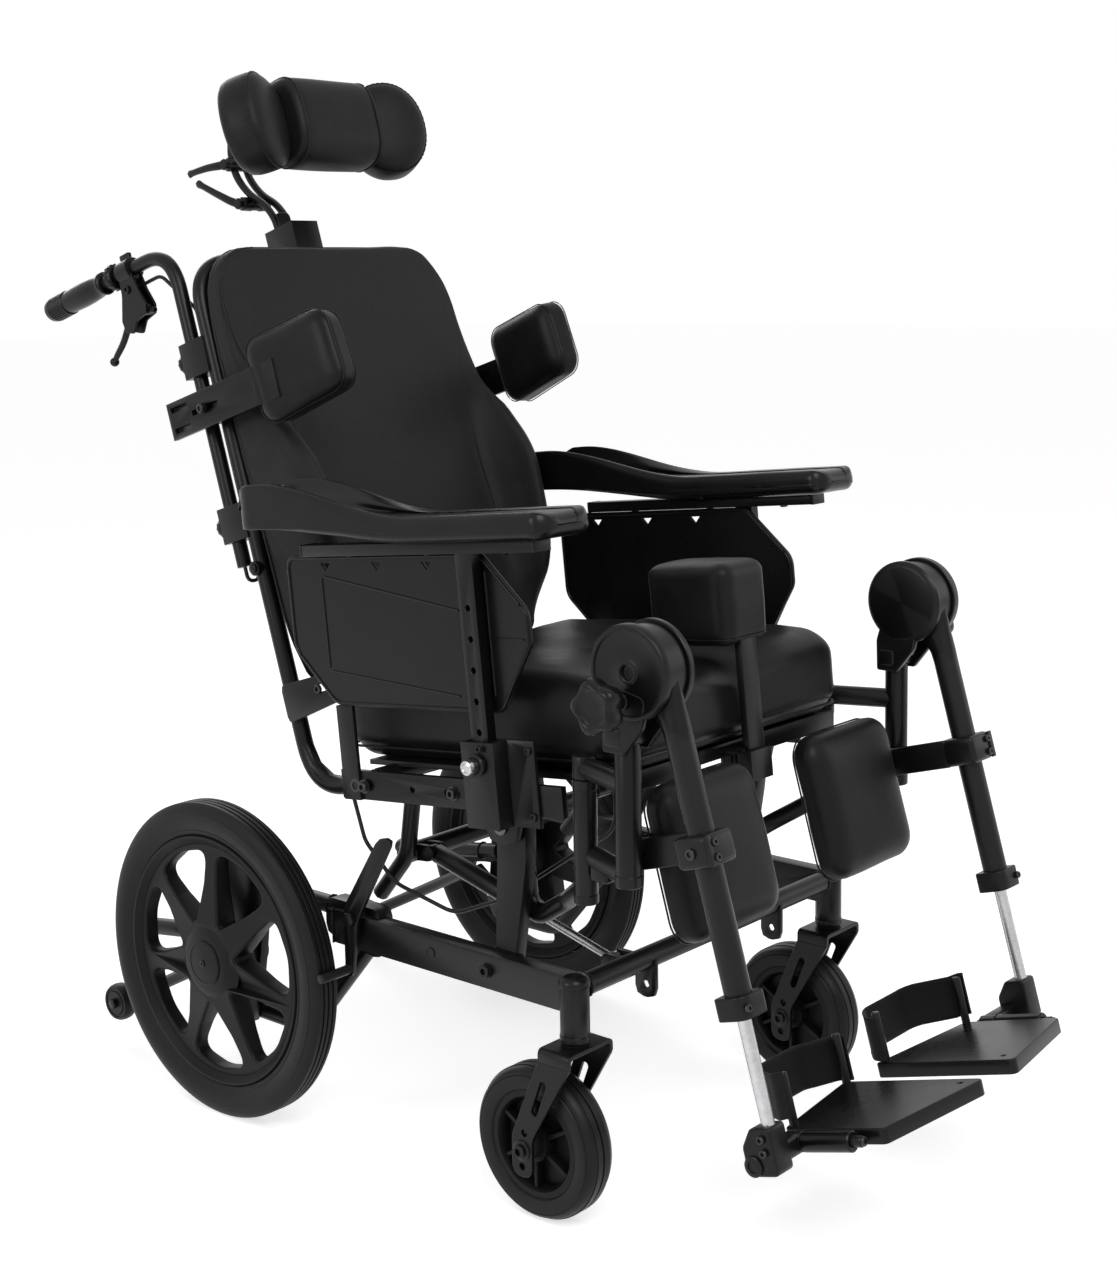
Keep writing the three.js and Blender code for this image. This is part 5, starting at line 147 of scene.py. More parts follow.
@dataclass(frozen=True)
class Finish:
    """One surface finish with its colour, gloss and relief.

    The grain size and the relief are in millimetres. The cloud size is that of the slow changes
    of tone and gloss that handling and dust leave on the real surface.
    """

    name: str
    colour: tuple[float, float, float]
    roughness: float
    grain: Grain
    grain_size: float
    relief: float
    slot: str
    metallic: float = 0.0
    specular: float = 0.5
    sheen: float = 0.0
    cloud_size: float = 60.0
    cloud_depth: float = 0.25
    wear: float = 0.0

    def material(self) -> bpy.types.Material:
        """Gives the finish as a material, made once.

        Returns:
            The node material.
        """
        known = bpy.data.materials.get(self.name)
        if known:
            return known
        material = bpy.data.materials.new(self.name)
        material.use_nodes = True
        tree = material.node_tree
        shader = tree.nodes["Principled BSDF"]
        shader.inputs["Metallic"].default_value = self.metallic
        shader.inputs["Specular IOR Level"].default_value = self.specular
        shader.inputs["Sheen Weight"].default_value = self.sheen
        shader.inputs["Sheen Roughness"].default_value = 0.45
        place = tree.nodes.new("ShaderNodeTexCoord").outputs["Object"]
        height = self._relief(tree, place)
        clouds = self._noise(tree, place, self.cloud_size, 3)
        self._tone(tree, shader, clouds, height)
        self._gloss(tree, shader, clouds)
        bump = tree.nodes.new("ShaderNodeBump")
        bump.inputs["Distance"].default_value = self.relief * MM
        bump.inputs["Strength"].default_value = 1.0
        tree.links.new(height, bump.inputs["Height"])
        tree.links.new(bump.outputs["Normal"], shader.inputs["Normal"])
        return material

    def _noise(self, tree: bpy.types.NodeTree, place: bpy.types.NodeSocket, size: float,
               detail: float) -> bpy.types.NodeSocket:
        """Adds a noise whose features are about the given size in millimetres."""
        node = tree.nodes.new("ShaderNodeTexNoise")
        node.inputs["Scale"].default_value = 1 / (size * MM)
        node.inputs["Detail"].default_value = detail
        tree.links.new(place, node.inputs["Vector"])
        return node.outputs["Fac"]

    def _bands(self, tree: bpy.types.NodeTree, place: bpy.types.NodeSocket, way: str,
               size: float) -> bpy.types.NodeSocket:
        """Adds parallel threads across one axis."""
        node = tree.nodes.new("ShaderNodeTexWave")
        node.bands_direction = way
        node.inputs["Scale"].default_value = 1 / (size * MM * 3.2)
        node.inputs["Distortion"].default_value = 0.6
        tree.links.new(place, node.inputs["Vector"])
        return node.outputs["Fac"]

    def _relief(self, tree: bpy.types.NodeTree, place: bpy.types.NodeSocket) -> bpy.types.NodeSocket:
        """Adds the grain and gives its height."""
        if self.grain is Grain.WEAVE:
            warp = self._bands(tree, place, "X", self.grain_size)
            weft = self._bands(tree, place, "Z", self.grain_size)
            threads = math_node(tree, "MAXIMUM", warp, weft)
            return math_node(tree, "MULTIPLY", threads, self._noise(tree, place, self.grain_size * 4, 4))
        if self.grain is Grain.LEATHER:
            cells = tree.nodes.new("ShaderNodeTexVoronoi")
            cells.feature = "DISTANCE_TO_EDGE"
            cells.inputs["Scale"].default_value = 1 / (self.grain_size * MM)
            tree.links.new(place, cells.inputs["Vector"])
            creases = self._noise(tree, place, self.grain_size * 9, 5)
            return math_node(tree, "ADD", cells.outputs["Distance"], creases)
        if self.grain is Grain.RUBBER:
            return self._noise(tree, place, self.grain_size, 2)
        if self.grain is Grain.PLATED:
            return self._noise(tree, place, self.grain_size * 6, 1)
        return self._noise(tree, place, self.grain_size, 5)

    def _tone(self, tree: bpy.types.NodeTree, shader: bpy.types.Node, clouds: bpy.types.NodeSocket,
              height: bpy.types.NodeSocket) -> None:
        """Adds the slow and the fine changes of tone, and the paler worn edges."""
        ramp = tree.nodes.new("ShaderNodeValToRGB")
        low, high = ramp.color_ramp.elements
        low.position, high.position = 0.3, 0.72
        low.color = (*[c * (1 - self.cloud_depth) for c in self.colour], 1)
        high.color = (*[c * (1 + self.cloud_depth) for c in self.colour], 1)
        middle = math_node(tree, "MULTIPLY", math_node(tree, "ADD", clouds, height), 0.5)
        tree.links.new(middle, ramp.inputs["Fac"])
        colour = ramp.outputs["Color"]
        if self.wear > 0:
            edges = tree.nodes.new("ShaderNodeNewGeometry")
            worn = tree.nodes.new("ShaderNodeValToRGB")
            worn.color_ramp.elements[0].position = 0.53
            worn.color_ramp.elements[1].position = 0.62
            tree.links.new(edges.outputs["Pointiness"], worn.inputs["Fac"])
            blend = tree.nodes.new("ShaderNodeMix")
            blend.data_type = "RGBA"
            blend.inputs["B"].default_value = (*[min(1, c + self.wear) for c in self.colour], 1)
            tree.links.new(worn.outputs["Color"], blend.inputs["Factor"])
            tree.links.new(colour, blend.inputs["A"])
            colour = blend.outputs["Result"]
        tree.links.new(colour, shader.inputs["Base Color"])

    def _gloss(self, tree: bpy.types.NodeTree, shader: bpy.types.Node,
               clouds: bpy.types.NodeSocket) -> None:
        """Adds the slow changes of gloss."""
        span = tree.nodes.new("ShaderNodeMapRange")
        span.inputs["To Min"].default_value = self.roughness * 0.82
        span.inputs["To Max"].default_value = min(1, self.roughness * 1.2)
        tree.links.new(clouds, span.inputs["Value"])
        tree.links.new(span.outputs["Result"], shader.inputs["Roughness"])


PAINT = Finish("satin_powder_coat", (0.004, 0.004, 0.0041), 0.31, Grain.POWDER, 0.9, 0.05, "frame_paint",
               specular=0.2, cloud_size=90, wear=0.008)
WHEEL_PLASTIC = Finish("moulded_wheel", (0.0045, 0.0045, 0.0046), 0.42, Grain.MOULDED, 0.7, 0.04,
                       "wheel_plastic", specular=0.14)
TYRE = Finish("matt_tyre", (0.006, 0.006, 0.006), 0.5, Grain.RUBBER, 1.2, 0.06, "tyre_rubber",
              specular=0.17, cloud_size=40, cloud_depth=0.35)
CASTER = Finish("satin_tyre", (0.0055, 0.0055, 0.0055), 0.42, Grain.RUBBER, 1.0, 0.04, "caster_rubber",
                specular=0.18, cloud_size=35)
PLASTIC = Finish("satin_plastic", (0.004, 0.004, 0.0041), 0.28, Grain.MOULDED, 0.8, 0.04, "black_plastic",
                 specular=0.2)
COVER = Finish("grained_cover", (0.0055, 0.0055, 0.0056), 0.4, Grain.LEATHER, 1.6, 0.10, "coated_cover",
               specular=0.14, sheen=0.01, cloud_size=45, cloud_depth=0.3)
HEAD_COVER = Finish("head_cover", (0.0095, 0.0095, 0.0097), 0.44, Grain.LEATHER, 1.4, 0.08, "coated_cover",
                    specular=0.13, sheen=0.01, cloud_size=45, cloud_depth=0.3)
CLOTH = Finish("stretch_cloth", (0.016, 0.016, 0.0162), 0.58, Grain.WEAVE, 1.3, 0.12, "woven_cover",
               specular=0.15, sheen=0.04, cloud_size=50, cloud_depth=0.3)
WEBBING = Finish("close_webbing", (0.006, 0.006, 0.0064), 0.66, Grain.WEAVE, 1.8, 0.2, "strap_webbing",
                 specular=0.14, sheen=0.04, cloud_size=30)
SHEATH = Finish("smooth_sheath", (0.007, 0.007, 0.007), 0.42, Grain.MOULDED, 0.6, 0.03, "cable_sheath",
                specular=0.28, cloud_size=25)
STEEL = Finish("plated_steel", (0.5, 0.5, 0.51), 0.26, Grain.PLATED, 0.8, 0.02, "bright_steel",
               metallic=1.0, cloud_size=20, cloud_depth=0.12)
BOLT_BLACK = Finish("blackened_steel", (0.012, 0.012, 0.0125), 0.3, Grain.PLATED, 0.8, 0.02, "frame_paint",
                    specular=0.42, cloud_size=20)
DARK_STEEL = Finish("dark_steel", (0.11, 0.11, 0.115), 0.3, Grain.PLATED, 0.8, 0.02, "bright_steel",
                    metallic=1.0, cloud_size=30, cloud_depth=0.15)


# Outlines and routes


def filleted(points: Sequence[Sequence[float]], radii: Sequence[float], steps: int = 6,
             closed: bool = True) -> list[Vector]:
    """Rounds the corners of an outline or of a route.

    Args:
        points: The corner points, flat or in space.
        radii: One radius for each corner.
        steps: The number of steps on each rounded corner.
        closed: Whether the last point joins the first.

    Returns:
        The points of the rounded line.
    """
    corners = [Vector(p) for p in points]
    count = len(corners)
    line: list[Vector] = []
    for i, corner in enumerate(corners):
        if not closed and i in (0, count - 1):
            line.append(corner)
            continue
        before = corners[i - 1] - corner
        after = corners[(i + 1) % count] - corner
        half = before.angle(after, math.pi) / 2
        reach = min(radii[i] / math.tan(half) if half > 1e-3 else 0, before.length * 0.49,
                    after.length * 0.49)
        if reach < 1e-3 or half > math.pi / 2 - 1e-3:
            line.append(corner)
            continue
        start = corner + before.normalized() * reach
        end = corner + after.normalized() * reach
        for k in range(steps + 1):
            t = k / steps
            line.append(start * (1 - t) ** 2 + corner * 2 * t * (1 - t) + end * t ** 2)
    return line


def circle(u: float, v: float, diameter: float, steps: int = 28) -> list[Flat]:
    """Gives a circle as an outline."""
    return [(u + x, v + y) for x, y in oval(diameter / 2, diameter / 2, steps)]


def turns(count: int) -> list[float]:
    """Gives the angles of an even turn."""
    return [2 * math.pi * k / count for k in range(count)]


def signed_power(value: float, power: float) -> float:
    """Raises a number to a power and keeps its sign."""
    return math.copysign(abs(value) ** power, value)


def eased(share: float) -> float:
    """Eases a share in at 0 and out at 1, and holds it between them."""
    share = max(0.0, min(1.0, share))
    return share * share * (3 - 2 * share)


def oval(wide: float, deep: float, count: int) -> list[Flat]:
    """Gives an oval section from its two half sizes."""
    return [(wide * math.cos(a), deep * math.sin(a)) for a in turns(count)]


def oblong(u: float, v: float, length: float, width: float, turn_deg: float = 0.0) -> list[Flat]:
    """Gives a slot with round ends as an outline.

    Args:
        u: The first coordinate of its middle.
        v: The second coordinate of its middle.
        length: Its whole length.
        width: Its width.
        turn_deg: The turn of its length from the first axis.

    Returns:
        The points of the outline.
    """
    half, radius = (length - width) / 2, width / 2
    c, s = math.cos(math.radians(turn_deg)), math.sin(math.radians(turn_deg))
    points = []
    for end in (1, -1):
        for k in range(9):
            a = math.pi * (k / 8 - 0.5) + (0 if end > 0 else math.pi)
            x, y = end * half + radius * math.cos(a), radius * math.sin(a)
            points.append((u + x * c - y * s, v + x * s + y * c))
    return points


# The workshop that makes pieces


class Maker:
    """Collects the shapes of one piece in its sub-assembly's axes, in millimetres."""

    def __init__(self, name: str, place: Placement, body: str, finish: Finish) -> None:
        """Starts a piece.

        Args:
            name: The piece's name.
            place: The axes that its sizes are given in.
            body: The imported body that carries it.
            finish: Its surface finish.
        """
        self.name = name
        self.place = place
        self.body = body
        self.finish = finish
        self.bm = bmesh.new()

    def ring_skin(self, rings: Sequence[Sequence[Sequence[float]]], closed: bool = False) -> None:
        """Joins rings of points with a skin, and closes its two ends unless they join.

        Args:
            rings: The rings, all with the same number of points.
            closed: Whether the last ring joins the first.
        """
        made = [[self.bm.verts.new(p) for p in ring] for ring in rings]
        count = len(made[0])
        pairs = list(zip(made, made[1:]))
        if closed:
            pairs.append((made[-1], made[0]))
        for low, high in pairs:
            for k in range(count):
                n = (k + 1) % count
                self.bm.faces.new((low[k], low[n], high[n], high[k]))
        if not closed:
            self.bm.faces.new(list(reversed(made[0])))
            self.bm.faces.new(made[-1])

    def tube(self, route: Sequence[Point], diameter: float, bend: float = 0.0, sides: int = 22,
             end_round: float = 0.9, steps: int = 8) -> None:
        """Adds a bent round tube.

        Args:
            route: Its corner points.
            diameter: Its outer diameter.
            bend: The radius of its bends.
            sides: The number of its sides.
            end_round: The rounding at its two ends.
            steps: The number of steps in a bend.
        """
        line = filleted(route, [bend] * len(route), steps, closed=False)
        radius = diameter / 2
        heading = (line[1] - line[0]).normalized()
        seed = Vector((0, 0, 1)) if abs(heading.z) < 0.9 else Vector((0, 1, 0))
        side = heading.cross(seed).normalized()
        stations = []
        for i, point in enumerate(line):
            ahead = line[min(i + 1, len(line) - 1)] - point
            behind = point - line[max(i - 1, 0)]
            way = (ahead.normalized() + behind.normalized()).normalized()
            side = (side - way * side.dot(way)).normalized()
            stations.append((point, way, side, 1.0))
        first, last = stations[0], stations[-1]
        rim = min(end_round, radius * 0.5)
        stations[0] = (first[0] + first[1] * rim, first[1], first[2], 1.0)
        stations[-1] = (last[0] - last[1] * rim, last[1], last[2], 1.0)
        stations.insert(0, (first[0], first[1], first[2], 1 - rim / radius))
        stations.append((last[0], last[1], last[2], 1 - rim / radius))
        rings = []
        for point, way, across, size in stations:
            other = way.cross(across)
            rings.append([point + (across * math.cos(a) + other * math.sin(a)) * radius * size
                          for a in turns(sides)])
        self.ring_skin(rings)

    def lathe(self, profile: Sequence[Flat], centre: Point, axis: str = "x", facets: int = 64,
              closed: bool = False, way: float = 1) -> None:
        """Adds a turned shape.

        Args:
            profile: Its points as radius and place along the axis.
            centre: The place of its axis.
            axis: The axis that it turns about, x, y or z.
            facets: The number of its facets.
            closed: Whether the profile is a closed loop.
            way: 1 or -1, the way that the profile runs on the axis.
        """
        shift = Vector(centre)
        rings = []
        for radius, along in profile:
            along *= way
            ring = []
            for u, v in oval(max(radius, AXIS_RADIUS), max(radius, AXIS_RADIUS), facets):
                point = {"x": (along, u, v), "y": (v, along, u), "z": (u, v, along)}[axis]
                ring.append(shift + Vector(point))
            rings.append(ring)
        self.ring_skin(rings, closed)

    def block(self, size: Point, centre: Point, rounding: float = 1.2, turn: Optional[Matrix] = None) -> None:
        """Adds a box with rounded edges.

        Args:
            size: Its three sizes.
            centre: Its middle.
            rounding: The radius of its edges.
            turn: Its turn about its middle.
        """
        made = bmesh.ops.create_cube(self.bm, size=1.0)["verts"]
        edges = list(dict.fromkeys(e for v in made for e in v.link_edges))
        place = Matrix.Translation(centre) @ (turn or Matrix.Identity(4)) @ Matrix.Diagonal((*size, 1))
        bmesh.ops.transform(self.bm, matrix=place, verts=made)
        width = min(rounding, min(size) * 0.45)
        bmesh.ops.bevel(self.bm, geom=edges, offset=width, segments=3, affect="EDGES", profile=0.5)

    def plate(self, outline: Sequence[Sequence[float]], thickness: float, axis: str, at: float,
              holes: Iterable[Sequence[Flat]] = (), rounding: float = 0.8) -> None:
        """Adds a flat plate with rounded edges and holes.

        Args:
            outline: Its outline in the two axes across it, in x, y, z order.
            thickness: Its thickness.
            axis: The axis across it.
            at: The place of its middle on that axis.
            holes: The outlines of its holes.
            rounding: The rounding of its edges.
        """
        curve = bpy.data.curves.new("outline", "CURVE")
        curve.dimensions = "2D"
        curve.fill_mode = "BOTH"
        curve.extrude = thickness / 2 - rounding
        curve.bevel_depth = rounding
        curve.bevel_resolution = 2
        curve.offset = -rounding
        for loop in [outline, *holes]:
            spline = curve.splines.new("POLY")
            spline.points.add(len(loop) - 1)
            for point, place in zip(spline.points, loop):
                point.co = (place[0], place[1], 0, 1)
            spline.use_cyclic_u = True
        carrier = bpy.data.objects.new("outline", curve)
        bpy.context.scene.collection.objects.link(carrier)
        graph = bpy.context.evaluated_depsgraph_get()
        mesh = bpy.data.meshes.new_from_object(carrier.evaluated_get(graph))
        turn = {"x": Matrix(((0, 0, 1, at), (1, 0, 0, 0), (0, 1, 0, 0), (0, 0, 0, 1))),
                "y": Matrix(((1, 0, 0, 0), (0, 0, -1, at), (0, 1, 0, 0), (0, 0, 0, 1))),
                "z": Matrix.Translation((0, 0, at))}[axis]
        mesh.transform(turn)
        self.bm.from_mesh(mesh)
        bpy.data.objects.remove(carrier)
        bpy.data.curves.remove(curve)
        bpy.data.meshes.remove(mesh)

    def bolt(self, centre: Point, way: float, diameter: float, height: float, axis: str = "x",
             socket: bool = True) -> None:
        """Adds the head of a bolt with a hexagon socket.

        Args:
            centre: The middle of its seat.
            way: 1 or -1, the way that it faces on its axis.
            diameter: The head's diameter.
            height: The head's height.
            axis: The axis of the bolt.
            socket: Whether the head has a socket.
        """
        shares = [(0.96, 0), (1, 0.2), (1, 0.75), (0.86, 1)]
        shares += [(0.52, 1), (0.46, 0.35), (0, 0.3)] if socket else [(0.5, 1.12), (0, 1.16)]
        self.lathe([(r * diameter / 2, h * height) for r, h in shares], centre, axis, 24, way=way)

    def washer(self, centre: Point, way: float, diameter: float, height: float) -> None:
        """Adds a flat washer that faces along the X axis."""
        self.lathe([(0, 0), (diameter / 2, 0), (diameter / 2, height), (0, height)], centre, "x", 32, way=way)

    def sweep(self, line: Sequence[Vector], section: Callable[[float], Iterable[Flat]],
              across: Point = (1, 0, 0)) -> None:
        """Adds a bar along a line.

        Args:
            line: The points of the line.
            section: Gives the section's points at a share of the way along the line.
            across: The axis that the section's first coordinate lies on.
        """
        axis, last = Vector(across), len(line) - 1
        rings = []
        for i, point in enumerate(line):
            other = axis.cross((line[min(i + 1, last)] - line[max(i - 1, 0)]).normalized())
            rings.append([point + axis * u + other * v for u, v in section(i / last)])
        self.ring_skin(rings)

    def done(self, *stands_for: str, sharp: float = SHARP_ANGLE) -> bpy.types.Object:
        """Ends the piece.

        Args:
            stands_for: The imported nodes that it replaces.
            sharp: The angle from which an edge is shown sharp.

        Returns:
            The object, riding on its body.
        """
        bmesh.ops.recalc_face_normals(self.bm, faces=self.bm.faces)
        mesh = bpy.data.meshes.new(self.name)
        self.bm.to_mesh(mesh)
        self.bm.free()
        mesh.transform(self.place.matrix())
        piece = bpy.data.objects.new(self.name, mesh)
        bpy.context.scene.collection.objects.link(piece)
        piece.data.shade_smooth()
        piece.data.set_sharp_from_angle(angle=sharp)
        settle(piece, self.body, self.finish, *stands_for)
        return piece


def settle(piece: bpy.types.Object, body: str, finish: Finish, *stands_for: str) -> None:
    """Gives a piece its finish, its body and the nodes that it stands for.

    Args:
        piece: The object.
        body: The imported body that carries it.
        finish: Its surface finish.
        stands_for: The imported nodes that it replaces.
    """
    piece.data.materials.clear()
    piece.data.materials.append(finish.material())
    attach(piece, body)
    if stands_for:
        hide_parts(*stands_for)


def apply_modifiers(piece: bpy.types.Object) -> None:
    """Applies every modifier of a piece to its mesh."""
    graph = bpy.context.evaluated_depsgraph_get()
    mesh = bpy.data.meshes.new_from_object(piece.evaluated_get(graph))
    piece.modifiers.clear()
    old = piece.data
    piece.data = mesh
    bpy.data.meshes.remove(old)


# The sub-assemblies of each side


@dataclass(frozen=True)
class Sided:
    """A sub-assembly that is made once for each side of the chair."""

    side_name: str
    side: int

    def maker(self, name: str, place: Placement, body: str, finish: Finish) -> Maker:
        """Starts a piece of this side, in a body that has the side's name in place of {}."""
        return Maker(f"{name}_{self.side_name}", place, body.format(self.side_name), finish)

    def soft_maker(self, name: str, place: Placement, body: str, finish: Finish) -> "SoftMaker":
        """Starts a soft or moulded piece of this side, in the body named in the same way."""
        return SoftMaker(f"{name}_{self.side_name}", place, body.format(self.side_name), finish)


# Wheels


@dataclass(frozen=True)
class RearWheel(Sided):
    """A moulded wheel with seven flared spokes and its solid tyre."""

    diameter: float = 406
    track: float = 590
    tyre_width: float = 41
    bead_width: float = 30
    rim_seat: float = 324
    rim_width: float = 34
    rim_depth: float = 14
    web: float = 20
    spokes: int = 7
    spoke_root: float = 46
    spoke_half: float = 8.5
    hub_diameter: float = 74
    hub_length: float = 58
    cap_diameter: float = 58
    cap_rise: float = 0.4
    flare: float = 13.5
    flat_width: float = 26
    groove_depth: float = 2.2
    groove_width: float = 2.4
    axle_height: float = 203

    def build(self) -> list[bpy.types.Object]:
        """Makes the wheel, its tyre and its cap screw."""
        return [self._wheel(), self._tyre(), self._cap_screw()]

    def _centre(self) -> Point:
        """Gives the middle of the wheel."""
        return (self.side * self.track / 2, 0, self.axle_height)

    def _window(self, number: int) -> list[Flat]:
        """Gives one window between two spokes: broad at the rim and pointed at the hub."""
        step = 2 * math.pi / self.spokes
        middle = step * (number + 0.5)
        outer = self.rim_seat / 2 - self.rim_depth - 6
        tip = self.spoke_root + 8
        reach = step / 2 - math.asin(self.spoke_half * 1.25 / outer)
        waist = step / 2 - math.asin(self.spoke_half * 1.5 / (outer * 0.7))
        corners = [(outer, middle - reach), (outer * 1.012, middle), (outer, middle + reach),
                   (outer * 0.7, middle + waist), (tip, middle + 3 / tip), (tip, middle - 3 / tip),
                   (outer * 0.7, middle - waist)]
        flat = [(r * math.sin(a), r * math.cos(a)) for r, a in corners]
        rounded = filleted([(u, v, 0) for u, v in flat], [20, 60, 20, 60, 2.6, 2.6, 60], 7)
        return [(p.x, p.y + self.axle_height) for p in rounded]

    def _flare(self, maker: Maker) -> None:
        """Raises the outer face of the spokes towards the hub, so that they run out into its cap."""
        x = self._centre()[0]
        hub, rim = self.hub_diameter / 2 + 4, self.rim_seat / 2 - self.rim_depth
        for vert in maker.bm.verts:
            if (vert.co.x - x) * self.side > self.web / 2 - 4:
                radius = math.hypot(vert.co.y, vert.co.z - self.axle_height)
                share = max(0.0, min(1.0, (radius - hub) / (rim - hub)))
                vert.co.x += self.side * self.flare * (1 - share) ** 1.6

    def _wheel(self) -> bpy.types.Object:
        """Makes the web with its windows, the rim, the hub and the cap."""
        maker = self.maker("wheel", CHAIR, "rear_wheel_{}_unit", WHEEL_PLASTIC)
        centre = self._centre()
        disc = circle(0, self.axle_height, self.rim_seat - 2 * self.rim_depth + 6, 96)
        windows = [self._window(k) for k in range(self.spokes)]
        maker.plate(disc, self.web, "x", centre[0], windows, 3.2)
        self._flare(maker)
        seat, half = self.rim_seat / 2, self.rim_width / 2
        inner = seat - self.rim_depth
        maker.lathe([(seat - 0.5, -half + 2), (seat - 2, -half), (seat - 5, -half),
                     (inner + 3, -self.web / 2 - 1.5), (inner, -self.web / 2 + 2),
                     (inner, self.web / 2 - 2), (inner + 3, self.web / 2 + 1.5), (seat - 5, half),
                     (seat - 2, half), (seat - 0.5, half - 2)], centre, "x", 112, True)
        hub, end, root = self.hub_diameter / 2, self.hub_length / 2, self.spoke_root
        maker.lathe([(0, -end), (hub - 5, -end), (hub - 3, -end + 2), (hub, -self.web / 2),
                     (root + 3, -self.web * 0.36), (root + 5, 0), (root + 3, self.web * 0.36),
                     (root + 9, self.web / 2 + 6), (hub + 4, end - 5.2), (hub - 3, end - 3), (0, end - 3)],
                    centre, "x", 72, way=self.side)
        cap = self.cap_diameter / 2
        maker.lathe([(0, end - 6), (cap, end - 5), (cap, end - 1.8), (cap - 0.9, end - 1),
                     (cap - 2.6, end - 0.7), (cap - 3.4, end - 1.3), (cap - 4.4, end - 1.2),
                     (cap * 0.4, end + 0.4), (0, end + 0.6)], centre, "x", 72, way=self.side)
        return maker.done(f"rear_wheel_{self.side_name}")

    def _tyre(self) -> bpy.types.Object:
        """Makes the tyre with its grooved tread and the moulding line on its side wall."""
        maker = self.maker("tyre", CHAIR, "rear_wheel_{}_unit", TYRE)
        radius, seat = self.diameter / 2, self.rim_seat / 2 + 0.3
        half, bead, flat = self.tyre_width / 2, self.bead_width / 2, self.flat_width / 2
        wall = radius - seat
        edge = [(seat, bead), (seat + wall * 0.12, bead + 2.2), (seat + wall * 0.16, bead + 1.6),
                (seat + wall * 0.3, half - 1.6), (seat + wall * 0.5, half), (seat + wall * 0.66, half - 0.5),
                (seat + wall * 0.68, half - 1.4), (seat + wall * 0.8, half - 2.2), (radius - 4, flat + 3.4),
                (radius - 1.2, flat + 1.2), (radius - 0.3, flat)]
        tread = []
        pitch = self.flat_width / 4
        for k in (-1, 0, 1):
            middle, w = k * pitch * 1.1, self.groove_width / 2
            floor = radius - self.groove_depth
            tread += [(radius - 0.05, middle - w - 0.5), (radius - 0.4, middle - w),
                      (floor, middle - w * 0.6), (floor, middle + w * 0.6), (radius - 0.4, middle + w),
                      (radius - 0.05, middle + w + 0.5)]
        left = [(r, -w) for r, w in edge]
        maker.lathe(left + tread + list(reversed(edge)), self._centre(), "x", 144, True)
        return maker.done(f"rear_tyre_{self.side_name}", sharp=math.radians(30))

    def _cap_screw(self) -> bpy.types.Object:
        """Makes the small screw in the middle of the cap."""
        maker = self.maker("cap_screw", CHAIR, "rear_wheel_{}_unit", PLASTIC)
        x, y, z = self._centre()
        maker.bolt((x + self.side * (self.hub_length / 2 + self.cap_rise), y, z), self.side, 9, 1.4)
        return maker.done()


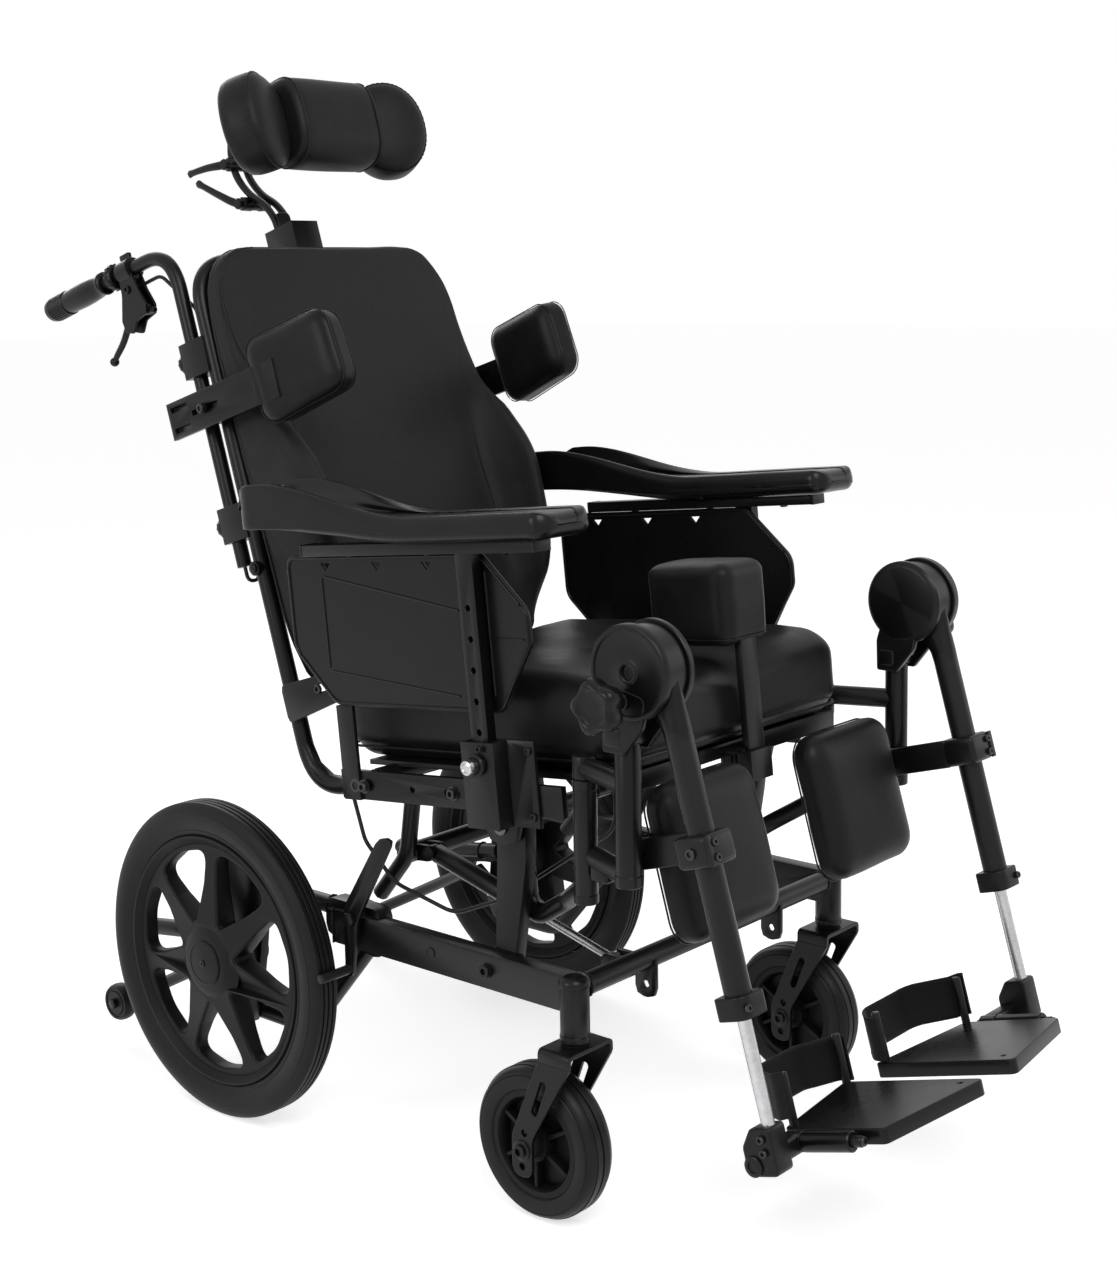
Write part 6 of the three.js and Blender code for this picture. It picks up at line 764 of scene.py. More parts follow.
@dataclass(frozen=True)
class Caster(Sided):
    """A front caster: its stem, its fork and its wheel."""

    diameter: float = 178
    width: float = 44
    track: float = 500
    stem_y: float = -558
    trail: float = 49
    rim_diameter: float = 116
    hub_diameter: float = 40
    hub_length: float = 62
    ribs: int = 6
    fork_width: float = 66
    fork_plate: float = 5
    crown_height: float = 215
    top_width: float = 46
    foot_width: float = 30
    slot_length: float = 46
    slot_width: float = 9

    def build(self) -> list[bpy.types.Object]:
        """Makes the fork, the wheel and the bolts."""
        return [self._fork(), self._wheel(), self._rubber(), self._bolts()]

    def _centre(self) -> Point:
        """Gives the middle of the wheel."""
        return (self.side * self.track / 2, self.stem_y + self.trail, self.diameter / 2)

    def _fork(self) -> bpy.types.Object:
        """Makes the two cheeks with their slots and holes, the crown and the stem."""
        maker = self.maker("fork", CHAIR, "caster_fork_{}_unit", PAINT)
        x, y, z = self._centre()
        top, foot = self.top_width / 2, self.foot_width / 2
        crown = self.crown_height
        bend = 15
        outline = filleted([(self.stem_y - top, crown - bend), (self.stem_y + top, crown - bend),
                            (y + foot, z + foot), (y + foot, z - foot * 2.1), (y - foot, z - foot * 2.1),
                            (y - foot, z + foot)], [2, 2, 30, foot, foot, 30])
        lean = math.degrees(math.atan2(z - crown, y - self.stem_y))
        middle = ((self.stem_y + y) / 2 - 2, (crown + z) / 2 + 4)
        holes = [oblong(*middle, self.slot_length, self.slot_width, lean), circle(y, z - 19, 8.5),
                 circle(y - 4, z + 21, 8.5)]
        for way in (-1, 1):
            at = x + way * (self.fork_width + self.fork_plate) / 2
            maker.plate(outline, self.fork_plate, "x", at, holes, 0.9)
        half = self.fork_width / 2 + self.fork_plate
        arch = []
        inner = half - self.fork_plate
        for start, end, level in ((-half, half, crown), (inner, -inner, crown - self.fork_plate)):
            way = 1 if end > start else -1
            radius = bend if way > 0 else bend - self.fork_plate
            points = [(start, crown - bend), (start, level), (end, level), (end, crown - bend)]
            arch += [(p.x, p.y) for p in filleted([(u, v, 0) for u, v in points], [0, radius, radius, 0], 8)]
        maker.plate([(u + x, v) for u, v in arch], self.top_width - 0.4, "y", self.stem_y, (), 0.9)
        maker.lathe([(0, crown - 2), (15, crown - 2), (15, crown + 1.4), (13, crown + 2.2), (10, crown + 2.4),
                     (10, crown + 55), (0, crown + 55)], (x, self.stem_y, 0), "z", 40)
        return maker.done(f"caster_fork_{self.side_name}")

    def _wheel(self) -> bpy.types.Object:
        """Makes the moulded hub, the web and its ribs."""
        maker = self.maker("caster_hub", CHAIR, "caster_wheel_{}_unit", WHEEL_PLASTIC)
        centre = self._centre()
        rim, half = self.rim_diameter / 2, self.width / 2 - 3
        maker.lathe([(rim + 3, -half), (rim - 3, -half), (rim - 5, -half + 3), (rim - 8, -7), (rim - 8, 7),
                     (rim - 5, half - 3), (rim - 3, half), (rim + 3, half)], centre, "x", 72, True)
        hub, end = self.hub_diameter / 2, self.hub_length / 2
        maker.lathe([(0, -end), (hub * 0.62, -end), (hub * 0.66, -end + 1), (hub * 0.72, -half - 1),
                     (hub, -half), (hub + 2, -5), (hub + 2, 5), (hub, half), (hub * 0.72, half + 1),
                     (hub * 0.66, end - 1), (hub * 0.62, end), (0, end)], centre, "x", 56)
        maker.lathe([(hub, -4), (rim - 6, -3), (rim - 6, 3), (hub, 4)], centre, "x", 72, True)
        for a in turns(self.ribs):
            turn = Matrix.Rotation(a, 4, "X")
            place = Vector(centre) + turn @ Vector((0, 0, (hub + rim - 6) / 2))
            maker.block((self.width - 12, 5, rim - hub - 4), tuple(place), 1.6, turn)
        return maker.done(f"caster_wheel_{self.side_name}")

    def _rubber(self) -> bpy.types.Object:
        """Makes the tread, with a groove at each side wall."""
        maker = self.maker("caster_tread", CHAIR, "caster_wheel_{}_unit", CASTER)
        radius, rim, half = self.diameter / 2, self.rim_diameter / 2, self.width / 2
        wall = radius - rim
        edge = [(rim + 1, half - 4), (rim + 3, half - 3), (rim + 4.4, half - 3.6), (rim + 6, half - 1.6),
                (rim + wall * 0.5, half), (rim + wall * 0.66, half - 0.6), (rim + wall * 0.7, half - 2.2),
                (rim + wall * 0.76, half - 1.8), (rim + wall * 0.86, half - 4), (radius - 1.4, half - 10),
                (radius, half - 16)]
        low = [(r, -w) for r, w in edge]
        tread = []
        for middle in (-8, 0, 8):
            tread += [(radius - 0.1, middle - 1.9), (radius - 0.7, middle - 1.2),
                      (radius - 2.2, middle - 0.7), (radius - 2.2, middle + 0.7),
                      (radius - 0.7, middle + 1.2), (radius - 0.1, middle + 1.9)]
        maker.lathe(low + tread + list(reversed(edge)), self._centre(), "x", 120, True)
        return maker.done(sharp=math.radians(30))

    def _bolts(self) -> bpy.types.Object:
        """Makes the axle's bolt heads on the two cheeks."""
        maker = self.maker("caster_bolts", CHAIR, "caster_fork_{}_unit", PAINT)
        x, y, z = self._centre()
        for way in (-1, 1):
            face = x + way * (self.fork_width / 2 + self.fork_plate)
            maker.lathe([(0, 0), (12, 0), (12, 1.2), (11, 1.8), (0, 1.8)], (face, y, z), "x", 32, way=way)
            maker.bolt((face + way * 1.6, y, z), way, 16, 5)
        return maker.done()


@dataclass(frozen=True)
class AntiTipWheel(Sided):
    """A small roller on the anti-tip arm."""

    place: Point = (233.8, 306, 54)
    diameter: float = 52
    width: float = 20

    def build(self) -> list[bpy.types.Object]:
        """Makes the roller with its rounded tread and its recessed face."""
        maker = self.maker("roller", CHAIR, "anti_tip_wheel_{}_unit", CASTER)
        x, y, z = self.place
        r, h = self.diameter / 2, self.width / 2
        profile = [(4.8, -h), (r * 0.62, -h), (r * 0.66, -h + 1.6), (r * 0.74, -h + 1.6), (r * 0.78, -h),
                   (r * 0.88, -h), (r * 0.97, -h * 0.6), (r, 0), (r * 0.97, h * 0.6), (r * 0.88, h),
                   (r * 0.78, h), (r * 0.74, h - 1.6), (r * 0.66, h - 1.6), (r * 0.62, h), (4.8, h)]
        maker.lathe(profile, (self.side * x, y, z), "x", 64, True)
        return [maker.done(f"anti_tip_wheel_{self.side_name}")]


# Sewn and moulded pads


def ease_line(points: Sequence[Vector], count: int, closed: bool = False) -> list[Vector]:
    """Lays an even smooth curve through points.

    Args:
        points: The points to pass through.
        count: The number of points wanted.
        closed: Whether the curve closes on itself.

    Returns:
        The points of the curve.
    """
    total = len(points)
    spans = total if closed else total - 1
    result = []
    for k in range(count):
        t = spans * k / (count if closed else count - 1)
        i = min(int(t), spans - 1)
        t -= i
        near = range(i - 1, i + 3)
        a, b, c, d = [points[j % total] if closed else points[max(0, min(total - 1, j))] for j in near]
        result.append(b + (c - a) * t / 2 + (a * 2 - b * 5 + c * 4 - d) * t * t / 2
                      + (b * 3 - a - c * 3 + d) * t ** 3 / 2)
    return result


class SoftMaker(Maker):
    """A maker for foam and sewn pieces."""

    def rounded_box(self, size: Point, radii: Point, shape: Callable[[Vector], Vector],
                    cuts: int = 23) -> None:
        """Adds a closed box with round edges, moved point by point into its form.

        Args:
            size: Its three sizes.
            radii: The rounding of its edges along the three axes.
            shape: Moves a point of the box, which stands on its local floor, to its place.
            cuts: The number of cuts on each face.
        """
        made = bmesh.ops.create_cube(self.bm, size=2.0)["verts"]
        edges = list(dict.fromkeys(e for v in made for e in v.link_edges))
        bmesh.ops.subdivide_edges(self.bm, edges=edges, cuts=cuts, use_grid_fill=True)
        half = Vector(size) / 2
        radius = Vector(min(r, h * 0.98) for r, h in zip(radii, half))
        inner_share = 0.6
        for vert in self.bm.verts:
            inner, over = Vector(), Vector()
            for k in range(3):
                t = abs(vert.co[k])
                way = math.copysign(1, vert.co[k])
                inner[k] = way * (half[k] - radius[k]) * min(1, t / inner_share)
                over[k] = way * max(0, t - inner_share) / (1 - inner_share)
            length = over.length
            reach = max(abs(c) for c in over)
            if length > 1e-6:
                over = over * (reach / length)
            point = Vector(inner[k] + over[k] * radius[k] for k in range(3))
            point.z += half.z
            vert.co = shape(point)

    def piping(self, points: Sequence[Vector], diameter: float, closed: bool = True, sides: int = 8) -> None:
        """Adds a sewn cord or a seam's ridge along a line.

        Args:
            points: The line.
            diameter: The cord's diameter.
            closed: Whether the line closes on itself.
            sides: The number of its sides.
        """
        count = len(points)
        rings = []
        for i, point in enumerate(points):
            ahead = points[(i + 1) % count] if closed or i + 1 < count else point
            behind = points[i - 1] if closed or i > 0 else point
            way = (Vector(ahead) - Vector(behind)).normalized()
            seed = Vector((0, 0, 1)) if abs(way.z) < 0.75 else Vector((0, 1, 0))
            across = way.cross(seed).normalized()
            other = way.cross(across)
            rings.append([Vector(point) + (across * math.cos(a) + other * math.sin(a)) * diameter / 2
                          for a in turns(sides)])
        self.ring_skin(rings, closed=closed)

    def crease(self, depth: float, size: float, seed: float, stretch: Point = (1, 1, 1)) -> None:
        """Moves the skin in and out in soft folds.

        Args:
            depth: The depth of the folds.
            size: Their size.
            seed: Picks one pattern of folds.
            stretch: How much closer the folds lie along each axis.
        """
        self.bm.normal_update()
        moves = []
        for vert in self.bm.verts:
            spot = Vector(c * s for c, s in zip(vert.co, stretch)) / size + Vector((seed, seed * 1.7,
                                                                                    seed * 2.3))
            moves.append((vert, vert.normal * depth * noise.noise(spot)))
        for vert, move in moves:
            vert.co += move


def rounded_rectangle(width: float, length: float, radius: float, steps: int = 8,
                      fill: int = 10) -> list[Flat]:
    """Gives the line round a rectangle with round corners, evenly set.

    Args:
        width: Its first size.
        length: Its second size.
        radius: The radius of its corners.
        steps: The steps on each corner.
        fill: The steps on each side.

    Returns:
        The points of the line.
    """
    points = []
    halves = (width / 2 - radius, length / 2 - radius)
    corners = ((1, 1), (-1, 1), (-1, -1), (1, -1))
    for number, (sx, sy) in enumerate(corners):
        start = math.pi / 2 * number
        arc = [(sx * halves[0] + radius * math.cos(start + math.pi / 2 * k / steps),
                sy * halves[1] + radius * math.sin(start + math.pi / 2 * k / steps))
               for k in range(steps + 1)]
        points += arc
        nx, ny = corners[(number + 1) % 4]
        turn = math.pi / 2 * (number + 1)
        after = (nx * halves[0] + radius * math.cos(turn), ny * halves[1] + radius * math.sin(turn))
        last = arc[-1]
        points += [(last[0] + (after[0] - last[0]) * k / fill, last[1] + (after[1] - last[1]) * k / fill)
                   for k in range(1, fill)]
    return points


@dataclass(frozen=True)
class SeatCushion:
    """The contoured seat cushion: two raised thighs with a valley between them."""

    width: float = 424
    front: float = -168
    rear: float = 296
    height: float = 118
    floor: float = 56.3
    dish: float = 9
    rounding: float = 17
    valley: float = 9
    valley_width: float = 62
    thigh: float = 9
    waist: float = 5
    seam_pull: float = 4.5
    seam_height: float = 15

    def build(self) -> list[bpy.types.Object]:
        """Makes the cushion with its piping."""
        maker = SoftMaker("cushion_seat", SEAT, "seat", COVER)
        length = self.rear - self.front
        maker.rounded_box((self.width - 3, length - 3, self.height - 2), (30, 44, 34), self._shape, 31)
        maker.crease(2.4, 95, 3.1, (1, 1, 0.7))
        maker.crease(0.7, 30, 8.4)
        low = [self._shape(Vector((x, y, self.seam_height)))
               for x, y in rounded_rectangle(self.width - 3, length - 3, 30)]
        maker.piping(low, 3.4)
        piece = maker.done("seat_cushion")
        return [piece]

    def _shape(self, point: Vector) -> Vector:
        """Moves a point of the plain box into the cushion's form.

        Args:
            point: A point of the box.

        Returns:
            Its place on the cushion.
        """
        half, length = self.width / 2, self.rear - self.front
        up = point.z / self.height
        across = min(1.0, abs(point.x) / half)
        to_front = max(0.0, -point.y / (length / 2))
        dish = self.dish * (1 - across ** 2)
        fall = self.rounding * to_front ** 2.4
        groove = self.valley * math.exp(-(point.x / self.valley_width) ** 2)
        crown = self.thigh * (1 - (2 * across - 1.15) ** 2) * (0.4 + 0.6 * to_front)
        z = self.floor + point.z + up ** 2 * (max(0, crown) - (dish + fall)) - up * groove * to_front ** 2
        pull = self.seam_pull * math.exp(-((point.z - self.seam_height) / 7) ** 2)
        waist = self.waist * math.sin(math.pi * min(1, max(0, up))) if up < 1 else 0
        x = point.x + math.copysign(1, point.x) * (0.3 * waist * across ** 4 - pull * across ** 6)
        y = point.y + (self.rear + self.front) / 2 + 0.9 * to_front ** 8 * (pull + groove * (0.3 + 0.7 * up))
        return Vector((x, y, z))


@dataclass(frozen=True)
class Pommel:
    """The block between the knees, on its flat post."""

    width: float = 88
    depth: float = 121
    height: float = 96
    low: float = 175
    front: float = -187
    bulge: float = 2.4

    def build(self) -> list[bpy.types.Object]:
        """Makes the covered block."""
        maker = SoftMaker("pommel_pad", SEAT, "pommel_unit", COVER)
        maker.rounded_box((self.width, self.depth, self.height), (19, 19, 14), self._shape, 17)
        maker.crease(1.1, 46, 5.2)
        seam = rounded_rectangle(self.width - 1, self.depth - 1, 18, 8, 8)
        ring = [self._shape(Vector((x, y, 9))) for x, y in seam]
        maker.piping(ring, 1.8)
        piece = maker.done("pommel")
        return [piece]

    def _shape(self, point: Vector) -> Vector:
        """Moves a point of the plain box into the pommel's form."""
        up = point.z / self.height
        bulge = self.bulge * math.sin(math.pi * up)
        across, along = point.x / (self.width / 2), point.y / (self.depth / 2)
        x = point.x * (0.965 + 0.03 * up) + bulge * across * (1 - along ** 2) * 0.5
        y = point.y * (0.975 + 0.02 * up) + bulge * along * (1 - across ** 2) * 0.5
        z = self.low + point.z + 3.0 * (1 - across ** 2) * (1 - along ** 2) * max(0, up * 2 - 1) - 1.5
        return Vector((x, y + self.front + self.depth / 2, z))


@dataclass(frozen=True)
class SidePad(Sided):
    """A pad on a side support: a rounded square block of firm foam."""

    length: float = 142
    height: float = 110
    thickness: float = 44
    out: float = 210
    middle_y: float = -32
    middle_z: float = 512
    seam: float = 0.78
    toe_in_deg: float = 8
    nose_up_deg: float = 5

    def build(self) -> list[bpy.types.Object]:
        """Makes the pad with the seam round its face."""
        maker = self.soft_maker("side_pad", BACK, "lateral_{}", COVER)
        maker.rounded_box((self.length, self.height, self.thickness), (25, 25, 15), self._shape, 17)
        maker.crease(0.9, 40, 2.0 + self.side)
        for level in (self.seam, 0.2):
            ring = [self._shape(Vector((u, v, self.thickness * level)))
                    for u, v in rounded_rectangle(self.length - 0.5, self.height - 0.5, 24)]
            maker.piping(ring, 1.5)
        piece = maker.done(f"lateral_pad_{self.side_name}")
        return [piece]

    def _shape(self, point: Vector) -> Vector:
        """Moves a point of the plain box into the pad's form and place."""
        up = point.z / self.thickness
        u, v = point.x / (self.length / 2), point.y / (self.height / 2)
        crown = 3.5 * (1 - u ** 2) * (1 - v ** 2) * (up - 0.3)
        taper = 1 - 0.05 * up
        along = point.x * taper
        high = point.y * taper * (1 - 0.05 * u)
        inward = self.thickness / 2 - (point.z + crown * 0.9)
        turn = Matrix.Rotation(math.radians(self.toe_in_deg * -self.side), 3, "Z")
        turn = turn @ Matrix.Rotation(math.radians(-self.nose_up_deg), 3, "X")
        return Vector((self.side * self.out, self.middle_y, self.middle_z)) + turn @ Vector(
            (self.side * inward, -along, high))


@dataclass(frozen=True)
class CalfPad(Sided):
    """A calf pad: a moulded pad with a soft crown and a rolled edge."""

    inner: float = 52
    outer: float = 226
    top: float = -126
    low: float = -302
    front: float = 41
    thickness: float = 42

    def build(self) -> list[bpy.types.Object]:
        """Makes the pad with the seam round its back."""
        maker = self.soft_maker("calf_cover", LEG, "lower_leg_{}", COVER)
        size = (self.outer - self.inner, self.top - self.low, self.thickness)
        maker.rounded_box(size, (30, 30, 17), self._shape, 19)
        maker.crease(1.2, 55, 6.5 + self.side)
        seam = rounded_rectangle(size[0] - 0.5, size[1] - 0.5, 30)
        ring = [self._shape(Vector((u, v, 9))) for u, v in seam]
        maker.piping(ring, 2.2)
        piece = maker.done(f"calf_pad_{self.side_name}")
        return [piece]

    def _shape(self, point: Vector) -> Vector:
        """Moves a point of the plain box into the pad's form and place."""
        width, height = self.outer - self.inner, self.top - self.low
        u, v = point.x / (width / 2), point.y / (height / 2)
        up = point.z / self.thickness
        crown = 5.0 * (1 - u ** 2) * (1 - v ** 2) * up
        lip = 2.0 * max(abs(u), abs(v)) ** 6 * up
        depth = self.front + self.thickness - point.z - crown + lip + 2.5
        x = self.side * (self.inner + self.outer) / 2 + point.x * (1 - 0.03 * up)
        return Vector((x, depth, (self.top + self.low) / 2 + point.y * (1 - 0.03 * up)))


@dataclass(frozen=True)
class BackCushion:
    """The shell-shaped back cushion: a thin upper back, and bolsters that reach forward at the waist.

    Each row of the section table gives a height, the half width there, how far back the front panel
    and the bolster's tip are, and how far out the seam between them runs.
    """

    low: float = 128
    top: float = 706
    rear: float = 120
    tip: float = 17
    lumbar: float = 6
    lumbar_z: float = 300
    lumbar_height: float = 95
    rings: int = 80
    points: int = 96
    sections: tuple[tuple[float, ...], ...] = (
        (128, 176, 70, 74, 128),
        (150, 190, 64, 60, 138),
        (196, 202, 58, 36, 150),
        (240, 206, 56, 14, 154),
        (284, 207, 56, 3, 156),
        (337, 208, 56, -1, 154),
        (390, 208, 58, 2, 152),
        (455, 210, 64, 33, 158),
        (506, 211, 74, 62, 172),
        (560, 212, 87, 87, 196),
        (618, 210, 93, 93, 200),
        (652, 204, 95.5, 95.5, 194),
        (676, 193, 96.5, 96.5, 182),
        (692, 178, 97, 97, 168),
        (702, 158, 98, 98, 148),
        (706, 132, 101, 101, 122),
    )

    def build(self) -> list[bpy.types.Object]:
        """Makes the cushion with its seams."""
        maker = SoftMaker("cushion_back", BACK, "back", CLOTH)
        rings = [ease_line(self._ring(k / (self.rings - 1)), self.points, True) for k in range(self.rings)]
        maker.ring_skin(rings)
        for face in list(maker.bm.faces):
            if len(face.verts) > 4:
                bmesh.ops.poke(maker.bm, faces=[face])
        maker.crease(2.2, 130, 1.4, (1.3, 1.3, 0.8))
        maker.crease(0.6, 34, 7.7)
        self._seams(maker, rings)
        piece = maker.done("back_cushion", sharp=math.radians(80))
        return [piece]

    def _section(self, z: float) -> tuple[float, ...]:
        """Reads the section table at one height."""
        rows, last = self.sections, len(self.sections) - 1
        for i, (a, b) in enumerate(zip(rows, rows[1:])):
            if z <= b[0] or i == last - 1:
                t = max(0.0, min(1.0, (z - a[0]) / (b[0] - a[0])))
                before, after = rows[max(0, i - 1)], rows[min(last, i + 2)]
                values = []
                for p, q, r, s in zip(before, a, b, after):
                    values.append(q + (r - p) * t / 2 + (p * 2 - q * 5 + r * 4 - s) * t * t / 2
                                  + (q * 3 - p - r * 3 + s) * t ** 3 / 2)
                return tuple(values[1:])
        return rows[-1][1:]

    def _ring(self, step: float) -> list[Vector]:
        """Gives the section of the cushion at one height.

        Args:
            step: The place from the foot, 0, to the top, 1, set closer at both ends.

        Returns:
            The points of the section.
        """
        z = self.low + (self.top - self.low) * (0.5 - 0.5 * math.cos(math.pi * step))
        half, front, reach, seam = self._section(z)
        middle = (front + self.rear) / 2
        end = min(z - self.low, self.top - z) / 11
        pinch = 0.34 + 0.66 * math.sqrt(max(0.0, 1 - (1 - min(1.0, end)) ** 2))
        front, reach, rear = (middle + (y - middle) * pinch for y in (front, reach, self.rear))
        lumbar = self.lumbar * math.exp(-((z - self.lumbar_z) / self.lumbar_height) ** 2)
        r = min(10.0, (rear - front) * 0.42)
        plain = [(seam, front), (half - r * 0.85, front + 0.4), (half - r * 0.42, front + r * 0.26),
                 (half - r * 0.1, front + r * 0.68), (half, front + r * 1.1)]
        tip = self.tip
        winged = [(seam, front + 0.8), (seam + (half - seam) * 0.42, front - (front - reach) * 0.5),
                  (half - tip * 1.2, reach + 0.5), (half - tip * 0.4, reach + tip * 0.2),
                  (half, reach + tip * 1.05)]
        k = eased((front - reach) / 34)
        edge = [(p[0] * (1 - k) + w[0] * k, p[1] * (1 - k) + w[1] * k) for p, w in zip(plain, winged)]
        side = edge[-1][1]
        right = [(seam * 0.22, front - lumbar), (seam * 0.68, front - lumbar * 0.6), *edge,
                 (half + 1, (side + rear - r) / 2), (half, rear - r * 0.8), (half - r * 0.5, rear - 0.6),
                 (half - r * 2, rear), (half * 0.4, rear)]
        line = [(-x, y) for x, y in right] + [(x, y) for x, y in reversed(right)]
        return [Vector((x, y, z)) for x, y in line]

    def _seams(self, maker: SoftMaker, rings: Sequence[Sequence[Vector]]) -> None:
        """Adds the seams of the front panel and the piping behind the boxing.

        Args:
            maker: The cushion's maker.
            rings: The sections of the cushion.
        """
        share = self.points // 24
        for place, diameter, first in ((2, 1.5, 6), (4, 1.4, 46), (8, 3.4, 6)):
            line = [ring[place * share] for ring in rings[first:-1]]
            other = [ring[(23 - place) * share] for ring in rings[first:-1]]
            maker.piping(line + list(reversed(other)) if place > 2 else line, diameter, closed=False)
            if place == 2:
                maker.piping(other, diameter, closed=False)


@dataclass(frozen=True)
class ArmPad(Sided):
    """A moulded arm pad: flat in front, with raised edges round the elbow."""

    inner: float = 214
    outer: float = 302
    front: float = -152
    rear: float = 346
    floor: float = 326.3
    thickness: float = 30
    lip_rise: float = 46
    heel_rise: float = 22
    rings: int = 64
    points: int = 72

    def build(self) -> list[bpy.types.Object]:
        """Makes the pad."""
        maker = SoftMaker(f"arm_pad_{self.side_name}_moulded", SEAT, f"armrest_{self.side_name}", PLASTIC)
        rings = [ease_line(self._ring(k / (self.rings - 1)), self.points, True) for k in range(self.rings)]
        maker.ring_skin(rings)
        maker.crease(0.5, 60, 4.0)
        return [maker.done(f"arm_pad_{self.side_name}", sharp=math.radians(70))]

    def _ring(self, step: float) -> list[Vector]:
        """Gives the section of the pad at one place along it.

        Args:
            step: The place from the front, 0, to the rear, 1, set closer at both ends.

        Returns:
            The points of the section.
        """
        along = 0.5 - 0.5 * math.cos(math.pi * step)
        ends = min(1.0, math.sqrt(max(0.0, 1 - (1 - min(1, along / 0.035)) ** 2)))
        ends *= min(1.0, 0.3 + 0.7 * math.sqrt(max(0.0, 1 - (1 - min(1, (1 - along) / 0.05)) ** 2)))
        lip_share = eased((along - 0.42) / 0.5)
        wide = (self.outer - self.inner) / 2 * (0.42 + 0.58 * ends) * (1 - 0.05 * math.sin(math.pi * along))
        lip = self.lip_rise * lip_share * (1 if along < 0.96 else 1 - (along - 0.96) * 3)
        inset = self.thickness / 2 * (1 - ends) * 0.9
        low = self.floor + inset + self.heel_rise * lip_share
        high = self.floor + self.thickness - inset
        r = min(9.0, wide * 0.4, (high - low) * 0.42)
        wall = min(r * 1.9, wide * 0.5)
        trough = high + lip * 0.22 - 1.5
        rear_wall = lip * max(0.0, (along - 0.93) / 0.07) * 0.75
        half = [(wide * 0.2, trough + rear_wall),
                (wide * 0.55, trough + 0.5 + lip * 0.06 + rear_wall * 0.95),
                (wide - wall * 1.15, high + lip * 0.62), (wide - wall * 0.6, high + lip * 0.97 + 0.4),
                (wide - r * 0.5, high + lip * 0.99), (wide - 0.5, high + lip - r * 0.8),
                (wide, high + lip - r * 2), (wide, low + r * 1.4), (wide - 0.6, low + r * 0.6),
                (wide - r, low), (wide * 0.4, low)]
        middle = self.side * (self.inner + self.outer) / 2
        y = self.front + along * (self.rear - self.front)
        other = [(-x, z) for x, z in reversed(half)]
        return [Vector((middle + x, y, z)) for x, z in half + other]


@dataclass(frozen=True)
class HeadRoll:
    """The middle pad of the headrest."""

    width: float = 150
    depth: float = 84
    height: float = 118
    front: float = 12
    middle_z: float = 858
    squareness: float = 0.72
    points: int = 56

    def build(self) -> list[bpy.types.Object]:
        """Makes the roll with piping near its two ends."""
        maker = SoftMaker("head_roll", BACK, "headrest", HEAD_COVER)
        ends = (self.width - 4) / 2
        table = [(-ends, 0.8), (-ends + 2, 0.9), (-ends + 7, 0.965), (-ends + 16, 0.99)]
        table += [(-ends + 16 + k * (2 * ends - 32) / 10, 0.99 + 0.012 * math.sin(math.pi * k / 10))
                  for k in range(1, 10)]
        table += [(-x, s) for x, s in reversed(table[:4])]
        rings = [self._ring(x, s) for x, s in table]
        maker.ring_skin(rings)
        maker.crease(1.3, 50, 9.3, (0.5, 1, 1))
        for at in (-ends + 9, ends - 9):
            maker.piping(self._ring(at, 0.98), 2.6)
        piece = maker.done("headrest_roll")
        return [piece]

    def _ring(self, x: float, size: float) -> list[Vector]:
        """Gives one section of the roll."""
        ring = []
        for c, s in oval(1, 1, self.points):
            y = signed_power(c, self.squareness) * self.depth / 2 * size
            z = signed_power(s, self.squareness) * self.height / 2 * size
            ring.append(Vector((x, self.front + self.depth / 2 + y, self.middle_z + z)))
        return ring


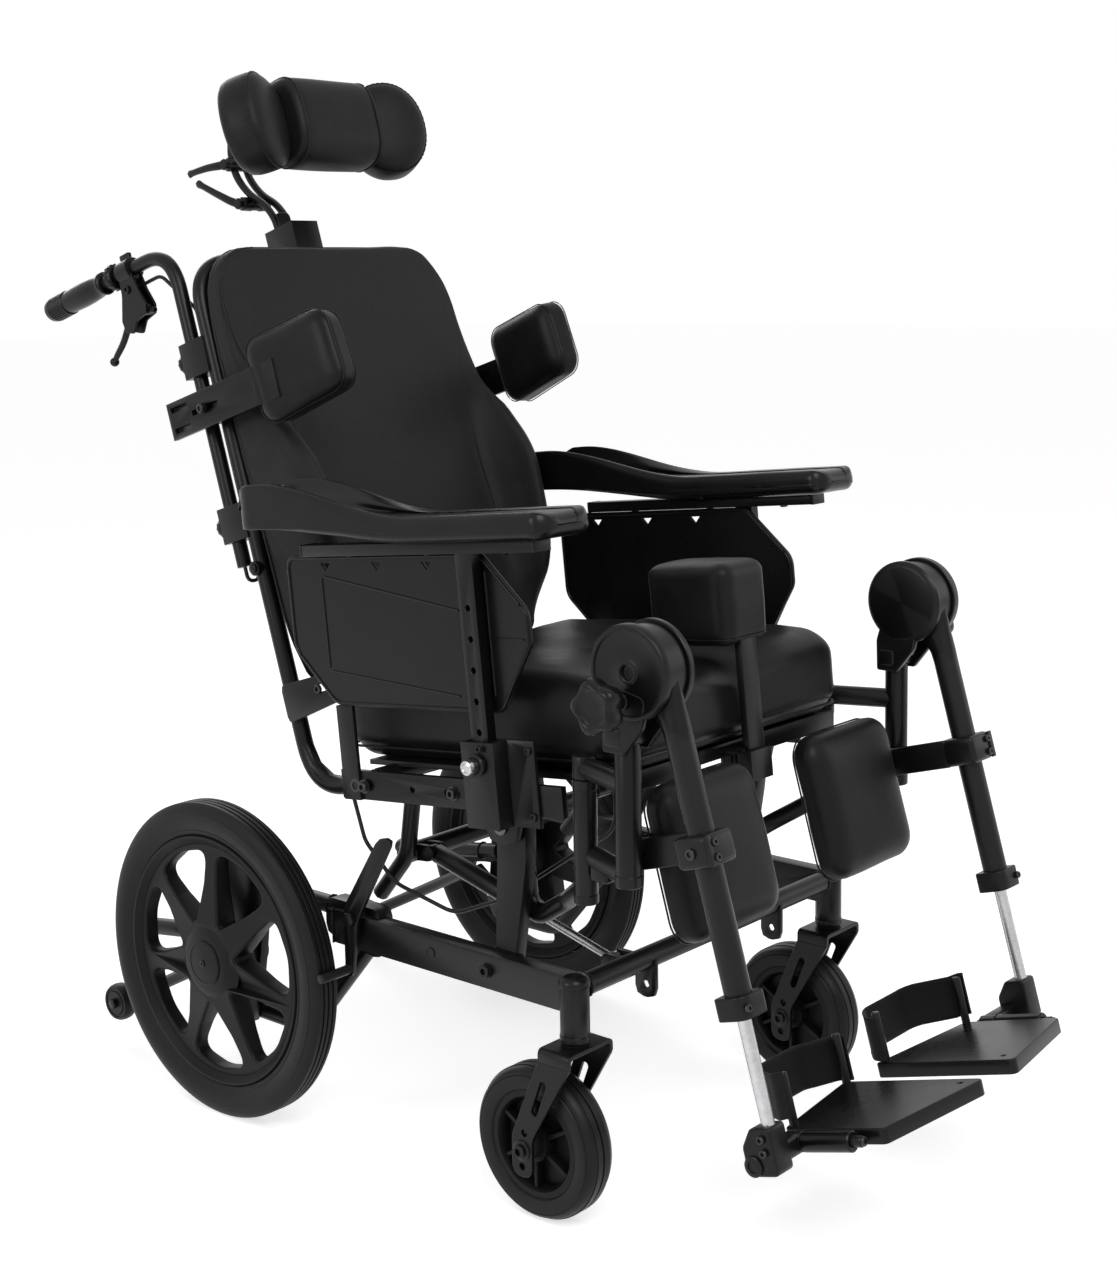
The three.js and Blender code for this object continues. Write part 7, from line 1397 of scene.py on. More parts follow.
@dataclass(frozen=True)
class HeadWing(Sided):
    """A side pad of the headrest: a thick round cushion, gathered where its wall meets its face.

    Each pair of the profile gives a place through the thickness and the share of the full outline.
    """

    width: float = 108
    height: float = 130
    thickness: float = 64
    angle_deg: float = 27
    out: float = 115
    middle_y: float = 55
    middle_z: float = 855
    seam: float = 0.27
    gathers: int = 52
    gather_depth: float = 0.007
    points: int = 120
    hinge_out: float = 80
    hinge_y: float = 101.3
    hinge_low: float = 842
    hinge_top: float = 860
    profile: tuple[Flat, ...] = ((-0.5, 0.06), (-0.5, 0.3), (-0.49, 0.56), (-0.465, 0.74), (-0.42, 0.865),
                                 (-0.34, 0.95), (-0.2, 0.99), (-0.05, 1.0), (0.1, 1.0), (0.2, 0.992),
                                 (0.26, 0.975), (0.31, 0.95), (0.37, 0.9), (0.43, 0.8), (0.475, 0.64),
                                 (0.5, 0.42), (0.51, 0.2), (0.512, 0.05))

    def build(self) -> list[bpy.types.Object]:
        """Makes the wing, its gathered seam, and the hinge behind it."""
        maker = self.soft_maker("head_wing", BACK, "headrest_wing_{}_unit", HEAD_COVER)
        rings = [self._ring(a, s) for a, s in self.profile]
        maker.ring_skin(rings)
        maker.crease(1.3, 48, 4.4 * self.side)
        maker.piping(self._ring(self.seam, 0.976), 2.0)
        piece = maker.done(f"headrest_wing_{self.side_name}")
        return [piece, self._hinge()]

    def _hinge(self) -> bpy.types.Object:
        """Makes the hinge that carries the wing on the headrest's bar."""
        maker = self.maker("head_hinge", BACK, "headrest_wing_{}_unit", PAINT)
        x, low, top = self.side * self.hinge_out, self.hinge_low, self.hinge_top
        maker.lathe([(3.9, low), (8, low), (8, top), (3.9, top)], (x, self.hinge_y, 0), "z", 28, True)
        turn = Matrix.Rotation(math.radians(self.side * -64), 4, "Z")
        place = Vector((x, self.hinge_y, (low + top) / 2)) + turn @ Vector((self.side * 21, 0, 0))
        maker.block((42, 5, 17), tuple(place), 1.0, turn)
        return maker.done()

    def _ring(self, through: float, size: float) -> list[Vector]:
        """Gives one outline of the wing, rippled beside its seam.

        Args:
            through: The place through its thickness, from the back, -0.5, to the face, 0.5.
            size: The share of the full outline.

        Returns:
            The points of the outline.
        """
        ring = []
        turn = Matrix.Rotation(math.radians(-self.angle_deg), 3, "Z")
        gathered = self.gather_depth * math.exp(-((through - self.seam) / 0.12) ** 2)
        for a in turns(self.points):
            ripple = 1 + gathered * math.cos(self.gathers * a)
            across = signed_power(math.cos(a), 0.92) * self.width / 2 * size * ripple
            up = signed_power(math.sin(a), 0.94) * self.height / 2 * size * ripple
            point = turn @ Vector((across, -through * self.thickness, up))
            ring.append(Vector((self.side * (self.out + point.x), self.middle_y + point.y,
                                self.middle_z + point.z)))
        return ring


# Frame tubes, rails and fittings


def route(side: int, *points: Point) -> list[Point]:
    """Gives a route on one side, from points given for the left side."""
    return [(side * x, y, z) for x, y, z in points]


@dataclass(frozen=True)
class BaseFrame:
    """The tubes, caps, welds and bolts of the base, over its packed rails and plates."""

    skin: float = 0.6
    rail_out: float = 245
    rail_face: float = 255
    rail_z: float = 270
    bolt_y: float = -427.6
    plug_y: float = -338.9
    bracket_y: float = -169.4
    bracket_bolts: tuple[Flat, ...] = ((-185.8, 284.8), (-232.1, 283))
    stem_y: float = -558
    housing: float = 34
    housing_out: float = 250
    housing_low: float = 218
    housing_top: float = 286
    dome: float = 9
    cross_z: float = 277
    cross: float = 25
    brace_out: float = 236
    brace: float = 22
    brace_y: float = 16
    top_z: float = 287
    low_z: float = 118
    rear_cross: Flat = (226.6, 181.9)
    axle_height: float = 203
    axle_end: float = 265.4
    axle_boss: float = 46

    def build(self) -> list[bpy.types.Object]:
        """Makes the tubes, the welds and the bolts."""
        return [self._tubes(), self._welds(), self._bolts(), self._tilt_pins()]

    def _tubes(self) -> bpy.types.Object:
        """Makes the round tubes and the caster head tubes."""
        maker = Maker("base_tubes", CHAIR, "base", PAINT)
        reach = self.housing_out - self.housing / 2 + 2
        maker.tube([(-reach, self.stem_y, self.cross_z), (reach, self.stem_y, self.cross_z)],
                   self.cross + self.skin)
        low, top, r = self.housing_low, self.housing_top, self.housing / 2 + 0.35
        boss, end = self.axle_boss / 2, self.axle_end
        x, y, size = self.brace_out, self.brace_y, self.brace + self.skin
        for _, side in SIDES:
            maker.lathe([(0, low - 0.2), (r - 1, low - 0.2), (r, low + 1), (r, low + 7), (r - 1, low + 8),
                         (r - 1, top - 6), (r + 0.6, top - 5), (r + 0.6, top), (r * 0.96, top + 3),
                         (r * 0.75, top + self.dome * 0.72), (r * 0.4, top + self.dome),
                         (0, top + self.dome + 0.6)], (side * self.housing_out, self.stem_y, 0), "z", 48)
            maker.tube(route(side, (x, y - 212, self.top_z), (x, y - 24, self.top_z)), size)
            maker.tube(route(side, (x, y - 236, 254.5), (x, y - 116, self.low_z), (x, y, self.low_z)), size,
                       45)
            maker.tube(route(side, (x, y, self.axle_height + 9), (x, *self.rear_cross)), size)
            maker.tube(route(side, (x, y, self.low_z + 27), (x, y + 46, self.low_z + 60)), 18 + self.skin)
            maker.lathe([(0, x), (boss, x), (boss, end - 3.4), (boss - 2, end), (0, end)],
                        (0, 0, self.axle_height), "x", 40, way=side)
            maker.bolt((side * x, self.rear_cross[0] + 0.4, self.rear_cross[1] - 0.1), 1, 19, 3, "y", False)
        return maker.done()

    def _welds(self) -> bpy.types.Object:
        """Makes the weld beads where the tubes meet."""
        maker = SoftMaker("base_welds", CHAIR, "base", PAINT)
        for _, side in SIDES:
            inner, brace = side * (self.housing_out - self.housing / 2 + 0.6), side * self.brace_out
            beads = (((inner, self.stem_y, self.cross_z), "x", self.cross / 2 + 0.6),
                     ((brace, -148.5, self.top_z), "y", self.brace / 2 + 0.8),
                     ((brace, 50, 207), "y", self.brace / 2 + 0.8),
                     ((side * 256.5, 0, self.axle_height), "x", self.axle_boss / 2 - 0.2))
            for centre, axis, radius in beads:
                points = []
                for a in turns(60):
                    r = radius + 0.35 * math.sin(a * 15)
                    u, v = r * math.cos(a), r * math.sin(a)
                    points.append(Vector(centre) + Vector({"x": (0, u, v), "y": (v, 0, u)}[axis]))
                maker.piping(points, 3.2, sides=8)
        return maker.done(sharp=math.radians(80))

    def _bolts(self) -> bpy.types.Object:
        """Makes the bolts and the plugs on the rails and brackets."""
        maker = Maker("base_bolts", CHAIR, "base", PAINT)
        for _, side in SIDES:
            face = side * self.rail_face
            maker.bolt((face, self.bolt_y, self.rail_z), side, 15, 5)
            maker.lathe([(0, 0), (6.5, 0), (6.5, 0.8), (5.2, 1.2), (4.6, 0.4), (0, 0.3)],
                        (face, self.plug_y, self.rail_z + 2), "x", 28, way=side)
            maker.washer((face, self.bolt_y, self.rail_z), side, 18, 1.4)
            for y, z in self.bracket_bolts:
                maker.bolt((side * (self.rail_out + 2), y, z), side, 12, 5)
            maker.block((2.4, 22.8, 44.4), (side * self.rail_out, self.bracket_y, self.rail_z), 1.0,
                        Matrix.Rotation(math.pi / 2, 4, "Z"))
        return maker.done()

    def _tilt_pins(self) -> bpy.types.Object:
        """Makes the heads of the tilt pins."""
        maker = Maker("tilt_pin_heads", SEAT, "seat", DARK_STEEL)
        for _, side in SIDES:
            maker.bolt((side * 247.2, 0, 0), side, 19, 5)
        return maker.done()


@dataclass(frozen=True)
class SeatTubes:
    """The seat's bent tubes, cross tubes, legrest posts and bolts, over its packed rails and pan."""

    skin: float = 0.6
    rail_face: float = 247
    plate_face: float = 252
    rail_bolt_z: float = 33
    rear_tube: Flat = (207, 42)
    front_tube: Flat = (-115, 44)
    low_tube: Flat = (242, -70)
    bend_out: float = 176
    bend_y: float = 236
    bend_z: float = -70
    hanger_out: float = 198
    hanger_y: float = 14
    low_z: float = -124
    post_out: float = 232
    post_half: float = 70.2
    lip_y: float = -143.6

    def build(self) -> list[bpy.types.Object]:
        """Makes the tubes, the posts, the bolts and the front lip's edge."""
        return [self._tubes(), self._posts(), self._bolts(), self._lip()]

    def _tubes(self) -> bpy.types.Object:
        """Makes the bent and the straight tubes."""
        maker = Maker("seat_tubes", SEAT, "seat", PAINT)
        x, bend = self.bend_out, (self.bend_y, self.bend_z)
        hanger, low = (self.hanger_out, self.hanger_y), self.low_z
        for _, side in SIDES:
            maker.tube(route(side, (x, *self.rear_tube), (x, *bend), (x, 292, low)), 20 + self.skin, 60)
            bent = route(side, (self.post_out, -106.8, -59.5), (self.hanger_out, -46.4, -91.7),
                         (*hanger, low), (*hanger, 50))
            maker.tube(bent, 21 + self.skin, 36)
            maker.lathe([(0, 0), (8.4, 0), (8.4, 6), (9.2, 7), (9.2, 9), (6, 10.5), (0, 10.5)],
                        (side * x, *bend), "x", 32)
        for (y, z), reach, size in ((self.rear_tube, 239, 22), (self.front_tube, 218, 22),
                                    (self.low_tube, 178, 24)):
            maker.tube([(-reach, y, z), (reach, y, z)], size + self.skin)
        return maker.done()

    def _posts(self) -> bpy.types.Object:
        """Makes the posts that the legrests swing on, with a collar at each end."""
        maker = Maker("legrest_posts", HANGER, "seat", PAINT)
        r, h, bore = 13.5 + self.skin / 2, self.post_half, 8.0
        profile = [(bore, -h), (r - 1, -h), (r, -h + 1.2), (r, -h + 10.2), (r - 0.8, -h + 11.2),
                   (r - 0.8, h - 12.2), (r, h - 11.2), (r, h - 1), (r - 1, h), (bore, h)]
        for _, side in SIDES:
            maker.lathe(profile, (side * self.post_out, 0, 0), "z", 44, True)
        return maker.done()

    def _bolts(self) -> bpy.types.Object:
        """Makes the bolts along the seat rails and on the receivers."""
        maker = Maker("seat_bolts", SEAT, "seat", BOLT_BLACK)
        z = self.rail_bolt_z
        for _, side in SIDES:
            for y, face in ((72.5, self.rail_face), (216.7, self.plate_face)):
                maker.washer((side * face, y, z), side, 17, 1.2)
                maker.bolt((side * (face + 1), y, z), side, 13, 5)
            maker.bolt((side * self.rail_face, 233, z), side, 19, 6)
        return maker.done()

    def _lip(self) -> bpy.types.Object:
        """Makes the folded plate under the cushion's front edge."""
        maker = Maker("front_lip", SEAT, "seat", PAINT)
        for _, side in SIDES:
            maker.block((150, 2.2, 21), (side * 135, self.lip_y, 45), 0.8)
            maker.block((150, 14, 2.2), (side * 135, self.lip_y + 6.1, 55.4), 0.8)
        return maker.done()


@dataclass(frozen=True)
class BackTubes:
    """The back's bent tubes and crossbars, over its packed plates and clamps."""

    skin: float = 0.6
    out: float = 205
    rear: float = 131
    foot: float = -9
    top: float = 694
    bend: float = 64
    tube: float = 21
    crossbar: float = 18
    crossbar_out: float = 221.5
    low_bar_z: float = 292
    high_bar_z: float = 612
    lateral_z: float = 503
    hinge: tuple[float, float] = (193, 238.1)
    knob_heights: tuple[float, ...] = (356, 574)
    knob: float = 24.4

    def build(self) -> list[bpy.types.Object]:
        """Makes the tubes and the plugs."""
        maker = Maker("back_tubes", BACK, "back", PAINT)
        x, y, z, reach = self.out, self.rear, self.low_bar_z, self.crossbar_out
        hoop = [(-x, self.foot, 0), (-x, y, 0), (-x, y, self.top), (x, y, self.top), (x, y, 0),
                (x, self.foot, 0)]
        maker.tube(hoop, self.tube + self.skin, self.bend, steps=12)
        maker.tube([(-reach, y, z), (reach, y, z)], self.crossbar + self.skin)
        maker.tube([(-x, y, self.high_bar_z), (x, y, self.high_bar_z)], self.crossbar + self.skin)
        inner, outer = self.hinge
        for _, side in SIDES:
            maker.lathe([(0, inner), (13.4, inner), (13.4, outer - 0.5), (11, outer), (0, outer)], (0, 0, 0),
                        "x", 40, way=side)
            maker.lathe([(0, 0), (6.2, 0), (6.2, 2.2), (5, 3), (0, 3)], (side * reach, y, z), "x", 28,
                        way=side)
        return [maker.done(), self._knobs(), self._hinge_bolts()]

    def _knobs(self) -> bpy.types.Object:
        """Makes the ribbed knobs that clamp the push handles in their sockets."""
        maker = Maker("socket_knobs", BACK, "back", PLASTIC)
        r = self.knob / 2
        for x in (side * self.out for _, side in SIDES):
            for z in self.knob_heights:
                maker.lathe([(0, 178), (7, 178), (7, 181), (r - 0.6, 182), (r, 185), (r - 0.2, 190),
                             (10, 192.6), (5, 193.4), (0, 193.4)], (x, 0, z), "y", 36)
                for a in turns(12):
                    at = (x + (r - 0.6) * math.cos(a), 186.4, z + (r - 0.6) * math.sin(a))
                    maker.block((2.2, 8, 2.2), at, 0.7, Matrix.Rotation(-a, 4, "Y"))
        return maker.done()

    def _hinge_bolts(self) -> bpy.types.Object:
        """Makes the bolts of the hinge plates and, with the strips behind its slots, of the laterals."""
        maker = Maker("back_bolts", BACK, "back", BOLT_BLACK)
        for _, side in SIDES:
            maker.bolt((side * 222.5, 60, 124.5), side, 12, 4)
            maker.bolt((side * 245.4, self.rear, self.lateral_z), side, 12, 2.6)
            maker.block((2.4, 101, 40), (side * 231.2, self.rear + 21.5, self.lateral_z), 0.8)
        return maker.done()


# Armrests


@dataclass(frozen=True)
class SideGuard(Sided):
    """A moulded side guard with a raised rim, shallow ribs, a slit and three notches."""

    out: float = 250
    panel: float = 5
    low: float = 130
    rear: float = 318
    front: float = -76
    top: float = 311.7
    chamfer: float = 66
    rim: float = 4
    notches: tuple[float, ...] = (0.22, 0.5, 0.76)
    ribs: tuple[tuple[Flat, Flat], ...] = (((252, 286), (30, 246)), ((256, 284), (256, 176)),
                                           ((252, 172), (40, 148)), ((18, 292), (18, 146)),
                                           ((-16, 290), (-16, 150)), ((-16, 216), (-66, 214)))

    def build(self) -> list[bpy.types.Object]:
        """Makes the panel with its rim and ribs."""
        maker = self.soft_maker("guard", SEAT, "armrest_{}", PLASTIC)
        outline = self._outline(0)
        notches = []
        for share in self.notches:
            y = self.rear * (1 - share)
            notches.append([(y - 8, self.top - 10), (y, self.top - 19), (y + 8, self.top - 10)])
        slit = oblong(26, 190, 96, 2.6, 92)
        maker.plate(outline, self.panel, "x", self.side * self.out, [*notches, slit], 1.2)
        for way in (-1, 1):
            face = self.side * self.out + way * self.panel / 2
            line = [Vector((face, u, v)) for u, v in self._outline(3.4)]
            maker.piping(line, self.rim, sides=10)
        face = self.side * (self.out + self.panel / 2 + 0.2)
        for (y0, z0), (y1, z1) in self.ribs:
            line = [Vector((face, y0 + (y1 - y0) * k / 12, z0 + (z1 - z0) * k / 12)) for k in range(13)]
            maker.piping(line, 2.6, closed=False, sides=8)
        return [maker.done(f"side_guard_{self.side_name}")]

    def _outline(self, inset: float) -> list[Flat]:
        """Gives the guard's outline, drawn in by an inset.

        Args:
            inset: How far it is drawn in.

        Returns:
            The points of the outline.
        """
        c, i = self.chamfer, inset
        points = [(-c / 3 - i * 0.4, self.low + i), (self.rear - c + i * -0.4, self.low + i),
                  (self.rear - i, self.low + c + i * 0.4), (self.rear - i, self.top - i),
                  (self.front + c + i * 0.4, self.top - i), (self.front + i, self.top - c - i * 0.4),
                  (self.front + i, self.low + c * 1.2 + i * 0.4)]
        rounded = filleted([(u, v, 0) for u, v in points], [16, 30, 30, 14, 20, 30, 24], 8)
        return [(p.x, p.y) for p in rounded]


@dataclass(frozen=True)
class ArmFittings(Sided):
    """The small parts of an armrest: the bar's end plugs, its screws and the plunger."""

    bar_out: float = 262
    bar_z: float = 319
    bar_ends: Flat = (-113, 263)
    screws: Point = (-60, 60, 190)
    boss_face: float = 281.5
    ring_face: float = 279
    plate_face: float = 252
    plunger_z: float = 76
    plunger_profile: tuple[Flat, ...] = ((0, 0), (6.4, 0), (6.4, 1.5), (8.6, 2.6), (9.3, 5), (9.3, 9),
                                         (8.2, 12), (5, 13.2), (4.4, 12.2), (0, 12.2))
    ring_profile: tuple[Flat, ...] = ((6.2, 0), (13.5, 0), (13.5, 2), (12.4, 3.4), (9.8, 3.6), (8.8, 2.4),
                                      (6.2, 2.4))

    def build(self) -> list[bpy.types.Object]:
        """Makes the fittings."""
        maker = self.maker("arm_bar_plug", SEAT, "armrest_{}", PLASTIC)
        x, under = self.side * self.bar_out, self.bar_z - 7
        for y in self.bar_ends:
            maker.block((27, 4, 15), (x, y, self.bar_z), 1.4)
        for y in self.screws:
            maker.lathe([(0, under), (5, under), (5, under - 2), (3, under - 3), (0, under - 3)], (x, y, 0),
                        "z", 20)
        return [maker.done(), self._plunger(), self._channel()]

    def _plunger(self) -> bpy.types.Object:
        """Makes the turned head of the plunger."""
        maker = self.maker("plunger", SEAT, "armrest_pin_{}_unit", STEEL)
        maker.lathe(self.plunger_profile, (self.side * (self.boss_face + 1.2), 0, self.plunger_z), "x", 48,
                    way=self.side)
        return maker.done()

    def _channel(self) -> bpy.types.Object:
        """Makes the ring round the plunger and the screws of the receiver."""
        maker = self.maker("receiver_fittings", SEAT, "seat", PAINT)
        s, face = self.side, self.side * self.ring_face
        maker.lathe(self.ring_profile, (face, 0, self.plunger_z), "x", 44, True, s)
        for z in (16, 90):
            maker.bolt((s * self.plate_face, -57, z), s, 9, 3.4)
        maker.bolt((face, -8, 95), s, 8, 3)
        return maker.done()


# Push handles


@dataclass(frozen=True)
class PushHandle(Sided):
    """A push handle: bent tube, shaped grip, ring nut, clamp body, lever and cable."""

    out: float = 205
    tube_y: float = 167
    tube: float = 19
    low: float = 300
    grip_z: float = 724
    bend: float = 58
    end: float = 446
    grip_start: float = 314
    clamp_y: float = 262
    pivot_drop: float = 26
    ribs: int = 7
    ball: float = 12.6
    cable: float = 5
    grip_profile: tuple[Flat, ...] = ((0, 0), (13.5, 0), (15.5, 1.5), (16, 4), (14.2, 7), (13.6, 12),
                                      (15, 22), (16.3, 40), (16.6, 58), (16.0, 76), (15.6, 86))
    nut_profile: tuple[Flat, ...] = ((9.6, 0), (14, 0), (17.2, 2), (17.6, 5), (17.2, 9), (14, 11), (9.6, 11))
    body_corners: tuple[Flat, ...] = ((-14, -6), (14, -6), (15, -30), (27, -62), (24, -78), (8, -84),
                                      (-4, -70), (-27, -66), (-30, -54), (-20, -30))
    body_radii: tuple[float, ...] = (3, 3, 26, 7, 7, 6, 10, 4, 5, 24)
    lever_line: tuple[Flat, ...] = ((-2, -25), (6, -40), (20, -60), (44, -84), (66, -98), (74, -104))

    def build(self) -> list[bpy.types.Object]:
        """Makes the parts of the handle."""
        return [self._tube(), self._grip(), self._housing(), self._lever(), self._cable()]

    def _tube(self) -> bpy.types.Object:
        """Makes the bent tube with its end plug."""
        maker = self.maker("handle_tube", BACK, "push_handle_{}_unit", PAINT)
        x = self.side * self.out
        maker.tube([(x, self.tube_y, self.low), (x, self.tube_y, self.grip_z),
                    (x, self.end - 20, self.grip_z)], self.tube, self.bend, steps=14)
        return maker.done(f"push_handle_{self.side_name}")

    def _grip(self) -> bpy.types.Object:
        """Makes the grip: a swelling body with a flared collar and ribs near its end."""
        maker = self.maker("grip", BACK, "push_handle_{}_unit", PLASTIC)
        start, end, centre = self.grip_start, self.end, (self.side * self.out, 0, self.grip_z)
        profile = [(r, start + along) for r, along in self.grip_profile]
        for k in range(self.ribs):
            at = start + 89 + k * 5
            profile += [(15.3, at), (16.9, at + 1), (17.1, at + 2.5), (16.6, at + 4)]
        profile += [(16.4, end - 6), (15.5, end - 2.6), (12, end - 0.4), (5, end), (0, end)]
        maker.lathe(profile, centre, "y", 48)
        ring = self.clamp_y + 24
        maker.lathe([(r, ring + along) for r, along in self.nut_profile], centre, "y", 48, True)
        for a in turns(16):
            at = (centre[0] + 17.2 * math.cos(a), ring + 5.5, self.grip_z + 17.2 * math.sin(a))
            maker.block((1.8, 9, 2.4), at, 0.6, Matrix.Rotation(-a, 4, "Y"))
        return maker.done()

    def _housing(self) -> bpy.types.Object:
        """Makes the clamp and the lever's body, with the cable's adjuster."""
        maker = self.maker("lever_body", BACK, "push_handle_{}_unit", PAINT)
        x, y, z = self.side * self.out, self.clamp_y, self.grip_z
        maker.lathe([(9.6, y - 13), (14.4, y - 13), (15.2, y - 12), (15.2, y + 12), (14.4, y + 13),
                     (9.6, y + 13)], (x, 0, z), "y", 40, True)
        maker.block((7, 20, 12), (x, y, z + 17), 2.2)
        outline = filleted([(y + u, z + v, 0) for u, v in self.body_corners], self.body_radii, 6)
        for way in (-1, 1):
            maker.plate(outline, 3.4, "x", x + way * 7.4, (), 0.9)
        maker.bolt((x + self.side * 9.2, y, z - self.pivot_drop), self.side, 11, 3)
        maker.block((14, 12, 14), (x, y - 20, z - 59), 3)
        maker.tube([(x, y - 20, z - 60), (x, y - 36, z - 64)], 9, end_round=1.5)
        return maker.done()

    def _lever(self) -> bpy.types.Object:
        """Makes the curved flat lever with its round end."""
        maker = self.maker("lever", BACK, "hand_lever_{}_unit", PAINT)
        x, y, z = self.side * self.out, self.clamp_y, self.grip_z
        line = ease_line([Vector((x, y + u, z + v)) for u, v in self.lever_line], 26)
        maker.sweep(line, lambda share: oval(4.2 - 1.2 * share, 7.5 - 3.6 * share, 20))
        r = self.ball / 2
        half_turn = [math.pi * (k / 10 - 0.5) for k in range(1, 10)]
        ball = [(0, -r), *[(r * math.cos(a), r * math.sin(a)) for a in half_turn], (0, r)]
        maker.lathe(ball, (x, y + self.lever_line[-1][0], z + self.lever_line[-1][1]), "z", 24)
        return maker.done(f"hand_lever_{self.side_name}")

    def _cable(self) -> bpy.types.Object:
        """Makes the cable from the lever's body, beside the tube and into its foot."""
        maker = self.maker("cable", BACK, "push_handle_{}_unit", SHEATH)
        x = self.side * self.out
        beside = x - self.side * (self.tube / 2 + 4 + self.cable)
        start_y, start_z = self.clamp_y - 13.3, self.grip_z - self.pivot_drop * 0.9
        start_x, low = x - self.side * 7.3, self.low - self.tube
        points = [(start_x, start_y, start_z), (start_x, (start_y + self.tube_y) / 2, start_z),
                  (beside, self.tube_y, start_z - self.bend), (beside, self.tube_y, low),
                  (x, self.tube_y, low), (x, self.tube_y, self.low - 0.3)]
        return lay_cable(maker, points, self.tube, self.cable, f"handle_cable_{self.side_name}")


def lay_cable(maker: Maker, points: Sequence[Point], bend: float, diameter: float,
              node: str) -> bpy.types.Object:
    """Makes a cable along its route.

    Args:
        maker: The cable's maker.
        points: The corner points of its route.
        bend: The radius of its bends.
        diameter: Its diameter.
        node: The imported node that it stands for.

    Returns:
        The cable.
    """
    line = filleted(points, [bend] * len(points), 8, closed=False)
    path = [maker.place.out(p) for p in line]
    maker.tube(points, diameter, bend, sides=14, end_round=0.1)
    piece = maker.done(node)
    return piece


@dataclass(frozen=True)
class ReleaseCable:
    """The cable under the seat, from the rear of the seat rail to the front cross tube."""

    diameter: float = 5
    bend: float = 40
    points: tuple[Point, ...] = ((-243, 248, 14.7), (-232, 248, -40), (-214, 222, -94), (-190, 148, -131),
                                 (-182, 68, -106), (-180, -36, -49), (-180, -112, -10), (-180, -115, 32.7))

    def build(self) -> list[bpy.types.Object]:
        """Makes the cable."""
        maker = Maker("seat_cable", SEAT, "seat", SHEATH)
        return [lay_cable(maker, self.points, self.bend, self.diameter, "release_cable")]


# Legrests


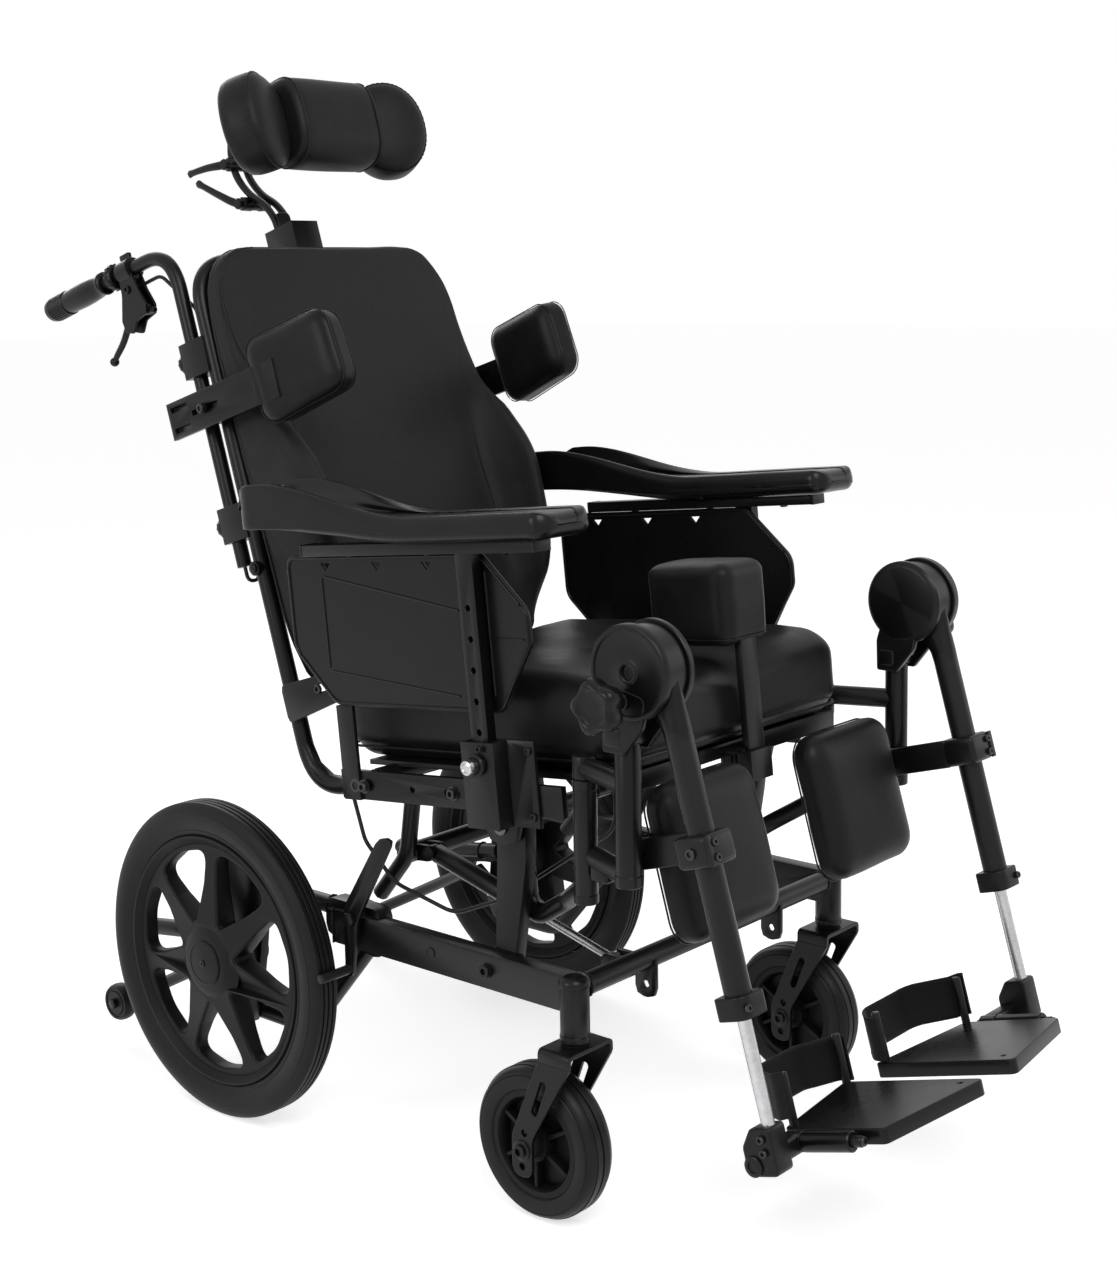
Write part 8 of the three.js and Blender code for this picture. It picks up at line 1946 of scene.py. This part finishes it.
@dataclass(frozen=True)
class Hanger(Sided):
    """A legrest hanger: knee drum, link strip, arms, swing joint and catch."""

    out: float = 264
    tube_y: float = -88
    tube: float = 30
    low: float = -26
    drum_y: float = -110
    drum_z: float = 210
    drum: float = 51
    cheek: float = 11.5
    inner_face: float = 14.8
    post_out: float = 232
    arm: float = 24.5
    top_arm: float = 83
    low_arm: float = -16
    strip_z: float = 150
    screw_profile: tuple[Flat, ...] = ((13.5, 1.7), (12.3, 1.2), (11.5, 0.4), (9.4, 0.3), (8.2, 1),
                                       (7.6, 3.4), (3.4, 3.6), (3, 4.4), (0, 4.4))

    def build(self) -> list[bpy.types.Object]:
        """Makes the hanger's pieces."""
        return [self._frame(), self._outer_cheek(), self._strip(), self._catch()]

    def _frame(self) -> bpy.types.Object:
        """Makes the sleeve, the fork under the drum, the inner cheek and the arms."""
        maker = self.maker("hanger_frame", HANGER, "legrest_{}", PAINT)
        s, x = self.side, self.side * self.out
        r = self.tube / 2
        maker.lathe([(0, self.low), (r - 1, self.low), (r, self.low + 1), (r, self.low + 12),
                     (r - 0.9, self.low + 13), (r - 0.9, 128), (r - 2, 130), (0, 130)], (x, self.tube_y, 0),
                    "z", 40)
        fork = filleted([(self.tube_y + 14, 122, 0), (self.tube_y + 15, 160, 0), (self.tube_y + 4, 196, 0),
                         (self.drum_y - 24, 186, 0), (self.drum_y - 16, 152, 0), (self.tube_y - 14, 122, 0)],
                        [4, 16, 12, 12, 16, 4], 6)
        for way in (-1, 1):
            middle = x + way * (self.inner_face + self.cheek / 2)
            maker.plate([(p.x, p.y) for p in fork], self.cheek - 2.4, "x", middle, (), 2.2)
        maker.block((52, 27, 24), (x, self.tube_y + 0.2, 139), 5)
        drum, cheek = self.drum, self.cheek
        maker.lathe([(0, cheek), (drum - 8, cheek), (drum - 2.5, cheek - 2), (drum, cheek - 5), (drum, 1.2),
                     (drum - 1, 0), (0, 0)], (x - s * self.inner_face, self.drum_y, self.drum_z), "x", 72,
                    way=-s)
        post = s * self.post_out
        for reach, z in ((0, self.top_arm), (-13.5, self.low_arm)):
            maker.tube([(x, self.tube_y, z), (post, reach, z)], self.arm, sides=26)
        maker.lathe([(0, 71), (13, 71), (13.8, 72), (13.8, 94), (12.6, 96.4), (9, 97.4), (0, 97.6)],
                    (post, 0, 0), "z", 40)
        return maker.done(f"legrest_hanger_{self.side_name}")

    def _outer_cheek(self) -> bpy.types.Object:
        """Makes the outer cheek: a thin raised rim round a sunk face with its pivot screw."""
        maker = self.maker("drum_cheek", HANGER, "legrest_{}", PAINT)
        drum, face = self.drum, self.cheek
        profile = [(0, 0), (drum - 1.2, 0), (drum, 1.2), (drum, face - 2.2), (drum - 1.2, face - 0.5),
                   (drum - 3, face), (drum - 5.6, face), (drum - 6.8, face - 1.6), (drum - 7.6, face - 2)]
        profile += [(r, face - down) for r, down in self.screw_profile]
        at = self.side * (self.out + self.inner_face)
        maker.lathe(profile, (at, self.drum_y, self.drum_z), "x", 84, way=self.side)
        return maker.done()

    def _strip(self) -> bpy.types.Object:
        """Makes the strip with its oblong links round the fork."""
        maker = self.maker("link_strip", HANGER, "legrest_{}", DARK_STEEL)
        turn = Matrix.Rotation(math.radians(18), 4, "X")
        for k in range(4):
            out = self.out + 17.2 * math.cos(math.radians(28 * k - 30))
            maker.block((8.5, 2.4, 4.6), (self.side * out, self.tube_y - 15.6, self.strip_z - 10 + 6.3 * k),
                        1.1, turn)
        return maker.done()

    def _catch(self) -> bpy.types.Object:
        """Makes the catch at the lower arm with its button, and the rubber stop."""
        maker = self.maker("hanger_catch", HANGER, "legrest_{}", PLASTIC)
        s = self.side
        maker.block((25, 25, 28), (s * self.post_out, -27.5, -26), 4)
        maker.tube([(s * self.post_out, -39.5, -24), (s * self.post_out, -45.5, -24)], 15, end_round=2)
        maker.block((9, 30, 12), (s * (self.post_out - 9), -48, -30), 3, Matrix.Rotation(-0.5, 4, "X"))
        return maker.done()


@dataclass(frozen=True)
class StarKnob(Sided):
    """A five-lobed knob with a sunk centre on its screw.

    Each pair of the profile gives the share of the full radius and the place along the axis.
    """

    face: float = 290.3
    y: float = -102
    z: float = 180
    radius: float = 31
    lobes: int = 5
    depth: float = 0.2
    stand_off: float = 25
    neck_profile: tuple[Flat, ...] = ((0, 0.1), (9.6, 0.1), (9.6, 2), (8.4, 3), (8.4, 22), (13, 25.4),
                                      (0, 25.4))
    profile: tuple[Flat, ...] = ((0.60, 0.0), (0.86, 0.4), (0.96, 3.0), (1.0, 7.0), (1.0, 15.5),
                                 (0.97, 19.4), (0.90, 22.4), (0.80, 23.8), (0.70, 24.0), (0.62, 23.2),
                                 (0.56, 21.4), (0.52, 21.0), (0.24, 20.8), (0.05, 20.8))

    def build(self) -> list[bpy.types.Object]:
        """Makes the knob."""
        maker = self.maker("knob", HANGER, "star_knob_{}_unit", PLASTIC)
        s = self.side
        base = self.face + self.stand_off
        rings = []
        for share, along in self.profile:
            lobe = self.depth * min(1, max(0, (share - 0.5) / 0.36))
            ring = []
            for a in turns(90):
                r = self.radius * share * (1 - lobe * (0.5 - math.cos(a * self.lobes) / 2))
                ring.append(Vector((s * (base + along), self.y + r * math.cos(a), self.z + r * math.sin(a))))
            rings.append(ring)
        maker.ring_skin(rings)
        maker.lathe(self.neck_profile, (s * self.face, self.y, self.z), "x", 32, way=s)
        return [maker.done(f"star_knob_{self.side_name}", sharp=math.radians(50))]


@dataclass(frozen=True)
class LegTube(Sided):
    """A lower leg: the broad knuckle of the knee, its neck, the tube, the clamps and the calf arm.

    Each row of the neck gives a height, the two half sizes there, and the middle along Y.
    """

    out: float = 264
    knuckle: float = 94
    knuckle_half: float = 14.4
    tube_y: float = -27
    low: float = -366
    clamp_height: float = 24
    calf_z: float = -192
    collar: float = 46
    collar_height: float = 34
    neck: tuple[tuple[float, ...], ...] = ((-14, 13.6, 30, -14), (-30, 13.8, 27, -16),
                                           (-44, 14.0, 21.5, -20.5), (-56, 14.4, 17.6, -24.6),
                                           (-68, 14.75, 15.4, -26.7), (-80, 14.75, 14.75, -27))

    def build(self) -> list[bpy.types.Object]:
        """Makes the leg's pieces."""
        return [self._leg(), self._collar(), self._end_clamp(), self._screws()]

    def _leg(self) -> bpy.types.Object:
        """Makes the knuckle, its neck and the tube."""
        maker = self.maker("leg", LEG, "lower_leg_{}", PAINT)
        x, h, r = self.side * self.out, self.knuckle_half, self.knuckle / 2
        maker.lathe([(9, x - h), (r - 1.6, x - h), (r, x - h + 1.4), (r + 0.35, x), (r, x + h - 1.4),
                     (r - 1.6, x + h), (9, x + h)], (0, 0, 0), "x", 84, True)
        rings = []
        for z, wide, deep, y in self.neck:
            rings.append([(x + u, y + v, z) for u, v in oval(wide, deep, 36)])
        maker.ring_skin(rings)
        maker.lathe([(8.4, -70), (14.75, -70), (14.75, self.low + 2), (13.8, self.low + 1),
                     (8.4, self.low + 1)], (x, self.tube_y, 0), "z", 40, True)
        return maker.done(f"leg_tube_{self.side_name}")

    def _collar(self) -> bpy.types.Object:
        """Makes the calf pad's split collar, its arm and the plate behind the pad."""
        maker = self.maker("calf_bracket", LEG, "lower_leg_{}", PAINT)
        s, x = self.side, self.side * self.out
        maker.block((self.collar, self.collar, self.collar_height), (x, self.tube_y, self.calf_z), 6)
        maker.block((6, 100, self.collar_height), (s * 244, 38, self.calf_z), 2.2)
        maker.block((108, 6, self.collar_height), (s * 193, 86, self.calf_z), 2.2)
        maker.block((8, 3, self.collar_height - 2), (x + s * 20, self.tube_y - 23.2, self.calf_z), 1)
        return maker.done()

    def _end_clamp(self) -> bpy.types.Object:
        """Makes the clamp at the tube's lower end, with its split and ears."""
        maker = self.maker("length_clamp", LEG, "lower_leg_{}", PAINT)
        x, z = self.side * self.out, self.low + self.clamp_height / 2
        corners = ((-20, -19), (20, -19), (20, 19), (-20, 19))
        outline = filleted([(x + u, self.tube_y + v, 0) for u, v in corners], [15, 6, 15, 6], 6)
        maker.plate(outline, self.clamp_height, "z", z, [circle(x, self.tube_y, 17)], 1.6)
        return maker.done()

    def _screws(self) -> bpy.types.Object:
        """Makes the screws of the two clamps."""
        maker = self.maker("leg_screws", LEG, "lower_leg_{}", BOLT_BLACK)
        x = self.side * self.out
        for z in (self.calf_z - 8, self.calf_z + 8):
            maker.bolt((x + self.side * 12, self.tube_y - 23.2, z), -1, 8.5, 3.6, "y")
        maker.bolt((x + self.side * 14, self.tube_y - 19.2, self.low + 12), -1, 8.5, 3.6, "y")
        maker.bolt((x + self.side * 23.2, self.tube_y, self.calf_z), self.side, 12, 3.4)
        return maker.done()


@dataclass(frozen=True)
class FootStem(Sided):
    """A foot stem: inner tube, foot block and hinge lug."""

    out: float = 264
    tube_y: float = -27
    top: float = -240
    tube_end: float = -477
    hinge_z: float = -515.5
    hinge_out: float = 204
    hinge_y: float = -8
    block_y: float = -17
    eye_profile: tuple[Flat, ...] = ((6.1, -10.7), (9.6, -10.7), (10.8, -9.6), (10.8, 9.6), (9.6, 10.7),
                                     (6.1, 10.7))
    disc_profile: tuple[Flat, ...] = ((0, 0), (11, 0), (11, 16), (9.4, 17), (6.2, 17), (5.6, 15.6), (0, 15.6))

    def build(self) -> list[bpy.types.Object]:
        """Makes the stem, the block and the screws."""
        return [self._block(), self._tube(), self._screws()]

    def _block(self) -> bpy.types.Object:
        """Makes the foot block, the lug with its round eye and the disc at its outer side."""
        maker = self.maker("foot_block", LEG, "foot_stem_{}_unit", PAINT)
        s, x = self.side, self.side * self.out
        corners = ((-20, -527), (20, -527), (20, -496), (6, self.tube_end), (-20, self.tube_end))
        outline = filleted([(self.block_y + y, z, 0) for y, z in corners], [7, 9, 12, 7, 5], 6)
        maker.plate(outline, 28, "x", x, (), 2.6)
        maker.block((52, 21, 21), (x - s * 32, self.hinge_y, self.hinge_z), 4)
        maker.lathe(self.eye_profile, (s * self.hinge_out, self.hinge_y, self.hinge_z), "y", 32, True)
        maker.lathe(self.disc_profile, (x, self.hinge_y, self.hinge_z), "x", 36, way=s)
        maker.lathe([(0, 8), (6, 8), (6, -92.6), (5, -93.6), (0, -93.6)],
                    (s * self.hinge_out, 0, self.hinge_z), "y", 24)
        return maker.done(f"foot_stem_{self.side_name}")

    def _tube(self) -> bpy.types.Object:
        """Makes the bright inner tube."""
        maker = self.maker("inner_tube", LEG, "foot_stem_{}_unit", STEEL)
        maker.lathe([(0, self.top), (7.4, self.top), (7.4, self.tube_end), (0, self.tube_end)],
                    (self.side * self.out, self.tube_y, 0), "z", 32)
        return maker.done()

    def _screws(self) -> bpy.types.Object:
        """Makes the clamp screws of the foot block."""
        maker = self.maker("foot_screws", LEG, "foot_stem_{}_unit", BOLT_BLACK)
        s, x = self.side, self.side * self.out
        for z in (-488, -502):
            maker.bolt((x + s * 14.2, self.block_y - 8, z), s, 9, 3.6)
        maker.bolt((s * self.hinge_out, -93.6, self.hinge_z), -1, 10, 3, "y")
        return maker.done()


@dataclass(frozen=True)
class Footplate(Sided):
    """A footplate: a smooth board with a small hole at its nose, hinge barrel and strap posts."""

    inner: float = 31
    outer: float = 190
    rear: float = 45
    front: float = -112
    nose: float = -140
    corner: float = 14
    thickness: float = 17
    mid_z: float = -515.5
    hinge_out: float = 204
    barrel_low: float = -81.8
    barrel_top: float = -19.8
    posts: tuple[Flat, ...] = ((41, 35), (180, 8.8))
    post_profile: tuple[Flat, ...] = ((0, 0), (5, 0), (5, 64), (4.2, 65.6), (0, 66.2))

    def build(self) -> list[bpy.types.Object]:
        """Makes the board with its hinge and posts."""
        return [self._board()]

    def _outline(self, inset: float, steps: int = 8) -> list[Flat]:
        """Gives the board's outline, drawn in by an inset.

        Args:
            inset: How far it is drawn in.
            steps: The steps in each corner.

        Returns:
            The points of the outline.
        """
        s, i = self.side, inset
        points = [(s * (self.inner + i), self.rear - i), (s * (self.inner + i), self.nose + i * 1.2),
                  (s * (self.outer - i), self.front + i),
                  (s * (self.outer - i), self.rear - 2 * self.corner - i)]
        rounded = filleted([(u, v, 0) for u, v in points], [6, 9, 8, self.corner], steps)
        return [(p.x, p.y) for p in rounded]

    def _board(self) -> bpy.types.Object:
        """Makes the board, the barrel, its web and the strap posts."""
        maker = self.soft_maker("board", LEG, "footplate_{}_unit", PLASTIC)
        s = self.side
        hole = circle(s * (self.inner + 16), self.nose + 22, 5, 16)
        maker.plate(self._outline(0), self.thickness, "z", self.mid_z, [hole], 1.5)
        low, top = self.barrel_low, self.barrel_top
        barrel = [(6.3, low), (9.6, low), (11, low + 1.4), (11, top - 1.4), (9.6, top), (6.3, top)]
        maker.lathe(barrel, (s * self.hinge_out, 0, self.mid_z), "y", 36, True)
        maker.block((26, 60, 11), (s * 191, (low + top) / 2, self.mid_z), 3)
        for x, y in self.posts:
            maker.lathe(self.post_profile, (s * x, y, self.mid_z), "z", 24)
        return maker.done(f"footplate_{self.side_name}")


@dataclass(frozen=True)
class HeelStrap(Sided):
    """A wide webbing loop behind the heel, with a rolled top and bottom."""

    height: float = 50
    thickness: float = 4
    low_z: float = -480
    rise: float = 8
    bend: float = 26
    corners: tuple[Flat, ...] = ((33.7, 30), (33.7, 45), (67, 71), (154, 71), (187.3, 17), (187.3, 3.9))

    def build(self) -> list[bpy.types.Object]:
        """Makes the strap."""
        line = filleted([(self.side * x, y, 0) for x, y in self.corners], [self.bend] * 6, 10, closed=False)
        maker = self.soft_maker("strap", LEG, "footplate_{}_unit", WEBBING)
        half, t = self.height / 2, self.thickness / 2
        edge = [(-t, half - 1.6), (-t * 0.5, half), (t * 0.5, half), (t, half - 1.6), (t * 0.72, half - 5),
                (t * 0.72, 5 - half)]
        edge += [(-u, -v) for u, v in edge]

        def section(share: float) -> list[Flat]:
            """Gives the strap's section, lower towards its outer end and in its middle."""
            drop = self.rise * share - 1.6 * math.sin(math.pi * share)
            return [(self.low_z + v + drop, -u) for u, v in edge]

        maker.sweep(line, section, (0, 0, 1))
        strap = maker.done(f"heel_strap_{self.side_name}", sharp=math.radians(60))
        return [strap]


# Headrest


@dataclass(frozen=True)
class HeadStem:
    """The headrest's post, its broad bent arm with a slot, the clamps with their levers and the cross bar."""

    post_y: float = 174
    post_low: float = 590
    post_top: float = 776
    arm_width: float = 30
    arm_depth: float = 9
    back_y: float = 232
    pad_y: float = 101.3
    pad_z: float = 858
    wing_out: float = 80
    clamps: tuple[Flat, Flat] = ((232, 866), (222, 806))
    arm: tuple[Flat, ...] = ((174, 742), (176, 768), (190, 794), (216, 820), (232, 850), (233, 880),
                             (224, 904))
    clamp_profile: tuple[Flat, ...] = ((0, -24), (7.6, -24), (9.4, -22), (10, -8), (9, -7), (9, 7), (10, 8),
                                       (9.4, 22), (7.6, 24), (5, 24), (4.4, 22.6), (0, 22.6))
    lever_lines: tuple[tuple[Flat, ...], ...] = (((0, 0), (14, 3), (38, 8), (68, 12), (79, 13)),
                                                 ((0, 0), (14, 8), (40, 28), (64, 47), (76, 56)))

    def build(self) -> list[bpy.types.Object]:
        """Makes the stem's pieces."""
        return [self._post(), self._clamps(), self._levers()]

    def _post(self) -> bpy.types.Object:
        """Makes the post with its holes, the bent arm and the bar that carries the pads."""
        maker = Maker("headrest_post", BACK, "headrest", PAINT)
        low, top, back = self.post_low, self.post_top, self.back_y
        outline = filleted([(-12, low, 0), (12, low, 0), (12, top, 0), (-12, top, 0)], [2, 2, 7, 7], 5)
        holes = [circle(0, low + 14 + k * 16, 7) for k in range(7)]
        maker.plate(outline, 10, "y", self.post_y, holes, 1)
        line = ease_line([Vector((0, y, z)) for y, z in self.arm], 40)
        for shift in (-1, 1):
            self._bar(maker, line, shift * self.arm_width * 0.36, self.arm_width * 0.27)
        for first, last in ((0, 5), (30, 39)):
            self._bar(maker, line[first:last + 1], 0, self.arm_width * 0.5)
        maker.tube([(0, back, 872), (0, 150, 862), (0, self.pad_y, self.pad_z)], 13, 20, 24)
        maker.tube([(-self.wing_out, self.pad_y, self.pad_z), (self.wing_out, self.pad_y, self.pad_z)], 10.5)
        for side in (-1, 1):
            x = side * self.wing_out
            maker.tube([(x, self.pad_y, self.pad_z - 24), (x, self.pad_y, self.pad_z + 24)], 8.2)
        return maker.done("headrest_stem")

    def _bar(self, maker: Maker, line: Sequence[Vector], x: float, width: float) -> None:
        """Adds a flat bar with round edges along the arm's line.

        Args:
            maker: The stem's maker.
            line: The arm's line.
            x: How far the bar is out from the line.
            width: The bar's width.
        """
        section = []
        for c, s in oval(1, 1, 16):
            section.append((x + signed_power(c, 0.5) * width / 2, signed_power(s, 0.5) * self.arm_depth / 2))
        maker.sweep(line, lambda share: section)

    def _clamps(self) -> bpy.types.Object:
        """Makes the two round clamps on the arm."""
        maker = Maker("headrest_clamps", BACK, "headrest", PAINT)
        for y, z in self.clamps:
            maker.lathe(self.clamp_profile, (0, y, z), "x", 44)
        return maker.done()

    def _levers(self) -> bpy.types.Object:
        """Makes the two slim clamp levers."""
        maker = Maker("headrest_levers", BACK, "headrest", PLASTIC)

        def section(share: float) -> list[Flat]:
            """Gives a lever's section, which narrows and then swells and closes at its end."""
            wide = 6.6 - 2.6 * share + 1.6 * math.exp(-((share - 0.9) / 0.1) ** 2)
            wide *= math.sqrt(max(0.06, 1 - max(0.0, (share - 0.93) / 0.07) ** 2))
            return oval(4.4 - 1.4 * share, wide, 24)

        for (y, z), reach in zip(self.clamps, self.lever_lines):
            places = zip((-24, -27, -28, -28, -27), reach)
            maker.sweep(ease_line([Vector((x, y + u, z + v)) for x, (u, v) in places], 24), section)
            maker.lathe([(0, -31), (6.4, -31), (7.8, -29.4), (7.8, -23.6), (0, -23.6)], (0, y, z), "x", 32)
        return maker.done()


# The sub-assemblies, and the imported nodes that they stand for


SIDE_KINDS = (RearWheel, Caster, AntiTipWheel, ArmPad, SideGuard, ArmFittings, PushHandle, SidePad, CalfPad,
              HeadWing, Hanger, StarKnob, LegTube, FootStem, Footplate, HeelStrap)
ASSEMBLIES = (
    BaseFrame(),
    SeatTubes(),
    BackTubes(),
    SeatCushion(),
    Pommel(),
    BackCushion(),
    HeadRoll(),
    HeadStem(),
    ReleaseCable(),
    *[kind(name, side) for name, side in SIDES for kind in SIDE_KINDS],
)
SIDE_NODES = ("rear_wheel", "rear_tyre", "caster_fork", "caster_wheel", "anti_tip_wheel", "arm_pad",
              "side_guard", "push_handle", "hand_lever", "handle_cable", "lateral_pad", "calf_pad",
              "headrest_wing", "legrest_hanger", "star_knob", "leg_tube", "foot_stem", "footplate",
              "heel_strap")
STOOD_FOR = {"seat_cushion", "pommel", "back_cushion", "headrest_roll", "headrest_stem", "release_cable",
             *[f"{part}_{name}" for name, _ in SIDES for part in SIDE_NODES]}


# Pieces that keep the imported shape


@dataclass(frozen=True)
class Refined:
    """A packed rigid node shown with broken edges and a finish."""

    node: str
    body: str
    finish: Finish
    edge: float = 0.9

    def build(self) -> bpy.types.Object:
        """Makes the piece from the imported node's shape.

        Returns:
            The object, which replaces the node.
        """
        mesh = frame["nodes"][self.node].data.copy()
        piece = bpy.data.objects.new(f"{self.node}_finished", mesh)
        bpy.context.scene.collection.objects.link(piece)
        bm = bmesh.new()
        bm.from_mesh(mesh)
        bmesh.ops.remove_doubles(bm, verts=bm.verts, dist=0.00002)
        bmesh.ops.dissolve_limit(bm, angle_limit=math.radians(1.5), verts=bm.verts, edges=bm.edges)
        bm.to_mesh(mesh)
        bm.free()
        broken = piece.modifiers.new("edges", "BEVEL")
        broken.limit_method = "ANGLE"
        broken.angle_limit = math.radians(48)
        broken.width = self.edge * MM
        broken.segments = 2
        broken.use_clamp_overlap = True
        apply_modifiers(piece)
        piece.data.shade_smooth()
        piece.data.set_sharp_from_angle(angle=math.radians(48))
        settle(piece, self.body, self.finish, self.node)
        return piece


# Light, floor and camera


@dataclass(frozen=True)
class Studio:
    """The pale floor, the soft lamps and the camera."""

    eye: Point = (-1799.0, -1927.0, 1057.0)
    azimuth_deg: float = -50.1
    elevation_deg: float = 8.13
    roll_deg: float = -0.73
    focal_px: float = 1957.32
    photo_size: tuple[int, int] = (1117, 1266)
    principal: tuple[float, float] = (620.31, 552.75)
    sensor: float = 36.0
    floor_size: float = 60.0
    floor_tone: float = 0.8
    floor_glow: float = 0.62
    world_light: float = 0.42
    lamps: tuple[tuple[str, Point, float, float], ...] = (
        ("key", (-1.4, -2.4, 3.1), 1.8, 62),
        ("side", (-3.2, 0.6, 1.7), 1.2, 26),
        ("fill", (2.6, -2.2, 1.6), 1.8, 12),
        ("rim", (1.2, 3.0, 2.4), 1.8, 30),
    )

    def build(self) -> None:
        """Makes the camera, the floor, the lamps and the world."""
        self._camera()
        self._floor()
        self._lamps()
        self._world()
        scene = bpy.context.scene
        scene.view_settings.view_transform = "Standard"

    def _camera(self) -> None:
        """Places the camera where the photograph was taken from."""
        data = bpy.data.cameras.new("camera")
        camera = bpy.data.objects.new("camera", data)
        bpy.context.scene.collection.objects.link(camera)
        width, height = self.photo_size
        data.sensor_fit = "HORIZONTAL"
        data.sensor_width = self.sensor
        data.lens = self.focal_px * self.sensor / width
        data.shift_x = (width / 2 - self.principal[0]) / width
        data.shift_y = (self.principal[1] - height / 2) / width
        data.clip_end = 100
        a, e = math.radians(self.azimuth_deg), math.radians(self.elevation_deg)
        back = Vector((math.sin(a) * math.cos(e), -math.cos(a) * math.cos(e), math.sin(e)))
        right = Vector((math.cos(a), math.sin(a), 0))
        turn = Matrix((right, back.cross(right), back)).transposed().to_4x4()
        roll = Matrix.Rotation(math.radians(self.roll_deg), 4, "Z")
        camera.matrix_world = Matrix.Translation(CHAIR.out(self.eye)) @ turn @ roll
        bpy.context.scene.camera = camera

    def _floor(self) -> None:
        """Makes the pale floor, which shows white to the camera outside the shadow."""
        bpy.ops.mesh.primitive_plane_add(size=self.floor_size, location=(0, 0, -0.0005))
        floor = bpy.context.object
        floor.name = "floor"
        material = bpy.data.materials.new("pale_floor")
        material.use_nodes = True
        tree = material.node_tree
        shader = tree.nodes["Principled BSDF"]
        shader.inputs["Base Color"].default_value = (*[self.floor_tone] * 3, 1)
        shader.inputs["Roughness"].default_value = 0.9
        shader.inputs["Specular IOR Level"].default_value = 0.1
        floor.data.materials.append(material)
        self._white_to_camera(tree, shader, tree.nodes["Material Output"], self.floor_glow)

    def _white_to_camera(self, tree: bpy.types.NodeTree, lit: bpy.types.Node, output: bpy.types.Node,
                         share: float) -> None:
        """Adds white light of its own to a surface, seen only by camera, gloss and glass rays."""
        rays = tree.nodes.new("ShaderNodeLightPath")
        seen = math_node(tree, "MAXIMUM", rays.outputs["Is Camera Ray"], rays.outputs["Is Glossy Ray"])
        seen = math_node(tree, "MAXIMUM", seen, rays.outputs["Is Transmission Ray"])
        strength = math_node(tree, "MULTIPLY", seen, share)
        glow = tree.nodes.new("ShaderNodeEmission")
        tree.links.new(strength, glow.inputs["Strength"])
        total = tree.nodes.new("ShaderNodeAddShader")
        tree.links.new(lit.outputs[0], total.inputs[0])
        tree.links.new(glow.outputs[0], total.inputs[1])
        tree.links.new(total.outputs[0], output.inputs["Surface"])

    def _lamps(self) -> None:
        """Places the soft boxes: one above at the front, one at each side and one behind."""
        for name, place, size, power in self.lamps:
            data = bpy.data.lights.new(name, "AREA")
            data.shape = "SQUARE"
            data.size = size
            data.energy = power
            lamp = bpy.data.objects.new(name, data)
            lamp.location = place
            aim = Vector((0, 0, 0.6)) - Vector(place)
            lamp.rotation_euler = aim.to_track_quat("-Z", "Y").to_euler()
            bpy.context.scene.collection.objects.link(lamp)

    def _world(self) -> None:
        """Makes the world white to the camera and softly lit for everything else."""
        world = bpy.data.worlds.new("studio")
        bpy.context.scene.world = world
        world.use_nodes = True
        tree = world.node_tree
        back = tree.nodes["Background"]
        rays = tree.nodes.new("ShaderNodeLightPath")
        seen = math_node(tree, "MAXIMUM", rays.outputs["Is Camera Ray"], rays.outputs["Is Transmission Ray"])
        seen = math_node(tree, "MAXIMUM", seen, rays.outputs["Is Glossy Ray"])
        span = tree.nodes.new("ShaderNodeMapRange")
        span.inputs["To Min"].default_value = self.world_light
        span.inputs["To Max"].default_value = 1.0
        tree.links.new(seen, span.inputs["Value"])
        tree.links.new(span.outputs["Result"], back.inputs["Strength"])
        back.inputs["Color"].default_value = (1, 1, 1, 1)


def body_of_node(node: str) -> str:
    """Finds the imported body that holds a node."""
    bodies = frame["record"]["behaviour"]["bodies"]
    return next(name for name, nodes in bodies.items() if node in nodes)


def finish_of_node(node: str) -> Finish:
    """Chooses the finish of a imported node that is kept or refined."""
    slots = {entry["node"]: entry["material_slot"] for entry in frame["record"]["subparts"]}
    finishes = {f.slot: f for f in (PAINT, WHEEL_PLASTIC, TYRE, CASTER, PLASTIC, COVER, CLOTH, WEBBING,
                                    SHEATH, STEEL)}
    return finishes[slots[node]]


def main() -> None:
    """Builds the studio and every sub-assembly, in order."""
    logging.basicConfig(level=logging.INFO, format="%(message)s")
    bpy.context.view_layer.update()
    Studio().build()
    for assembly in ASSEMBLIES:
        for piece in assembly.build():
            LOG.info("%s: %s", type(assembly).__name__, piece.name)
    for node in sorted(frame["nodes"]):
        if node not in STOOD_FOR:
            LOG.info("refined: %s", Refined(node, body_of_node(node), finish_of_node(node)).build().name)


if __name__ == "__main__":
    main()
